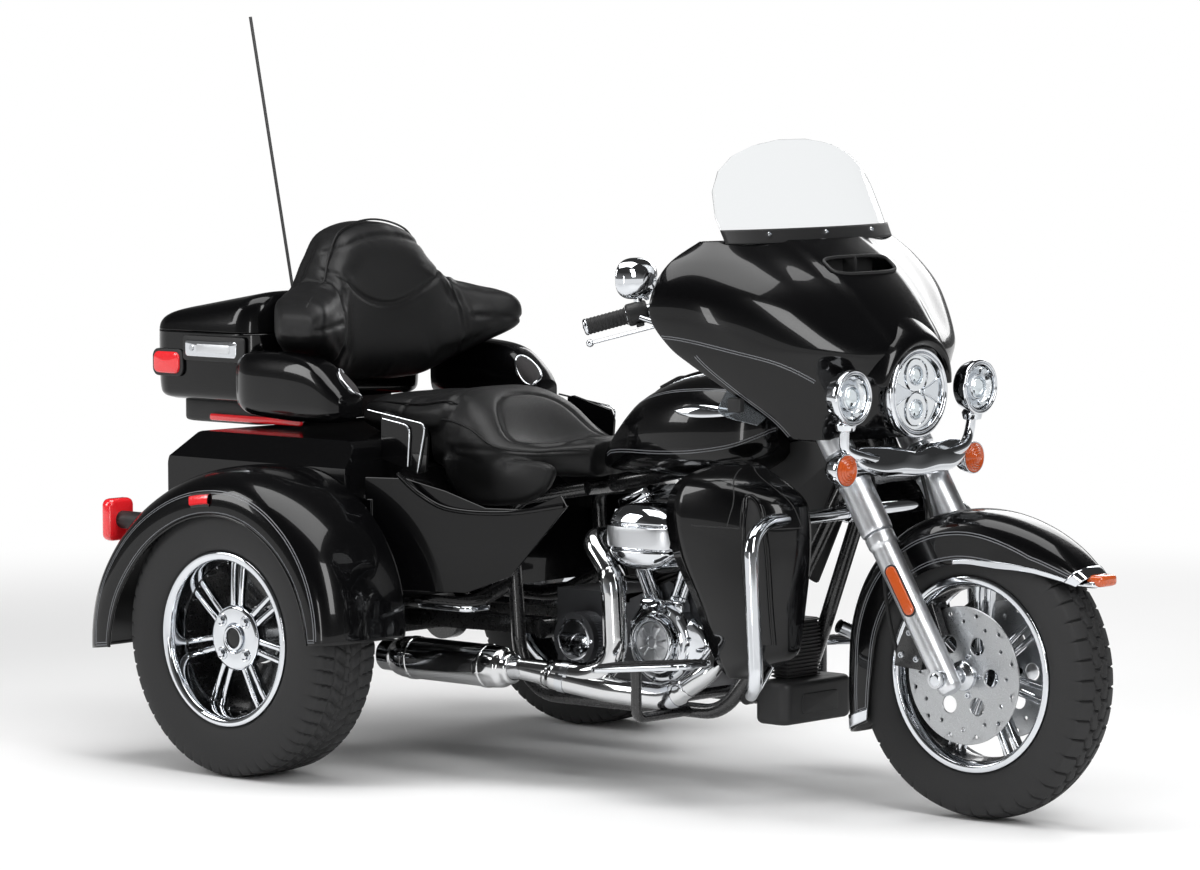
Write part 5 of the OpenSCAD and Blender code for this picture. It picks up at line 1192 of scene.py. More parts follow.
class TRIKE_OT_fairing(Operator):
    """Fairing skin with its vent and pinstripes, windshield, instruments and lamps"""

    bl_idname = "trike.fairing"
    bl_label = "Fairing and lamps"

    def execute(self, context):
        size = context.scene.trike_sizes
        self.skin(size)
        self.screen()
        self.headlamp()
        self.side_lamps()
        self.deflectors()
        self.dash()
        return {"FINISHED"}

    def skin(self, size):
        """The skin with the lamp's hole and the vent's slot left open, a hood and stripes."""
        k, w = down(0, 1, 100), over(-np.pi / 2, np.pi / 2, 127)
        P = spread(fairing, k, w)
        mid = (P[:-1, :-1] + P[1:, 1:]) / 2
        lamp = np.hypot(mid[..., 1], mid[..., 2] - LAMP_Z) < LAMP_R * 0.97
        across, up = mid[..., 1] / VENT_HALF, (mid[..., 2] - VENT_Z) / VENT_H
        slot = (np.abs(across) ** 4 + np.abs(up) ** 4 < 1) & (mid[..., 0] > 1200)
        away = (1150, 0, 1000)
        put(
            "FairingSkin", grid(P, keep=~(lamp | slot)), "gloss_enamel", "steering",
            "outer_fairing", wall=4.0, bevel=0.8
        )
        t = np.linspace(0, 2 * np.pi, 97)
        kz = np.interp(VENT_Z + (VENT_H + 0.5) * spow(np.sin(t), 0.5), P[:, 63, 2], k[:, 0])
        half = at_rows(FAIRING, kz)[:, 2] * FAIRING_HALF
        wy = np.arcsin(np.clip((VENT_HALF + 1) * spow(np.cos(t), 0.5) / half, -1, 1))
        p, n = on(fairing, kz, wy, away)
        put(
            "VentFrame", [tube(p + 1.0 * n, 4.2, (0, 0.2, 1), 10, (False, False))], "moulded_abs",
            "steering"
        )
        box = block((1215, -112, 1164), (1275, 112, 1206), 0.3, 16)
        put(
            "VentDuct", [inward(box), block((1262, -3, 1168), (1312, 3, 1208), 0.4, 10)],
            "moulded_rubber", "steering"
        )
        ws = size.stripe_w / MM
        line = []
        for s in (-1, 1):
            q = np.linspace(0, 1, 90)
            line += stripes(
                fairing, mix(0.545, 0.3, q**2.2), s * np.radians(mix(89, 42, q)), away, ws
            )
            line += stripes(fairing, mix(0.03, 0.44, q), s * np.radians(84 - 6 * q), away, ws)
        put("FairingStripes", line, "silver_stripe", "steering")
        a = np.radians(np.linspace(8, 172, 60))
        r = np.stack(
            [
                LAMP_R + 3 + 0 * a, LAMP_R + 9 + 5 * np.sin(a), LAMP_R + 22 + 12 * np.sin(a),
                LAMP_R + 44 + 22 * np.sin(a)
            ]
        )
        u = np.stack(
            [
                1480 + 16 * np.sin(a), 1486 + 17 * np.sin(a), 1478 + 12 * np.sin(a),
                1440 + 6 * np.sin(a)
            ]
        )
        P = np.stack([u, r * np.cos(a), LAMP_Z + r * np.sin(a)], -1)
        put(
            "LampHood", grid(at_rows(P.reshape(4, -1), np.linspace(0, 1, 24)).reshape(24, 60, 3)),
            "gloss_enamel", "steering", wall=2.0
        )

    def screen(self):
        """Clear screen with a dark band along its foot and three screws."""
        s, k = down(0, 1, 40) ** 0.8, over(-1, 1, 61)
        put(
            "Windshield", grid(spread(windshield, s, k)), "clear_polycarbonate", "steering",
            "windshield", wall=3.4
        )
        foot = down(-0.035, 0.105, 8)
        away = (1000, 0, 1300)
        trim = band(windshield, foot, k * 1.01, away, 2.4)
        put("ScreenTrim", trim, "moulded_abs", "steering", wall=2.0, offset=1.0)
        p, n = on(windshield, 0.05, np.array([-0.62, 0.0, 0.62]), away)
        screws = [along(screw(6, 4), n[i], p[i] + 4.6 * n[i]) for i in range(3)]
        put("ScreenScrews", screws, "chrome_plate", "steering")

    def headlamp(self):
        """Bright double-ringed shell, two projectors one over the other and a bow-tie divider."""
        face = LAMP_FACE
        put(
            "HeadlampShell", lamp_shell(LAMP_R, face, 78, 0, LAMP_Z), "chrome_plate", "steering",
            "headlamp"
        )
        projectors("Headlamp", [projector(37, face - 12, 0, LAMP_Z + h, 30) for h in (37, -37)])
        back = turned([(0.1, -16), (80, -16)], (face, 0, LAMP_Z), "x", 48)
        put("HeadlampBack", back, "lamp_reflector", "steering")
        side = np.array([[78, -30], [78, 30], [44, 13], [20, 6], [20, -6], [44, -13]], float)
        ties = [
            slab(
                bent_outline(side * [s, 1]), 8, 2,
                lambda a, b, h: np.stack([face - 18 + h, a, LAMP_Z + b], -1)
            )
            for s in (-1, 1)
        ]
        put("HeadlampDivider", ties, "chrome_plate", "steering")
        put("HeadlampGlass", lens(82, face - 6, 9, 0, LAMP_Z), "clear_polycarbonate", "steering")

    def side_lamps(self):
        """Passing lamps on a shaped bright bracket, and amber signals in bullets."""
        face, r, z = 1488.0, 61.0, LAMP_Z
        shells, lamps, glass = [], [], []
        for y in (-PASSING_Y, PASSING_Y):
            shells.append(lamp_shell(r, face, 54, y, z))
            lamps.append(projector(46, face - 9, y, z, 26))
            glass.append(lens(50, face - 5, 6, y, z))
        put(
            "PassingLampShells", shells + self.bracket(), "chrome_plate", "steering",
            "passing_lamps"
        )
        projectors("PassingLamp", lamps)
        put("PassingLampGlass", glass, "clear_polycarbonate", "steering")
        low, high = local_box("turn_signals")
        z, amber, shell = (low[2] + high[2]) / 2, [], []
        for y in (-SIGNAL_Y, SIGNAL_Y):
            k = np.linspace(0.001, 1, 37)
            ripple = 1.2 * np.cos(12 * np.pi * k) * step(0.2, 0.3, k)
            amber.append(
                turned(
                    np.stack([33 * k, 14 * (1 - k**2) - 14 + ripple], -1), (high[0], y, z), "x", 48
                )
            )
            shell.append(
                spun(
                    [(32, -14), (36, -13), (36, -22), (31, -44), (18, -62), (0.1, -65)], 6,
                    (high[0], y, z), "x", 48
                )
            )
        put("SignalLenses", amber, "amber_acrylic", "steering", "turn_signals")
        put("SignalShells", shell, "chrome_plate", "steering")

    def bracket(self):
        """Plate under the headlamp and an arm swept out to each lamp and signal."""
        foot = HEAD - 97.3 * STEER_UP + 58 * STEER_FORE
        wing = [
            [-190, 12, 10, 6], [-168, 10, 26, 9], [-120, 0, 34, 15], [-60, -4, 34, 21],
            [0, -12, 29, 17]
        ]
        wing += [[-a, b, c, d] for a, b, c, d in wing[-2::-1]]
        y, mid, tall, deep = rows(wing, 45).T[..., None]
        w = circle(28)
        fold = 5 * np.exp(-(((w - 0.5) / 0.35) ** 2)) * np.cos(np.pi * y / 120)
        ahead, rise = 6 + (deep + fold) * spow(np.cos(w), 0.75), mid + tall * spow(np.sin(w), 0.8)
        face = (
            foot + ahead[..., None] * STEER_FORE + rise[..., None] * STEER_UP
            + (y + 0 * w)[..., None] * np.array([0, 1, 0])
        )
        face = grid(face, (False, True), (True, True))
        arms = []
        low, high = node_box("turn_signals")
        for s in (-1, 1):
            top = np.array([1462, s * PASSING_Y, LAMP_Z - 58])
            way = [
                foot + [0, s * 96, 0], foot + [6, s * 170, 14], [1456, s * 214, LAMP_Z - 110], top
            ]
            arms.append(tube(rows(way, 30), np.linspace(15, 10, 30), (0.3, 0, 1), 20))
            sig = np.array([(low[0] + high[0]) / 2 - REAR_X, s * SIGNAL_Y, (low[2] + high[2]) / 2])
            arms.append(
                tube(
                    rows(
                        [foot + [0, s * 110, -10], mix(foot + [0, s * 120, -10], sig, 0.5), sig],
                        20
                    ),
                    10, (0.3, 0, 1), 16
                )
            )
            collar = spun([(10, -16), (20, -15), (24, 0), (18, 9), (12, 10)], 3, top, "z", 32)
            arms.append(collar)
        return [face] + arms

    def deflectors(self):
        """Smoked vanes under the wings: a bilinear sheet swollen outward, each on a black clip."""
        s, q = np.linspace(0, 1, 30)[:, None, None], np.linspace(0, 1, 20)[None, :, None]
        top = mix(np.array([1264, 250, 864.0]), np.array([1207, 316, 924.0]), s)
        low = mix(np.array([1246, 258, 846.0]), np.array([1168, 312, 868.0]), s)
        sheet = (
            mix(top, low, q * (1 - 0.22 * s**6))
            + np.array([0, 9, 0]) * np.sin(np.pi * s) * np.sin(np.pi * q)
        )
        put(
            "WindDeflectors", mirrored([grid(sheet)]), "smoked_polycarbonate", "steering", wall=3.0
        )
        clip = block((1204, 292, 876), (1240, 312, 908), 0.3, 12)
        put("DeflectorClips", mirrored([clip]), "moulded_abs", "steering")

    def dash(self):
        """Round instruments with needles, in bright rings on the inner panel."""
        faces, rims, marks = [], [], []
        tilt = unit(np.array([-1, 0, 0.18]))
        for y, z, r in (
            (-62, 1118, 44), (62, 1118, 44), (-160, 1112, 30), (160, 1112, 30), (-232, 1100, 26),
            (232, 1100, 26)
        ):
            at = np.array([dash_u(y), y, z]) + 3 * tilt
            faces.append(along(turned([(0.1, 3), (r * 0.92, 3)], (0, 0, 0), "z", 40), tilt, at))
            rims.append(
                along(
                    lathe(
                        [(r * 0.88, 3), (r * 0.92, 9), (r, 9), (r * 1.06, 3), (r * 1.06, -26)], 2,
                        40
                    ),
                    tilt, at
                )
            )
            needle = block((-1, -r * 0.15, 3.5), (1, r * 0.7, 5), 0.4, 8)
            marks.append(along(needle, tilt, at))
        put("DialFaces", faces, "dial_face", "steering")
        put("DialRings", rims, "chrome_plate", "steering")
        put("DialNeedles", marks, "dial_mark", "steering")


def dash_u(y):
    """Place along of the inner panel's rider side at a place across."""
    low, high = node_box("inner_fairing")
    return low[0] - REAR_X + 60 + 0.5 * (high[0] - low[0]) * (1 - (y / INNER_HALF) ** 2) * 0.42


def bent_outline(points, d=5, steps=4):
    """Closed outline with its corners rounded."""
    p = np.asarray(points, float)
    before, after = np.roll(p, 1, 0) - p, np.roll(p, -1, 0) - p
    a, b = p + unit(before) * d, p + unit(after) * d
    t = np.linspace(0, 1, steps)[None, :, None]
    return (
        (1 - t) ** 2 * a[:, None] + 2 * t * (1 - t) * p[:, None] + t**2 * b[:, None]
    ).reshape(-1, 2)


# Tank, seat and luggage


TANK = [
    [0, 0.3, 0.03, 0.14, 0.26], [0.12, 0.56, 0.02, 0.24, 0.5], [0.28, 0.82, 0.02, 0.32, 0.78],
    [0.48, 0.97, 0.03, 0.37, 0.95], [0.68, 1, 0.05, 0.41, 1], [0.86, 0.9, 0.12, 0.45, 0.95],
    [0.96, 0.7, 0.22, 0.5, 0.85], [1, 0.48, 0.3, 0.52, 0.76],
]
RIDER = [
    [0, 0.9, 0.3, 0.88, 0], [0.18, 0.96, 0.3, 0.9, 0], [0.36, 1, 0.28, 0.72, 0.06],
    [0.55, 1, 0.24, 0.3, 0.2], [0.75, 0.82, 0.2, 0.3, 0.12], [0.9, 0.55, 0.2, 0.4, 0.02],
    [1, 0.36, 0.18, 0.42, 0],
]
PILLION = [
    [0, 0.9, 0.4, 0.85, 0], [0.2, 0.96, 0.4, 0.95, 0], [0.6, 0.98, 0.4, 0.95, 0],
    [0.9, 0.95, 0.45, 1.1, 0], [1, 0.85, 0.4, 0.9, 0],
]
REST_HALF = [
    [-1, 0.55, 0.95, 0.33, 0.45], [-0.92, 0.36, 1, 0.28, 0.53], [-0.76, 0.18, 0.9, 0.2, 0.57],
    [-0.58, 0.05, 0.76, 0.1, 0.63], [-0.44, 0, 0.62, 0.02, 0.79], [-0.3, 0, 0.56, 0, 0.94],
    [0, 0, 0.54, 0, 1],
]
REST = REST_HALF + [[-r[0]] + r[1:] for r in REST_HALF[-2::-1]]
TRUNK_BACK, TRUNK_FRONT, TRUNK_Z, SEAM_Z, TRUNK_HALF = -650.0, -282.0, 822.0, 986.0, 300.0
LID = [[0, 0], [0.35, 0.02], [0.65, 0.08], [0.85, 0.2], [0.96, 0.42], [1, 0.75]]
POD = [
    [0, 0.15, 0.9, 0.6], [0.15, 0.05, 1, 0.92], [0.5, 0, 1, 1], [0.75, 0, 0.9, 1],
    [0.92, 0.02, 0.62, 0.95], [1, 0.1, 0.42, 0.8]
]
SKIRT = [
    [0, 0.9], [0.06, 0.45], [0.22, 0.1], [0.45, 0], [0.8, 0.12], [1, 0.5], [0.94, 1], [0.1, 1],
    [0, 0.9]
]


# Rear end, length, foot, height and half width of the tank, and the power of its sections
TANK_U, TANK_L, TANK_Z, TANK_H, TANK_HALF, TANK_POWER = 612, 545, 692, 245, 172.5, 0.72
# Rear end, length, foot and height of the two cushions, and their half width
RIDER_BOX, PILLION_BOX, SADDLE_HALF = (175, 413, 685.3, 200), (-45, 300, 762.3, 90), 200
# Rear face, depth, foot, height and half width of the backrest
REST_U, REST_DEEP, REST_Z, REST_H, REST_W = -281.7, 275, 865, 388, 352
# Place across, half width, foot, height and length of the speaker pods
POD_Y, POD_HALF, POD_Z, POD_H, POD_L = 337, 49.0, 794, 158, 355
# Height of the lid at its back and front, and radius of the trunk's corners
LID_BACK, LID_FRONT, TRUNK_CORNER = 40.0, 104.0, 70
# Cloth pass of the pads: voxel and farthest move in mm, pressure, mass, quality and frames
SKIN_VOXEL, PUFF_LIMIT, PUFF, PUFF_MASS, PUFF_QUALITY, PUFF_FRAMES = 6.0, 6.0, 4.0, 0.3, 5, 20


def tank(k, w):
    """Tank skin: superellipse sections along the spine, fuller above their widest line."""
    row = at_rows(TANK, k)
    mid, rise, fall = row[..., 3], row[..., 4] - row[..., 3], row[..., 3] - row[..., 2]
    s = spow(np.sin(w), TANK_POWER)
    y = row[..., 1] * TANK_HALF * spow(np.cos(w), TANK_POWER)
    z = TANK_Z + TANK_H * (mid + np.where(s > 0, rise, fall) * s)
    return np.stack([TANK_U + TANK_L * row[..., 0], y, z], -1)


def cushion(table, u0, l, z0, h, k, w):
    """Cushion skin: superellipse sections with a dished top, carried along the seat."""
    row = at_rows(table, k)
    c, s = spow(np.cos(w), 0.6), np.sin(w)
    rise = np.where(s > 0, row[..., 3] - row[..., 2], row[..., 2]) * spow(s, 0.6)
    z = z0 + h * (row[..., 2] + rise + np.where(s > 0, row[..., 4] * c**2 * s, 0))
    return np.stack([u0 + l * row[..., 0], row[..., 1] * SADDLE_HALF * c, z], -1)


def rider(k, w):
    """Rider's bucket."""
    return cushion(RIDER, *RIDER_BOX, k, w)


def pillion(k, w):
    """Passenger's pad."""
    return cushion(PILLION, *PILLION_BOX, k, w)


def saddle_seams(p, n):
    """Depth of the saddle's seams: a ring round the rider's bowl, a line behind it, a line
    across the passenger's pad and one along each flank, each a bell curve of its distance."""
    u, y, z = p.T
    bowl = np.hypot((u - 415) / 128, y / 146)
    ring = 5.0 * np.exp(-(((bowl - 1) / 0.035) ** 2)) * (u > 260)
    back = 3.5 * np.exp(-(((u - 232) / 4.5) ** 2)) + 4.0 * np.exp(-(((u - 95) / 6) ** 2))
    top = np.clip(n[:, 2], 0, 1) ** 0.6
    flank = 3.0 * np.exp(-(((z - 742) / 5) ** 2)) * (np.abs(n[:, 1]) > 0.6) * (u > 262)
    return np.maximum(np.maximum(ring, back) * top, flank)


def backrest(k, w):
    """Wrap-round back pad: oblong sections from arm to arm."""
    row = at_rows(REST, k)
    back = np.maximum(0, row[..., 1])
    c, s = np.cos(w), np.sin(w)
    deep = spow(c, np.where(c < 0, 0.15, 0.6))
    u = REST_U + REST_DEEP * ((back + row[..., 2]) / 2 + (row[..., 2] - back) / 2 * deep)
    z = REST_Z + REST_H * (
        (row[..., 3] + row[..., 4]) / 2 + (row[..., 4] - row[..., 3]) / 2 * spow(s, 0.6)
    )
    return np.stack([u, row[..., 0] * REST_W, z], -1)


def rest_seams(p, n):
    """Depth of the backrest's seams on its face: a curved line across, one down beside each
    arm, one along each arm and one under the crown, less a swelling low in the middle."""
    a, z = np.abs(p[:, 1]), p[:, 2]
    cross = np.exp(-(((z - (1052 + 96 * (a / 190) ** 2)) / 6) ** 2)) * (a < 215)
    arm = np.exp(-(((a - (212 - 0.1 * (z - 900))) / 6) ** 2)) * (z < 1150)
    roll = np.exp(-(((z - (1020 - 0.1 * (a - 215))) / 6) ** 2)) * step(212, 225, a)
    crown = np.exp(-(((z - (1218 - 0.0016 * a**2)) / 5) ** 2)) * (a < 175)
    puff = 5 * np.clip(1 - (a / 150) ** 2, 0, 1) * np.clip(1 - ((z - 960) / 80) ** 2, 0, 1)
    deep = 7 * np.maximum(np.maximum(cross, arm), np.maximum(roll, 0.7 * crown)) - puff
    return deep * np.clip(n[:, 0], 0, 1) ** 0.5


def points(mesh, what="co"):
    """A mesh's vertices or their normals as an array."""
    v = np.empty(3 * len(mesh.vertices), np.float32)
    mesh.vertices.foreach_get(what, v)
    return v.reshape(-1, 3)


def settle(obj):
    """Pad blown up as cloth: the skin is remeshed, pressed out from within for twenty frames
    without gravity, and each point is held near where it began."""
    scene = bpy.context.scene
    skin = obj.modifiers.new("Skin", "REMESH")
    skin.mode, skin.voxel_size, skin.use_smooth_shade = "VOXEL", SKIN_VOXEL * MM, True
    shape = lambda: bpy.data.meshes.new_from_object(
        obj.evaluated_get(bpy.context.evaluated_depsgraph_get())
    )
    old, obj.data = obj.data, shape()
    obj.modifiers.clear()
    start = points(obj.data)
    cloth = obj.modifiers.new("Cloth", "CLOTH")
    cloth.settings.use_pressure, cloth.settings.uniform_pressure_force = True, PUFF
    cloth.settings.effector_weights.gravity = 0.0
    cloth.settings.mass, cloth.settings.quality = PUFF_MASS, PUFF_QUALITY
    cloth.point_cache.frame_end = PUFF_FRAMES
    for f in range(1, PUFF_FRAMES + 1):
        scene.frame_set(f)
    blown = shape()
    move = points(blown) - start
    far = np.linalg.norm(move, axis=1, keepdims=True)
    obj.modifiers.clear()
    scene.frame_set(1)
    calm = start + move * np.minimum(1, PUFF_LIMIT * MM / np.maximum(far, 1e-9))
    obj.data.vertices.foreach_set("co", calm.ravel())
    obj.data.update()
    bpy.data.meshes.remove(blown)
    bpy.data.meshes.remove(old)


def stitch(obj, seams):
    """Sinks the seams into a pad along its normals."""
    p, n = points(obj.data), points(obj.data, "normal")
    p = p - n * MM * seams(p / MM - [REAR_X, 0, 0], n)[:, None]
    obj.data.vertices.foreach_set("co", p.astype(np.float32).ravel())
    obj.data.update()


def trunk_rows(table, n):
    """Level outlines of the trunk: round-cornered oblongs drawn in, at heights that may rise
    towards the front."""
    t = rows(table, n)
    rings = []
    for d, f, lift, fall in t:
        o = round_rect(
            (TRUNK_BACK + d, -TRUNK_HALF + d), (TRUNK_FRONT - f, TRUNK_HALF - d),
            max(TRUNK_CORNER - 0.6 * d, 18), 12
        )
        share = (o[:, 0] - TRUNK_BACK) / (TRUNK_FRONT - TRUNK_BACK)
        rings.append(np.column_stack([o, lift + fall * mix(LID_BACK, LID_FRONT, share)]))
    return np.array(rings)


def pod(k, w, side):
    """Speaker pod: superellipse sections whose roof falls away to the front."""
    row = at_rows(POD, k)
    y = POD_Y + POD_HALF * row[..., 3] * spow(np.cos(w), 0.6) - POD_HALF * (1 - row[..., 3]) * 0.4
    z = POD_Z + POD_H * (
        (row[..., 1] + row[..., 2]) / 2 + (row[..., 2] - row[..., 1]) / 2 * spow(np.sin(w), 0.6)
    )
    return np.stack([TRUNK_FRONT + 0.3 + row[..., 0] * POD_L, side * y, z], -1)


class TRIKE_OT_tank(Operator):
    """Fuel tank with its console, filler cap, bright bars and pinstripes"""

    bl_idname = "trike.tank"
    bl_label = "Tank"

    def execute(self, context):
        size = context.scene.trike_sizes
        k, w = down(0, 1, 72), circle(96)
        skin = grid(spread(tank, k, w), (False, True), (True, True))
        put("FuelTank", skin, "gloss_enamel", "chassis", "fuel_tank", sharp=60)
        ws = size.stripe_w / MM
        away, line = (880, 0, 780), []
        t = np.linspace(0, 1, 90)
        for a, b in ((1.05, 0.78), (0.02, -0.16)):
            for s in (1, -1):
                w = mix(a, b, np.sin(np.pi * t) ** 1.5)
                line += stripes(tank, mix(0.06, 0.97, t), np.where(s > 0, w, np.pi - w), away, ws)
        put("TankStripes", line, "silver_stripe", "chassis")
        t, x = down(0, 1, 50), over(-1, 1, 13)
        wide = 0.11 * np.sin(np.pi * t**0.8) ** 0.6
        p, n = on(tank, mix(0.5, 0.74, t), 0.36 + wide * x, away)
        bar = p + n * (0.4 + 4.0 * np.sqrt(1 - x**2 * 0.98))[..., None]
        put("TankBars", mirrored([grid(bar)]), "chrome_plate", "chassis")
        q, x = down(0.17, 0.88, 60), over(-1, 1, 25)
        half = 48 * (1 - 0.45 * np.abs(2 * (q - 0.17) / 0.71 - 1) ** 4)
        wy = np.arccos(
            np.clip(spow(half * x / (at_rows(TANK, q)[..., 1] * TANK_HALF), 1 / TANK_POWER), -1, 1)
        )
        p, n = on(tank, q, wy, away)
        top = p + n * (11.5 * (1 - np.abs(x) ** 6))[..., None]
        put("Console", grid(top), "gloss_enamel", "chassis", "tank_console", wall=2.0)
        rim = np.concatenate([p[:, 0], p[::-1, -1], p[:1, 0]])
        put(
            "ConsoleEdge", tube(rim + [0, 0, 1.5], 2.6, (0.1, 0.2, 1), 10, (False, False)),
            "chrome_plate", "chassis"
        )
        spot, up = on(tank, np.array([0.6]), np.array([np.pi / 2]), away)
        cap = lathe([(0.1, 20), (26, 19), (34, 15), (36, 9), (36, 0)], 4, 56)
        ring = lathe([(37, 8), (39, 14), (44, 13), (45, 6)], 2, 56)
        put(
            "FillerCap", [along(c, up[0], spot[0]) for c in (cap, ring)], "chrome_plate", "chassis"
        )
        a, b = on(tank, np.array([0.32]), np.array([np.pi / 2]), away)
        plate = slab(
            round_rect((-34, -26), (34, 26), 10), 3, 1.2, lambda x, y, h: np.stack([x, y, h], -1)
        )
        put("ConsoleDoor", along(plate, b[0], a[0] + 11.8 * b[0]), "moulded_abs", "chassis")
        return {"FINISHED"}


class TRIKE_OT_seat(Operator):
    """Leather saddle and wrap-round backrest with seams and piping"""

    bl_idname = "trike.seat"
    bl_label = "Seat"

    def execute(self, context):
        r = context.scene.trike_sizes.seam_w / MM / 2
        k, w = down(0, 1, 96), circle(120)
        parts = [grid(spread(f, k, w), (False, True), (True, True)) for f in (rider, pillion)]
        edge = rows(np.array(SKIRT) * [340, 110] + [225, 610], 72)[:-1]
        parts += mirrored([slab(edge, 28, 11, lambda a, b, h: np.stack([a, 170 + h, b], -1), 6)])
        seat = put("Saddle", parts, "grained_leather", "chassis", "seat", sharp=70)
        k = down(0, 1, 150)
        skin = grid(spread(backrest, k, w), (False, True), (True, True))
        rest = put("Backrest", skin, "grained_leather", "chassis", "backrest", sharp=70)
        for pad, seams in ((seat, saddle_seams), (rest, rest_seams)):
            settle(pad)
            stitch(pad, seams)
        t = np.linspace(0.02, 0.98, 100)
        line = []
        for s in (0.3, np.pi - 0.3):
            p, n = on(rider, t, s, (380, 0, 740))
            line.append(tube(p + 0.6 * n, r, (0.1, 0.2, 1), 8))
            p, n = on(pillion, t, s + np.sign(np.pi / 2 - s) * 0.35, (100, 0, 800))
            line.append(tube(p + 0.6 * n, r, (0.1, 0.2, 1), 8))
        p, n = on(backrest, np.linspace(0.05, 0.95, 180), 1.45, (-230, 0, 1000))
        line.append(tube(p + 0.8 * n, r, (1, 0.1, 0.2), 8))
        put("SaddlePiping", line, "grained_leather", "chassis")
        return {"FINISHED"}


class TRIKE_OT_trunk(Operator):
    """Top trunk with lid, latch, lamps, speaker pods and antenna"""

    bl_idname = "trike.trunk"
    bl_label = "Top trunk"

    def execute(self, context):
        base = trunk_rows(
            [
                [30, 6, TRUNK_Z, 0], [10, 2, TRUNK_Z + 8, 0], [2, 0, TRUNK_Z + 30, 0],
                [0, 0, SEAM_Z - 60, 0], [0, 0, SEAM_Z, 0]
            ],
            40
        )
        put(
            "TrunkTub", grid(base, (False, True), (True, False)), "gloss_enamel", "chassis",
            "trunk_base", wall=5.0, sharp=60
        )
        lid = trunk_rows([[b * 170, b * 57 + 5.0, SEAM_Z + 2, a] for a, b in LID], 48)
        put(
            "TrunkLid", grid(lid, (False, True), (False, True)), "gloss_enamel", "trunk_lid",
            "trunk_lid", wall=5.0, sharp=60
        )
        self.fittings()
        self.pods()
        return {"FINISHED"}

    def fittings(self):
        """Latch plate, lamps in housings, pedestal, hinges and the boot of the antenna."""
        low, high = local_box("trunk_latch")
        y0 = low[1] - 1
        wide, tall = (high[0] - low[0]) / 2, (high[2] - low[2]) / 2
        mid = (low + high) / 2
        side = lambda a, b, h: np.stack([mid[0] + a, y0 + 6 - h, mid[2] + b], -1)
        plate = slab(round_rect((-wide, -tall), (wide, tall), 9), 8, 3, side)
        put("LatchPlate", plate, "chrome_plate", "chassis", "trunk_latch")
        cup = slab(
            round_rect((-wide * 0.55, -tall * 0.5), (wide * 0.75, tall * 0.55), 6), 9.2, 1, side
        )
        put("LatchCup", cup, "brushed_alloy", "chassis")
        key = turned(
            [(0.1, -9.6), (7, -9.6), (8, -8)], (mid[0] - wide * 0.74, y0 + 6, mid[2]), "y", 24
        )
        put("LatchKey", key, "polished_alloy", "chassis")
        box = slab(
            round_rect((-wide * 1.12, -tall * 1.5), (wide * 1.3, tall * 1.5), 10), 5.5, 2, side
        )
        put("LatchHousing", box, "moulded_abs", "chassis")
        pedestal = block((-610, -236, 762), (-330, 236, 828), 0.2, 24)
        put("TrunkPedestal", pedestal, "moulded_abs", "chassis")
        side = lambda a, b, h: np.stack([a, TRUNK_HALF + h, b], -1)
        back = lambda a, b, h: np.stack([TRUNK_BACK - h, a, b], -1)
        lens = mirrored(
            [
                slab(round_rect((-618, 884), (-530, 936), 16), 13, 5, side),
                slab(
                    round_rect((-493, 771), (-182, 787), 6), 10, 3,
                    lambda a, b, h: np.stack([a, 236 + h, b], -1)
                )
            ]
        )
        lens.append(slab(round_rect((-150, 900), (150, 921), 8), 13, 4, back))
        put("TrunkLamps", lens, "red_acrylic", "chassis", "trunk_lamps")
        hood = mirrored([slab(round_rect((-626, 877), (-520, 943), 20), 7, 2.5, side)])
        put(
            "TrunkLampHoods", hood + [slab(round_rect((-160, 893), (160, 928), 12), 6, 2, back)],
            "moulded_abs", "chassis"
        )
        knuckle = spun(
            [(0.1, 0), (7, 0), (7, 28), (0.1, 28)], 1.5, (0, TRUNK_HALF + 9, SEAM_Z), "x", 24
        )
        put(
            "HingeBarrels", [moved(knuckle, (u, 0, 0)) for u in (-580, -380)], "chrome_plate",
            "chassis"
        )
        put(
            "LidBarrels", [moved(knuckle, (u + 29, 0, 0)) for u in (-580, -380)], "chrome_plate",
            "trunk_lid"
        )
        mast, _ = leaning(np.radians(12))
        boot = lathe([(0.1, -20), (13, -19), (13, 6), (8, 12), (6, 46), (4.2, 60)], 4, 28)
        put("AntennaBase", along(boot, mast, (-660, 235, 921)), "moulded_abs", "chassis")

    def pods(self):
        """Pods with an oval cloth grille in a thin bright ring."""
        k, w = down(0, 1, 44), circle(72)
        shells, rings, cloth = [], [], []
        t, a = down(0.001, 1, 24), over(0, 2 * np.pi, 72)
        for s in (-1, 1):
            f = lambda x, y: pod(x, y, s)
            shells.append(grid(spread(f, k, w), (False, True), (True, True)))
            away = (TRUNK_FRONT + 150, s * POD_Y, 840)
            polar = lambda p: np.arctan2(spow(np.sin(p), 1 / 0.6), spow(np.cos(p), 1 / 0.6))
            face = lambda r: on(
                f, 0.82 + 0.15 * r * np.cos(a), polar(np.pi / 2 + 0.72 + 0.6 * r * np.sin(a)), away
            )
            p, n = face(t)
            cloth.append(grid(p + n * (1.0 + 4.0 * (1 - t**2))[..., None]))
            p, n = face(np.ones((1, 1)))
            rings.append(tube(p[0] + 1.5 * n[0], 3.2, (0.3, 0.1, 1), 12, (False, False)))
        put("SpeakerPods", shells, "gloss_enamel", "chassis", "speaker_pods", sharp=60)
        put("SpeakerRings", rings, "chrome_plate", "chassis")
        put("SpeakerCloth", cloth, "speaker_cloth", "chassis")


# Rear end


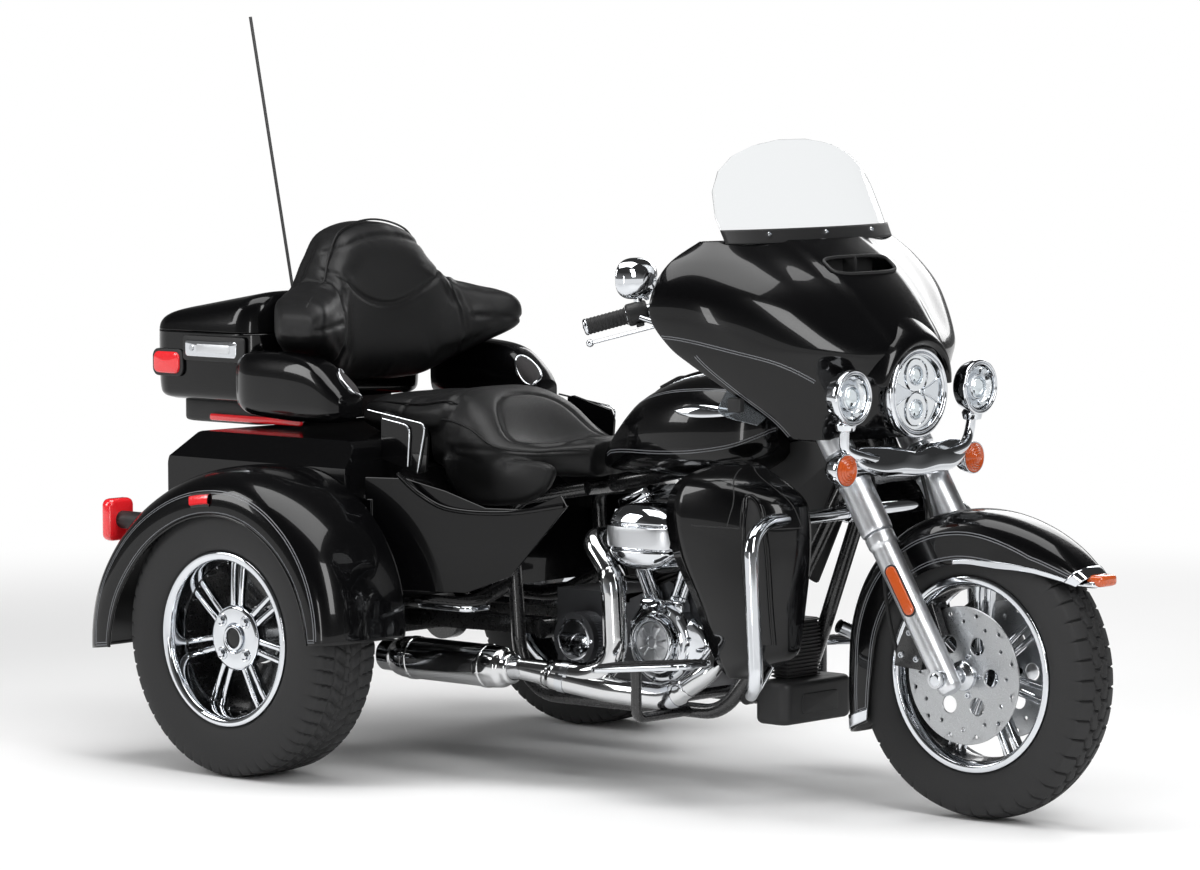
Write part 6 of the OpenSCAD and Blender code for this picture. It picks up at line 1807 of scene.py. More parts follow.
REAR_FENDER = [
    [2, 0.935, 0.9, 0.74], [20, 0.95, 0.93, 0.735], [45, 0.98, 0.96, 0.73], [75, 1, 0.98, 0.73],
    [100, 1.005, 0.98, 0.735], [125, 1.04, 1, 0.755], [150, 1.12, 1.06, 0.81],
    [170, 1.2, 1.13, 0.885], [187, 1.24, 1.16, 0.945],
]
# Crown radius, drop of the shoulder, and places across of the outer skirt and the body
REAR_FENDER_R, REAR_FENDER_DROP, REAR_FENDER_OUT, REAR_FENDER_IN = 390, 95, 695.0, 440.3
# Place of the left tail lamp
TAIL_LAMP = np.array([-468.0, 585, 560])


def rear_fender(k, v, side=1):
    """Fender skin about the rear axle: a shelf from the body, a round shoulder and a straight
    outer skirt; k runs from front to back and v from the body out to the opening's edge."""
    row = at_rows(REAR_FENDER, k)
    a = np.radians(row[..., 0])
    rc, ri, ro = np.moveaxis(row[..., 1:] * REAR_FENDER_R, -1, 0)
    rs, yo, yi = np.maximum(rc - REAR_FENDER_DROP, ro + 6), REAR_FENDER_OUT, REAR_FENDER_IN
    ym = mix(yi, yo, 0.35)
    w = np.clip((v - 0.3) / 0.45, 0, 1) * np.pi / 2
    t = np.clip(v / 0.3, 0, 1)
    shelf = ri + (rc - ri) * np.sin(t * np.pi / 2) ** 0.9
    y = np.where(v < 0.3, mix(yi, ym, t), ym + (yo - ym) * np.sin(w) ** 0.75)
    r = np.where(v < 0.3, shelf, rs + (rc - rs) * np.maximum(np.cos(w), 0) ** 0.75)
    r = np.where(v > 0.75, mix(rs, ro, (v - 0.75) / 0.25), r)
    return np.stack([r * np.cos(a), side * y, REAR_AXLE_Z + r * np.sin(a)], -1)


class TRIKE_OT_rear(Operator):
    """Rear fenders with pinstripes and markers, tail lamps and the trim of the rear body"""

    bl_idname = "trike.rear"
    bl_label = "Rear body"

    def execute(self, context):
        size = context.scene.trike_sizes
        ws = size.stripe_w / MM
        k, v = down(0, 1, 80), over(0, 1, 49)
        skins, lips, line, lamps, surrounds = [], [], [], [], []
        for s in (-1, 1):
            f = lambda a, b: rear_fender(a, b, s)
            away = (0, s * 560, REAR_AXLE_Z)
            skins.append(grid(spread(f, k, v)))
            edge = f(np.linspace(0, 1, 140), np.full(140, 1.0))
            lips.append(tube(edge, 4.0, (0, 1, 0.1), 10))
            q = np.linspace(0.02, 0.985, 120)
            line += stripes(f, q, 0.915, away, ws)
            line += stripes(f, q, 0.70 - 0.05 * np.sin(np.pi * q), away, ws)
            r = np.linspace(0.70, 0.915, 30)
            line += stripes(f, 0.985, r, away, ws)
            line += stripes(f, 0.02, r, away, ws)
            t = np.linspace(0.47, 0.525, 20)
            p, n = on(f, t, 0.70, away)
            lamps.append(strip(p, n, 26, 8, 0.35))
            surrounds.append(strip(p, n, 34, 3.5, 0.3))
        put("RearFenders", skins, "gloss_enamel", "chassis", "rear_fenders", wall=4.0, sharp=60)
        put("RearFenderLips", lips, "gloss_enamel", "chassis")
        put("RearFenderStripes", line, "silver_stripe", "chassis")
        put("SideMarkers", lamps, "red_acrylic", "chassis")
        put("SideMarkerFrames", surrounds, "moulded_abs", "chassis")
        self.tail()
        self.panels()
        return {"FINISHED"}

    def tail(self):
        """Tail lamps on stubs, and a blank plate and a handle on the door."""
        parts = []
        for s in (-1, 1):
            at = TAIL_LAMP * [1, s, 1]
            to = lambda a, b, h: np.stack([at[0] + 34 - h, at[1] + a, at[2] + b], -1)
            parts.append(slab(round_rect((-40, -50), (40, 50), 18), 32, 10, to))
        put("TailLamps", parts, "red_acrylic", "chassis", "tail_lamps")
        stub = [
            tube(
                np.array([TAIL_LAMP * [1, s, 1] + [u, 0, 0] for u in (32, 76, 118)]), 21,
                (0, 0, 1), 28
            )
            for s in (-1, 1)
        ]
        put("TailLampStubs", stub, "moulded_abs", "chassis")
        low, high = local_box("trunk_door")
        mid = (low + high) / 2
        to = lambda a, b, h: np.stack([low[0] - h + 2, a, mid[2] + b], -1)
        put(
            "NumberPlate", slab(round_rect((-92, -50), (92, 50), 8), 4, 1, to), "brushed_alloy",
            "trunk_door"
        )
        handle = lambda a, b, h: np.stack([low[0] - h + 2, mid[1] - 232 + a, mid[2] + b], -1)
        put(
            "DoorHandle", slab(round_rect((-46, -13), (46, 13), 10), 10, 4, handle),
            "chrome_plate", "trunk_door"
        )

    def panels(self):
        """Rolled beads and bright edge lines on the side panels beside the seat."""
        bead = [
            [284, 395, 696], [330, 370, 650], [393, 335, 616], [520, 285, 612], [654, 238, 634]
        ]
        lines = [
            [[123, 326, 830], [308, 326, 806], [280, 326, 692]],
            [[171, 326, 812], [258, 326, 800], [250, 326, 706]],
        ]
        put(
            "PanelBeads", mirrored([tube(rows(bead, 60), 6.0, (0, 0.2, 1), 12)]), "gloss_enamel",
            "chassis"
        )
        rails = [tube(bent(p, 24), 2.2, (0, 1, 0.1), 12) for p in lines]
        put("PanelEdges", mirrored(rails), "chrome_plate", "chassis")


# Engine, exhaust and the pieces low on the frame


CRANK = np.array([850.0, 0, 330])
VEE = np.radians(22.5)
LOW = [
    [0, 0.5, 0.72, 0.6], [0.12, 0.44, 0.84, 0.78], [0.35, 0.35, 0.93, 0.94], [0.6, 0.08, 1, 1],
    [0.8, 0, 0.98, 1], [0.93, 0.1, 0.84, 0.9], [1, 0.34, 0.66, 0.62],
]
LOW_BACK, LOW_FRONT, LOW_IN, LOW_OUT, LOW_Z, LOW_H = 1052.0, 1262.0, 128.0, 338.0, 285.0, 470.0


def leaned(part, way):
    """A part made about the engine's upright, leaned with one cylinder of the vee."""
    return copies(part, about_y(np.array([way * VEE])), CRANK[None])


def stack(lo, hi, half, fins, deep, corner):
    """Finned block: round-cornered outlines drawn in and out by a wave as they rise."""
    z = np.linspace(0, 1, 8 * fins + 1)
    draw = deep - deep * step(-0.55, 0.35, -np.cos(2 * np.pi * fins * z))
    half, rings = np.array(half), []
    for d, q in zip(draw, z):
        outline = round_rect(d - half, half - d, corner, 5)
        rings.append(np.column_stack([outline, np.full(20, mix(lo, hi, q))]))
    return grid(np.array(rings), (False, True), (True, True))


def side_on(u, z, y, sign=-1):
    """Place for a plate that stands on a side of the vehicle and grows away from it."""
    return lambda a, b, h: np.stack([u + a, y + sign * h, z + b], -1)


def flat_on(u, y, z):
    """Place for a plate that lies level and grows upward."""
    return lambda a, b, h: np.stack([u + a, y + b, z + h], -1)


def lower(k, w):
    """Leg shield: superellipse quarter sections whose edges follow the table."""
    row = at_rows(LOW, k)
    back, front = mix(LOW_BACK, LOW_FRONT, row[..., 1]), mix(LOW_BACK, LOW_FRONT, row[..., 2])
    out = mix(LOW_IN, LOW_OUT, row[..., 3])
    c, s = np.clip(np.cos(w), 0, 1) ** 0.55, np.clip(np.sin(w), 0, 1) ** 0.55
    return np.stack(
        [
            back + (front - back) * c, LOW_IN + (out - LOW_IN) * s,
            LOW_Z + row[..., 0] * LOW_H + 0 * w
        ],
        -1
    )


def cowl(k, w):
    """Leg shield drawn forward over the guard's cross tube, most where its sections face ahead."""
    ahead = (
        88 * np.clip(np.cos(w), 0, 1) ** 0.5 * step(0.02, 0.2, k) * (1 - 0.7 * step(0.68, 0.95, k))
    )
    return lower(k, w) + np.stack([ahead, 0 * ahead, 0 * ahead], -1)


class TRIKE_OT_engine(Operator):
    """Air-cooled vee twin with finned barrels, bright covers and the air cleaner"""

    bl_idname = "trike.engine"
    bl_label = "Engine"

    def execute(self, context):
        self.barrels()
        self.cases()
        self.right_side()
        self.air_cleaner()
        return {"FINISHED"}

    def barrels(self):
        """Barrels turned from a finned profile and parted at the middle, heads and covers."""
        z = np.linspace(125, 232, 121)
        tooth = step(-0.5, 0.1, np.cos(2 * np.pi * 10 * (z - 125) / 107 + np.pi))
        barrel = turned(np.column_stack([64 + 22 * tooth, z]), (0, 0, 0), "z", 56)
        head = stack(232, 300, (80, 80), 6, 7, 14)
        lug = block((-24, -124, 232), (24, -60, 266), 0.3, 14)
        tier = [
            slab(round_rect((-62 + d, -92 + d), (62 - d, 92 - d), 16), h, 6, flat_on(0, 0, z0))
            for d, z0, h in ((0, 300, 27), (10, 325, 27))
        ]
        rim = slab(round_rect((-64, -94), (64, 94), 17), 5, 2, flat_on(0, 0, 299))
        spots = [(x, y, 326.5) for x in (-54, 54) for y in (-82, 0, 82)]
        dark, bright = [], []
        for s in (-1, 1):
            V, q, t = leaned(barrel, s)
            V[:, 0] = CRANK[0] + s * np.maximum(1.5, s * (V[:, 0] - CRANK[0]))
            dark += [(V, q, t), leaned(head, s), leaned(lug, s)]
            bright += [leaned(p, s) for p in tier + [rim, bolts(spots, (0, 0, 1), 5, 4)]]
        put("FinnedCylinders", dark, "powder_coat", "chassis", "cylinders", sharp=50)
        put("RockerCovers", bright, "chrome_plate", "chassis", "rocker_covers")
        rims = [
            leaned(
                turned(
                    [(86.2, 134.5 + 10.7 * i), (86.2, 136.7 + 10.7 * i)], (0, 0, 0), "z", 72,
                    (np.pi / 2 - 0.9, np.pi / 2 + 0.9)
                ),
                s
            )
            for s in (-1, 1)
            for i in range(9)
        ]
        put("FinEdges", rims, "polished_alloy", "chassis")

    def cases(self):
        """Left primary cover with its derby and inspection covers, and the gearbox's cover."""
        at = side_on(CRANK[0], CRANK[2], 100, 1)
        a = np.linspace(-np.pi / 2, np.pi / 2, 40)
        loop = lambda d: np.vstack(
            [
                np.column_stack([(104 - d) * np.cos(a), (104 - d) * np.sin(a)]),
                np.column_stack([-262 - (84 - d) * np.cos(a), -(84 - d) * np.sin(a)])
            ]
        )
        put(
            "PrimaryCover", slab(loop(0), 84, 24, at, 8), "chrome_plate", "chassis",
            "primary_cover", sharp=60
        )
        face = lambda u, z: side_on(CRANK[0] + u, CRANK[2] + z, 183, 1)
        derby = spun([(0.1, 9), (52, 8), (60, 4), (62, -2)], 4, CRANK + [-225, 183, 0], "y", 64)
        window = slab(round_rect((-58, -38), (58, 38), 30, 10), 7, 3, face(-60, 0))
        spots = round_places(CRANK + [-225, 191, 0], 52, np.arange(5) * 2 * np.pi / 5 + 0.3)
        rim = loop(12)[::8]
        rim = np.column_stack([CRANK[0] + rim[:, 0], np.full(len(rim), 176), CRANK[2] + rim[:, 1]])
        put(
            "PrimaryFittings",
            [derby, window, bolts(spots, (0, 1, 0), 5, 3), bolts(rim, (0, 1, 0), 5, 8)],
            "polished_alloy", "chassis"
        )
        lid = spun(
            [(0.1, -53), (46, -53), (56, -48), (62, -40), (62, 0)], 5, CRANK + [-249, -95, -13],
            "y", 56
        )
        spots = round_places(CRANK + [-249, -143, -13], 53, np.arange(6) * np.pi / 3)
        put("GearboxCover", [lid, bolts(spots, (0, -1, 0), 5, 5)], "chrome_plate", "chassis")

    def right_side(self):
        """Timing cover with its ring, tappet blocks, pushrod tubes with collars and the nose."""
        at = CRANK + [0, -100, 0]
        disc = spun([(96, 0), (96, -30), (84, -39), (66, -40), (64, -50)], 5, at, "y", 80)
        ring = spun(
            [(63, -36), (63, -62), (57, -66), (50, -64), (48, -58), (47, -56)], 4, at, "y", 80
        )
        r, w = down(0.1, 47, 24), circle(120)
        lift = (
            58 + 2.0 * step(0.2, 0.6, np.cos(5 * w)) * step(12, 16, r) * step(44, 38, r)
            + 2 * step(14, 10, r)
        )
        face = grid(at + np.stack([r * np.cos(w), -lift, r * np.sin(w)], -1), (False, True))
        spots = round_places(at + [0, -38, 0], 86, np.arange(10) * np.pi / 5 + 0.15)
        small = round_places(at + [0, -66, 0], 55.5, np.arange(5) * 2 * np.pi / 5 + 0.5)
        blocks = [
            block(CRANK + [s * 34 - 31, -132, 4], CRANK + [s * 34 + 31, -98, 96], 0.3, 16)
            for s in (-1, 1)
        ]
        nose = slab(
            [(40, -70), (118, -52), (150, -6), (132, 34), (92, 62), (60, 40)], 62, 16,
            side_on(*(CRANK[[0, 2]]), -72), 6
        )
        put(
            "TimingCover", [disc, ring, nose] + blocks + [bolts(spots, (0, -1, 0), 5, 4)],
            "chrome_plate", "chassis", "cam_cover", sharp=60
        )
        put("TimingFace", [face, bolts(small, (0, -1, 0), 3.5, 2.5)], "brushed_alloy", "chassis")
        rods = []
        for s in (-1, 1):
            up = np.array([s * np.sin(VEE), 0, np.cos(VEE)])
            fore = np.array([np.cos(VEE), 0, -s * np.sin(VEE)])
            for k in (-1, 1):
                foot = CRANK + [s * 33 + k * 13, -112, 87]
                top = CRANK + 232 * up + 13 * k * fore + [0, -112, 0]
                share = np.array(
                    [0, 0.08, 0.09, 0.14, 0.15, 0.44, 0.45, 0.58, 0.59, 0.88, 0.89, 0.96, 1]
                )
                r = np.array([12, 12, 13.5, 13.5, 9.5, 9.5, 11.5, 11.5, 8, 8, 12, 12, 12.0])
                rods.append(tube(foot + share[:, None] * (top - foot), r, (0.2, 1, 0.1), 24))
        put("PushrodTubes", rods, "chrome_plate", "chassis")

    def air_cleaner(self):
        """Domed cover: a superellipse outline swollen outwards, with a brushed band across."""
        mid = CRANK + [15, -150, 245]

        def dome(k, w):
            r = np.sin(k * np.pi / 2) ** 0.7
            stretch = 1 + 0.05 * np.cos(w)
            a, b = 104 * r * stretch * spow(np.cos(w), 0.8), 76 * r * spow(np.sin(w), 0.8)
            crease = 7 * np.exp(-(((np.abs(b) - 27) / 3.0) ** 2)) * step(1.0, 0.8, k)
            return mid + np.stack([a, -98 * np.cos(k * np.pi / 2) ** 0.42 + crease, b], -1)

        k, w = down(0.002, 1, 56), circle(120)
        put(
            "AirCleaner", grid(spread(dome, k, w), (False, True), (True, True)), "chrome_plate",
            "chassis", "air_cleaner", sharp=60
        )
        x, z = down(-1, 1, 50), over(-22, 22, 12)
        half = 96 * np.sqrt(1 - (z / 80) ** 2)
        c, d = spow(half * x / 107, 1 / 0.8), spow(z / 76 + 0 * x, 1 / 0.8)
        rr = np.clip(np.hypot(c, d), 0.01, 0.995) ** 0.8
        kk = np.arcsin(rr ** (1 / 0.7)) * 2 / np.pi
        put(
            "AirCleanerBand", band(dome, kk, np.arctan2(d, c), mid, 1.6), "brushed_alloy",
            "chassis"
        )
        back = spun([(40, -8), (70, -8), (84, 4), (84, 16)], 6, mid + [0, 4, -4], "y", 64)
        stub = turned([(30, 0), (30, 72)], mid, "y", 40)
        put("AirCleanerBack", [back, stub], "moulded_abs", "chassis")


class TRIKE_OT_exhaust(Operator):
    """Headers with heat shields and clamps, and the two mufflers"""

    bl_idname = "trike.exhaust"
    bl_label = "Exhaust"

    def execute(self, context):
        c, s = np.cos(VEE), np.sin(VEE)
        port = CRANK + 80.3 * np.array([c, 0, -s]) + 262 * np.array([s, 0, c]) + [0, -40, 0]
        join = np.array([536.0, -280, 262])
        rear = np.array(
            [
                [700, -80.3, 560], [700, -202.3, 560], [790, -222, 480], [802, -224, 300],
                [745, -236, 252]
            ]
        )
        front = CRANK + np.array(
            [[235, -70, 120], [215, -205, -40], [120, -228, -106], [-60, -232, -104]]
        )
        rear = bent(np.vstack([rear, join]), 40)
        front = bent(np.vstack([port, port + 48 * np.array([c, 0, -s]), front, join]), 40)
        pipes = [tube(rear, 24, (1, 0, 0.3), 24), tube(front, 24, (0.1, 1, 0.1), 24)]
        shell = rounded(
            [
                (0.1, 560), (30, 560), (36, 555), (37, 538), (46, 530), (48.5, 500), (48.5, 226),
                (44, 200), (37, 192), (36.5, 152), (33, 149), (31, 154), (31, 220)
            ],
            7
        )
        bands = [
            spun([(48, u), (50.5, u + 2), (50.5, u + 16), (48, u + 18)], 2, (0, 0, 0), "x", 64)
            for u in (240, 470)
        ]
        mufflers = mirrored(
            [moved(p, (0, 300, 262)) for p in [turned(shell, (0, 0, 0), "x", 52)] + bands]
        )
        rods = mirrored([tube(np.array([[437.0, 167.3, 262], [437, 260, 262]]), 10, (1, 0, 0))])
        put("Exhaust", pipes + mufflers + rods, "exhaust_chrome", "chassis", "exhaust", sharp=50)
        self.shields(rear, front)
        return {"FINISHED"}

    def shields(self, rear, front):
        """Half-round shields stood off the headers, with clamps near their ends."""
        parts, clamps = [], []
        for path, ref, lo, hi, out in (
            (rear, (1, 0, 0.3), 0.3, 0.86, (-0.1, -1, 0.1)),
            (front, (0.1, 1, 0.1), 0.45, 0.9, (0, -1, -0.1))
        ):
            far = np.linalg.norm(np.diff(path, axis=0), axis=1)
            place = np.concatenate([[0], np.cumsum(far)]) / far.sum()
            t = np.linspace(lo, hi, 60)
            p = np.column_stack([np.interp(t, place, path[:, i]) for i in range(3)])
            tangent = unit(np.gradient(p, axis=0))
            face = unit(np.asarray(out) - (tangent @ np.asarray(out))[:, None] * tangent)
            side = np.cross(tangent, face)
            w = np.linspace(-1.9, 1.9, 19)
            fat = 29.5 * np.clip(np.minimum(t - lo, hi - t) / 0.02, 0.86, 1)[:, None, None]
            parts.append(
                grid(
                    p[:, None]
                    + fat * (
                        np.cos(w)[None, :, None] * face[:, None]
                        + np.sin(w)[None, :, None] * side[:, None]
                    )
                )
            )
            for i in (6, 51):
                clamps.append(tube(p[i - 1 : i + 3], 31.2, ref, 40))
        put("HeatShields", parts, "exhaust_chrome", "chassis", wall=1.6)
        put("ShieldClamps", clamps, "polished_alloy", "chassis")


class TRIKE_OT_lower(Operator):
    """Leg shields, guard tube, oil cooler, chin cover and footboards"""

    bl_idname = "trike.lower"
    bl_label = "Lower fairings"

    def execute(self, context):
        self.shields()
        self.front()
        self.boards()
        return {"FINISHED"}

    def shields(self):
        """Skins drawn forward over the guard, with a rolled rim round its arch and box seams."""
        k, t = down(0, 1, 72), over(0, 1, 52)
        gap = (LOW_OUT - LOW_IN) * at_rows(LOW, k)[..., 3]
        inner = np.arcsin(np.clip(72 / gap, 0, 0.9) ** (1 / 0.55))
        skin = spread(cowl, k, mix(inner, np.pi / 2, t))
        put(
            "LowerFairings", mirrored([grid(skin)]), "gloss_enamel", "chassis", "lower_fairings",
            wall=5.0, sharp=60
        )
        mid, t = (1150, 150, 520), np.linspace(0, 1, 90)
        lines = []
        for a, b in (
            ((0.6, 0.6), (0.25, 1.5)), ((0.6, 0.96), (1.22, 0.95)), ((0.6, 0.97), (0.25, 0.6))
        ):
            p, n = on(cowl, mix(a[0], a[1], t), mix(b[0], b[1], t), mid)
            lines.append(strip(p, n, 3.0, 0.5))
        put("GloveBoxSeams", mirrored(lines), "moulded_rubber", "chassis")
        a = np.linspace(-1, 1, 80)
        p, n = on(cowl, 0.75 - 0.53 * np.abs(a) ** 3.2, 0.9 + 0.2 * a, mid)
        put(
            "GuardArches", mirrored([tube(p + 0.5 * n, 6.0, (0.2, 0.4, 1), 12)]), "gloss_enamel",
            "chassis"
        )
        q = down(0, 1, 40)
        x = over(-1, 1, 25)
        half = 0.185 * (1 - q**6) ** 0.3
        p, n = on(cowl, mix(0.22, 0.745, q), 0.9 + half * x, mid)
        put("GuardRecess", mirrored([grid(p + 0.8 * n)]), "moulded_rubber", "chassis")

    def front(self):
        """Guard tube along its bent path, finned oil cooler and the box under the frame."""
        u = 1320.47
        half = [
            [u, 0, 645], [u, 324, 645], [u + 12, 384, 605], [u + 28, 384, 302], [u - 40, 324, 262],
            [1186, 92.7, 372]
        ]
        guard = tube(bent(half, 34), 15.9, (1, 0.2, 0), 32)
        clamp = moved(
            spun([(15, -14), (22, -14), (22, 14), (15, 14)], 3, (0, 0, 0), "y", 40), (u, 34, 645)
        )
        put(
            "EngineGuard", mirrored([guard, clamp]), "chrome_plate", "chassis", "engine_guard",
            sharp=60
        )
        cooler = moved(stack(264, 394, (25, 58), 16, 5, 3), (1138, 0, 0))
        chin = slab(
            round_rect((1112, -120), (1208, 120), 26), 96, 14,
            lambda a, b, h: np.stack([a, b, 168 + h], -1), 6
        )
        door = slab(
            round_rect((-62, 190), (62, 236), 8), 4, 2,
            lambda a, b, h: np.stack([1206 + h, a, b], -1)
        )
        put("ChinCover", [cooler, chin, door], "moulded_abs", "chassis", "chin_cover", sharp=45)

    def boards(self):
        """Rubber-topped footboards in bright edges with their stays, front and rear."""
        c, s = np.cos(np.radians(6)), np.sin(np.radians(6))
        sloped = lambda a, b, h: np.stack(
            [846 + a * c - h * s, b + 0 * a, 282 + a * s + h * c], -1
        )
        level = lambda a, b, h: np.stack([330 + a, b + 0 * a, 392 + h], -1)
        trim, pads = [], []
        for at, l, lo, hi, r, ribs in (
            (sloped, 290, 262, 380, 35, 15), (level, 170, 300, 392, 27, 9)
        ):
            trim.append(slab(round_rect((0, lo), (l, hi), r), 13, 4, at))
            lift = lambda a, b, h, at=at: at(a, b, h + 9)
            pads.append(slab(round_rect((9, lo + 9), (l - 9, hi - 9), r - 8), 6, 2, lift))
            x = np.linspace(26, l - 26, ribs)
            rib = lambda a, b, h, at=at: at(a, b, h + 14)
            pads += [
                slab(round_rect((v - 4, lo + 22), (v + 4, hi - 22), 3, 3), 4, 1.5, rib, 3)
                for v in x
            ]
        stays = [
            [[947, 150, 185], [947, 321, 185], [947, 321, 290]], [[356, 166, 399], [356, 346, 399]]
        ]
        black = [
            tube(bent(stays[0], 24), 12, (1, 0, 0), 24),
            tube(np.array(stays[1], float), 5.6, (1, 0, 0), 16)
        ]
        put("FootboardEdges", mirrored(trim), "chrome_plate", "chassis", "footboards")
        put("FootboardPads", mirrored(pads), "moulded_rubber", "chassis")
        put("FootboardStays", mirrored(black), "frame_enamel", "chassis")


class TRIKE_OT_frame(Operator):
    """Frame of bent tubes with its head tube, cross members and neck covers"""

    bl_idname = "trike.frame"
    bl_label = "Frame"

    def execute(self, context):
        top = HEAD - 35 * STEER_UP - 36 * STEER_FORE + [0, 30, 0]
        loop = [
            top, [1130, 92, 330], [1035, 130, 185], [497, 150, 185], [437, 150, 255],
            [407, 150, 628], [560, 60, 655]
        ]
        tail = [[422, 150, 440], [280, 150, 372], [-400, 150, 372]]
        sides = [
            tube(bent(loop, 55), 17, (0.2, 1, 0.1), 24), tube(bent(tail, 55), 17, (0, 1, 0), 24)
        ]
        spine = tube(np.linspace(HEAD - 18 * STEER_FORE, [592.0, 0, 665], 12), 20, (0, 1, 0), 24)
        bars = [
            (560, 655, 60, 17), (850, 198.7, 150, 13), (601, 211.7, 150, 13), (-383, 372, 150, 17),
            (1093.7, 225.6, 120, 18)
        ]
        cross = [
            tube(np.array([[u, -h, z], [u, h, z]], float), r, (1, 0, 0), 24) for u, z, h, r in bars
        ]
        head = along(
            lathe(
                [
                    (19, 80), (36, 80), (36, 60), (33, 56), (33, -56), (36, -60), (36, -80),
                    (19, -80)
                ],
                3, 48
            ),
            STEER_UP, HEAD
        )
        put(
            "FrameTubes", mirrored(sides) + [spine, head] + cross, "frame_enamel", "chassis",
            "frame"
        )
        neck = [
            (1325, 795), (1212, 560), (1168, 470), (1140, 480), (1106, 600), (1076, 700),
            (1022, 735), (1022, 760), (1180, 796)
        ]
        plate = slab(bent_outline(neck, 9), 5, 1.5, lambda a, b, h: np.stack([a, 38 + h, b], -1))
        put("NeckCovers", mirrored([plate]), "moulded_abs", "chassis")
        return {"FINISHED"}


# Handlebar, hand controls and mirrors


GRIP_IN, GRIP_OUT = np.array([WHEELBASE - 690, 318, 1090]), np.array([WHEELBASE - 786, 412, 1054])
MIRROR_AT = np.array([WHEELBASE - 640, 424, 1166])
MIRROR = [[0, 0.92], [0.12, 1], [0.5, 0.92], [0.8, 0.66], [1, 0.3]]


def mirror(k, w):
    """Mirror shell: superellipse outlines that grow, then draw in towards its rounded back."""
    row = at_rows(MIRROR, k)
    return MIRROR_AT + np.stack(
        [
            row[..., 0] * 48, row[..., 1] * 59 * spow(np.cos(w), 0.8),
            row[..., 1] * 45 * spow(np.sin(w), 0.8)
        ],
        -1
    )


class TRIKE_OT_bars(Operator):
    """Bent handlebar with grips, switch housings, levers and mirrors"""

    bl_idname = "trike.bars"
    bl_label = "Handlebar"

    def execute(self, context):
        mid = HEAD + 200.3 * STEER_UP - 70 * STEER_FORE
        way = unit(GRIP_OUT - GRIP_IN)
        half = [
            mid, mid + [0, 110, 0], [WHEELBASE - 560, 215, 1080], GRIP_IN - 54.5 * way, GRIP_OUT
        ]
        riser = along(
            lathe([(0.1, 104), (19, 104), (21, 84), (16, 70), (15, 12), (19, 0)], 4, 36), STEER_UP,
            HEAD + 114.6 * STEER_UP - 70 * STEER_FORE + [0, 46, 0]
        )
        put(
            "Handlebar", mirrored([tube(bent(half, 42), 13, (0, 0, 1), 28), riser]),
            "chrome_plate", "steering", "handlebar"
        )
        length = np.linalg.norm(GRIP_OUT - GRIP_IN)
        s = np.linspace(48, length - 2, 81)
        ribs = 17.2 + 1.0 * step(
            -0.2, 0.3, np.cos(2 * np.pi * (s - 48) / 8.5)
        ) + 2.2 * step(54, 48, s)
        grip = turned(np.column_stack([ribs, s]), (0, 0, 0), "z", 40)
        cap = lathe(
            [(17.5, length - 3), (19, length - 1), (17, length + 5), (0.1, length + 7.5)], 3, 40
        )
        box = lathe([(14, -1), (22, -1), (25, 4), (25, 43), (22, 47), (17, 47)], 4, 40)
        keys = [
            moved(
                slab(
                    round_rect((-6, -9), (6, 9), 3), 5, 2,
                    lambda a, b, h: np.stack([-24 - h, a, 23 + b], -1)
                ),
                (0, y, 0)
            )
            for y in (-9, 8)
        ]
        put(
            "Grips", mirrored([along(grip, way, GRIP_IN)]), "moulded_rubber", "steering",
            "hand_controls"
        )
        put("GripEnds", mirrored([along(cap, way, GRIP_IN)]), "chrome_plate", "steering")
        put(
            "SwitchBoxes", mirrored([along(p, way, GRIP_IN) for p in [box] + keys]), "moulded_abs",
            "steering"
        )
        start = GRIP_IN + 18.4 * way + [17.5, 12.5, -10]
        path = bent([start, GRIP_IN + [62, 22, -28], GRIP_OUT + [24, 14, -34]], 25)
        t = np.linspace(0, 1, len(path))
        ball = turned(
            [(8.6 * np.sin(a), 8.6 * np.cos(a)) for a in np.linspace(0.01, 3.13, 18)], path[-1],
            "z", 24
        )
        lever = tube(
            path, np.interp(t, [0, 0.3, 0.6, 1], [8.5, 7.5, 6, 5]), (0, 0, 1), 16, squash=0.8
        )
        put("Levers", mirrored([lever, ball]), "chrome_plate", "steering")
        self.mirrors(way)
        return {"FINISHED"}

    def mirrors(self, way):
        """Bright shells with the glass let in, on bent stems."""
        k, w = down(0, 1, 32), circle(64)
        shell = grid(spread(mirror, k, w), (False, True), (False, True))
        foot = GRIP_IN + 20.7 * way + [0, 0, 28.5]
        end = MIRROR_AT + [19.2, 0, 0]
        stem = tube(
            bent([foot, foot + [0, 0, 18], MIRROR_AT + [14.4, -35.4, -45], end], 16), 6, (1, 0, 0),
            20
        )
        nut = along(lathe([(0.1, 12), (9, 12), (11, 8), (11, -4)], 2, 6), (0, 0, 1), foot)
        put(
            "Mirrors", mirrored([shell, stem, nut]), "chrome_plate", "steering", "mirrors",
            sharp=60
        )
        rim = mirror(0 * w[0], w[0])
        middle = rim.mean(0)
        q = np.array([1, 0.97, 0.95, 0.6, 0.3, 0.002])[:, None, None]
        sink = np.array([0, 1.5, 2.5, 1.6, 1.2, 1.0])[:, None, None] * [1, 0, 0]
        put(
            "MirrorGlass",
            mirrored([grid(middle + (rim - middle)[None] * q + sink, (False, True))]),
            "mirror_glass", "steering"
        )


# Stage


CAMERA_AT = np.array([8395.6, -8661.2, 1716.3])
# Strength of the studio's light on matt surfaces
EVEN_LIGHT = 0.3
CAMERA_YAW, CAMERA_PITCH, CAMERA_ROLL = 2.3068, -0.0805, -0.0032


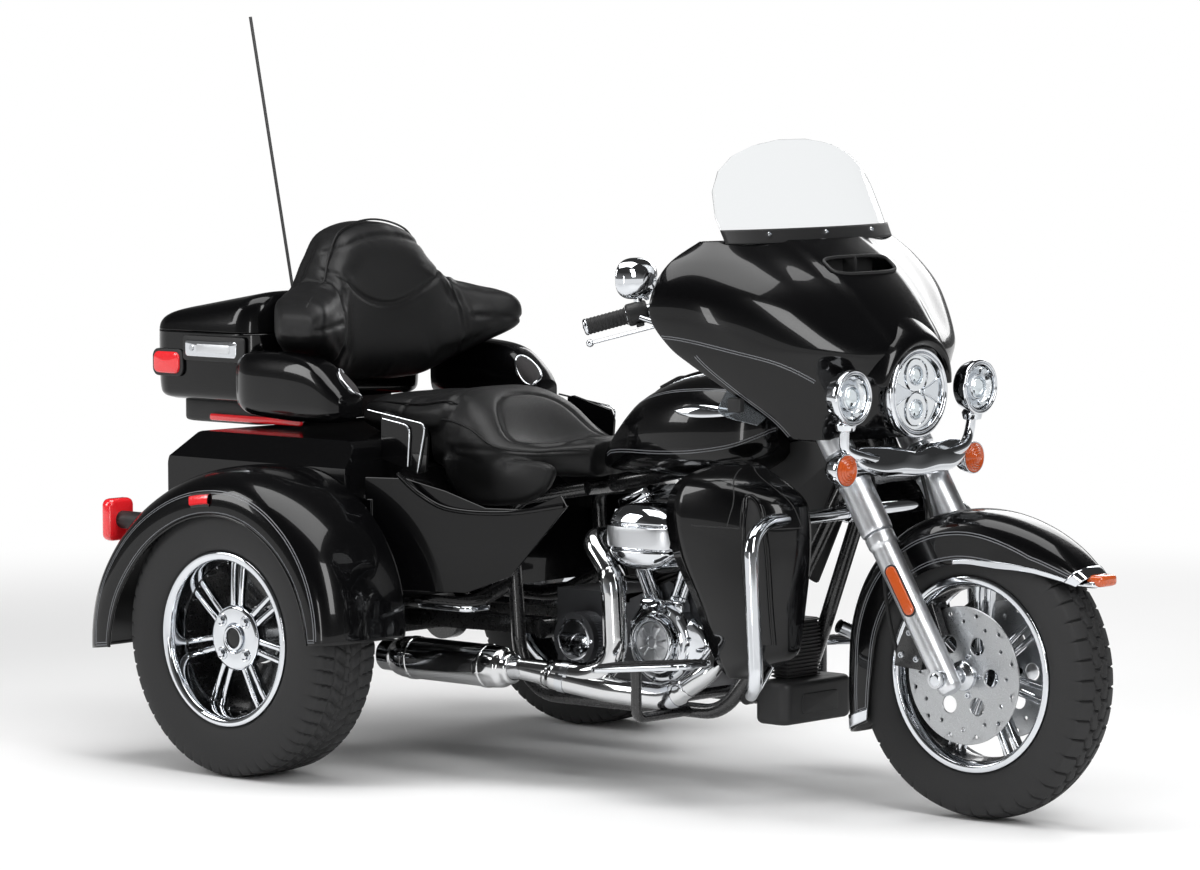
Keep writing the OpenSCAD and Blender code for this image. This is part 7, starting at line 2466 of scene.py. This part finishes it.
def aim(obj, at, ahead, skyward, roll=0.0):
    """Puts an object into the scene at a place, looking along ahead, rolled about that line."""
    right = unit(np.cross(ahead, skyward))
    up = np.cross(right, ahead)
    c, s = np.cos(roll), np.sin(roll)
    right, up = right * c + up * s, -right * s + up * c
    p = (np.asarray(at, float) + [REAR_X, 0, 0]) * MM
    obj.matrix_world = Matrix(
        [[right[i], up[i], -ahead[i], p[i]] for i in range(3)] + [[0, 0, 0, 1]]
    )
    bpy.context.scene.collection.objects.link(obj)


class TRIKE_OT_stage(Operator):
    """Pale floor, soft studio lights and the camera at the photograph's angle"""

    bl_idname = "trike.stage"
    bl_label = "Stage"

    def execute(self, context):
        scene = context.scene
        colours, sizes = scene.trike_colours, scene.trike_sizes
        scene.view_settings.view_transform = "Standard"
        self.floor(tuple(colours.floor))
        self.world(scene)
        self.lights()
        ahead = np.array(
            [
                np.cos(CAMERA_PITCH) * np.cos(CAMERA_YAW),
                np.cos(CAMERA_PITCH) * np.sin(CAMERA_YAW),
                np.sin(CAMERA_PITCH),
            ]
        )
        data = bpy.data.cameras.new("Camera")
        data.lens, data.sensor_width, data.clip_end = sizes.lens, 36.0, 200.0
        data.dof.use_dof = False
        camera = bpy.data.objects.new("Camera", data)
        aim(camera, CAMERA_AT, ahead, [0, 0, 1], CAMERA_ROLL)
        scene.camera = camera
        return {"FINISHED"}

    def floor(self, colour):
        """Wide disc at the ground whose colour fades to plain white away from the vehicle."""
        r = np.array([0.001, 1500, 3000, 6000, 12000, 40000])
        P = np.stack(
            [
                r[:, None] * np.cos(circle(64)),
                r[:, None] * np.sin(circle(64)),
                np.zeros((len(r), 64)),
            ],
            -1,
        )
        V, q, _ = grid(P, (False, True))
        mesh = bpy.data.meshes.new("Floor")
        mesh.from_pydata((V * MM).tolist(), [], q[:, ::-1].tolist())
        if mesh.polygons[0].normal.z < 0:
            mesh.flip_normals()
        obj = bpy.data.objects.new("Floor", mesh)
        bpy.context.scene.collection.objects.link(obj)
        mat = bpy.data.materials.new("studio_floor")
        tree = clean_tree(mat)
        # Painted concrete: a matt white with a faint mottle; far off it is plain white
        place = add(tree, "ShaderNodeTexCoord")
        noise = add(
            tree, "ShaderNodeTexNoise", {"Vector": place.outputs["Object"]}, Scale=3.0, Detail=3.0
        )
        rough = add(
            tree, "ShaderNodeMapRange", {"Value": noise.outputs[0]}, To_Min=0.5, To_Max=0.6
        )
        body = add(
            tree, "ShaderNodeBsdfPrincipled", {"Roughness": rough.outputs[0]}, Base_Color=colour,
            Specular_IOR_Level=0.25
        )
        far = add(tree, "ShaderNodeVectorMath", {0: place.outputs["Object"]}, operation="LENGTH")
        fade = add(
            tree, "ShaderNodeMapRange", {"Value": far.outputs["Value"]}, From_Min=2.2,
            From_Max=5.5, interpolation_type="SMOOTHSTEP"
        )
        path = add(tree, "ShaderNodeLightPath")
        seen = maths(tree, "MAXIMUM", path.outputs["Is Camera Ray"], path.outputs["Is Glossy Ray"])
        seen = maths(tree, "MAXIMUM", seen, path.outputs["Is Transmission Ray"])
        share = maths(tree, "MULTIPLY", fade.outputs[0], seen)
        white = add(tree, "ShaderNodeEmission", Color=(1, 1, 1, 1), Strength=1.0)
        both = add(
            tree, "ShaderNodeMixShader", {0: share, 1: body.outputs[0], 2: white.outputs[0]}
        )
        add(tree, "ShaderNodeOutputMaterial", {"Surface": both.outputs[0]})
        mesh.materials.append(mat)

    def world(self, scene):
        """White to the camera and through glass; for reflections a studio that is pale near
        the floor and dark overhead; a plain even light for matt surfaces."""
        world = bpy.data.worlds.new("Studio")
        scene.world = world
        tree = clean_tree(world)
        place = add(tree, "ShaderNodeTexCoord")
        axes = add(tree, "ShaderNodeSeparateXYZ", {0: place.outputs["Generated"]})
        high = add(
            tree, "ShaderNodeMapRange", {"Value": axes.outputs["Z"]}, From_Min=0.0, From_Max=0.4,
            To_Min=0.2, To_Max=0.04
        )
        path = add(tree, "ShaderNodeLightPath")
        through = path.outputs["Is Transmission Ray"]
        seen = maths(tree, "MAXIMUM", path.outputs["Is Camera Ray"], through)
        gloss = maths(tree, "MULTIPLY", path.outputs["Is Glossy Ray"], high.outputs[0])
        plain = maths(tree, "MULTIPLY", path.outputs["Is Diffuse Ray"], EVEN_LIGHT)
        total = maths(tree, "MAXIMUM", maths(tree, "MAXIMUM", seen, gloss), plain)
        back = add(tree, "ShaderNodeBackground", {"Strength": total}, Color=(1, 1, 1, 1))
        add(tree, "ShaderNodeOutputWorld", {"Surface": back.outputs[0]})

    def lights(self):
        """Soft boxes: each a place, a point it looks at, its width, height and power."""
        boxes = [
            ((600, -500, 4200), (300, 0, 500), 4.2, 2.6, 150),
            ((4200, -1200, 2600), (700, 0, 800), 1.0, 2.6, 70),
            ((-2600, -3400, 2600), (-300, -300, 600), 1.2, 2.4, 70),
            ((-600, 4200, 2600), (200, 0, 700), 3.0, 1.6, 60),
            ((2600, -4600, 900), (900, 0, 500), 0.5, 1.6, 22),
        ]
        for k, (at, to, w, h, power) in enumerate(boxes):
            data = bpy.data.lights.new(f"Softbox{k}", "AREA")
            data.shape, data.size, data.size_y, data.energy = "RECTANGLE", w, h, power
            lamp = bpy.data.objects.new(f"Softbox{k}", data)
            ahead = unit(np.array(to, float) - np.array(at, float))
            aim(lamp, at, ahead, [0.01, 0, 1])


STEPS = (
    TRIKE_OT_finish,
    TRIKE_OT_wheels,
    TRIKE_OT_fork,
    TRIKE_OT_fairing,
    TRIKE_OT_tank,
    TRIKE_OT_seat,
    TRIKE_OT_trunk,
    TRIKE_OT_rear,
    TRIKE_OT_engine,
    TRIKE_OT_exhaust,
    TRIKE_OT_lower,
    TRIKE_OT_frame,
    TRIKE_OT_bars,
    TRIKE_OT_stage,
)


class TRIKE_PT_panel(Panel):
    """Lists the steps that dress the vehicle"""

    bl_label = "Touring Trike"
    bl_space_type = "VIEW_3D"
    bl_region_type = "UI"
    bl_category = "Trike"

    def draw(self, context):
        for step_class in STEPS:
            self.layout.operator(step_class.bl_idname)


CLASSES = (TrikeSizes, TrikeColours) + STEPS + (TRIKE_PT_panel,)


def register():
    """Adds the classes and the scene's properties."""
    for c in CLASSES:
        bpy.utils.register_class(c)
    bpy.types.Scene.trike_sizes = PointerProperty(type=TrikeSizes)
    bpy.types.Scene.trike_colours = PointerProperty(type=TrikeColours)


def unregister():
    """Takes them away again."""
    del bpy.types.Scene.trike_sizes, bpy.types.Scene.trike_colours
    for c in reversed(CLASSES):
        bpy.utils.unregister_class(c)


def main():
    """Runs every step in order."""
    register()
    for step_class in STEPS:
        group, name = step_class.bl_idname.split(".")
        getattr(getattr(bpy.ops, group), name)()


if __name__ == "__main__":
    main()
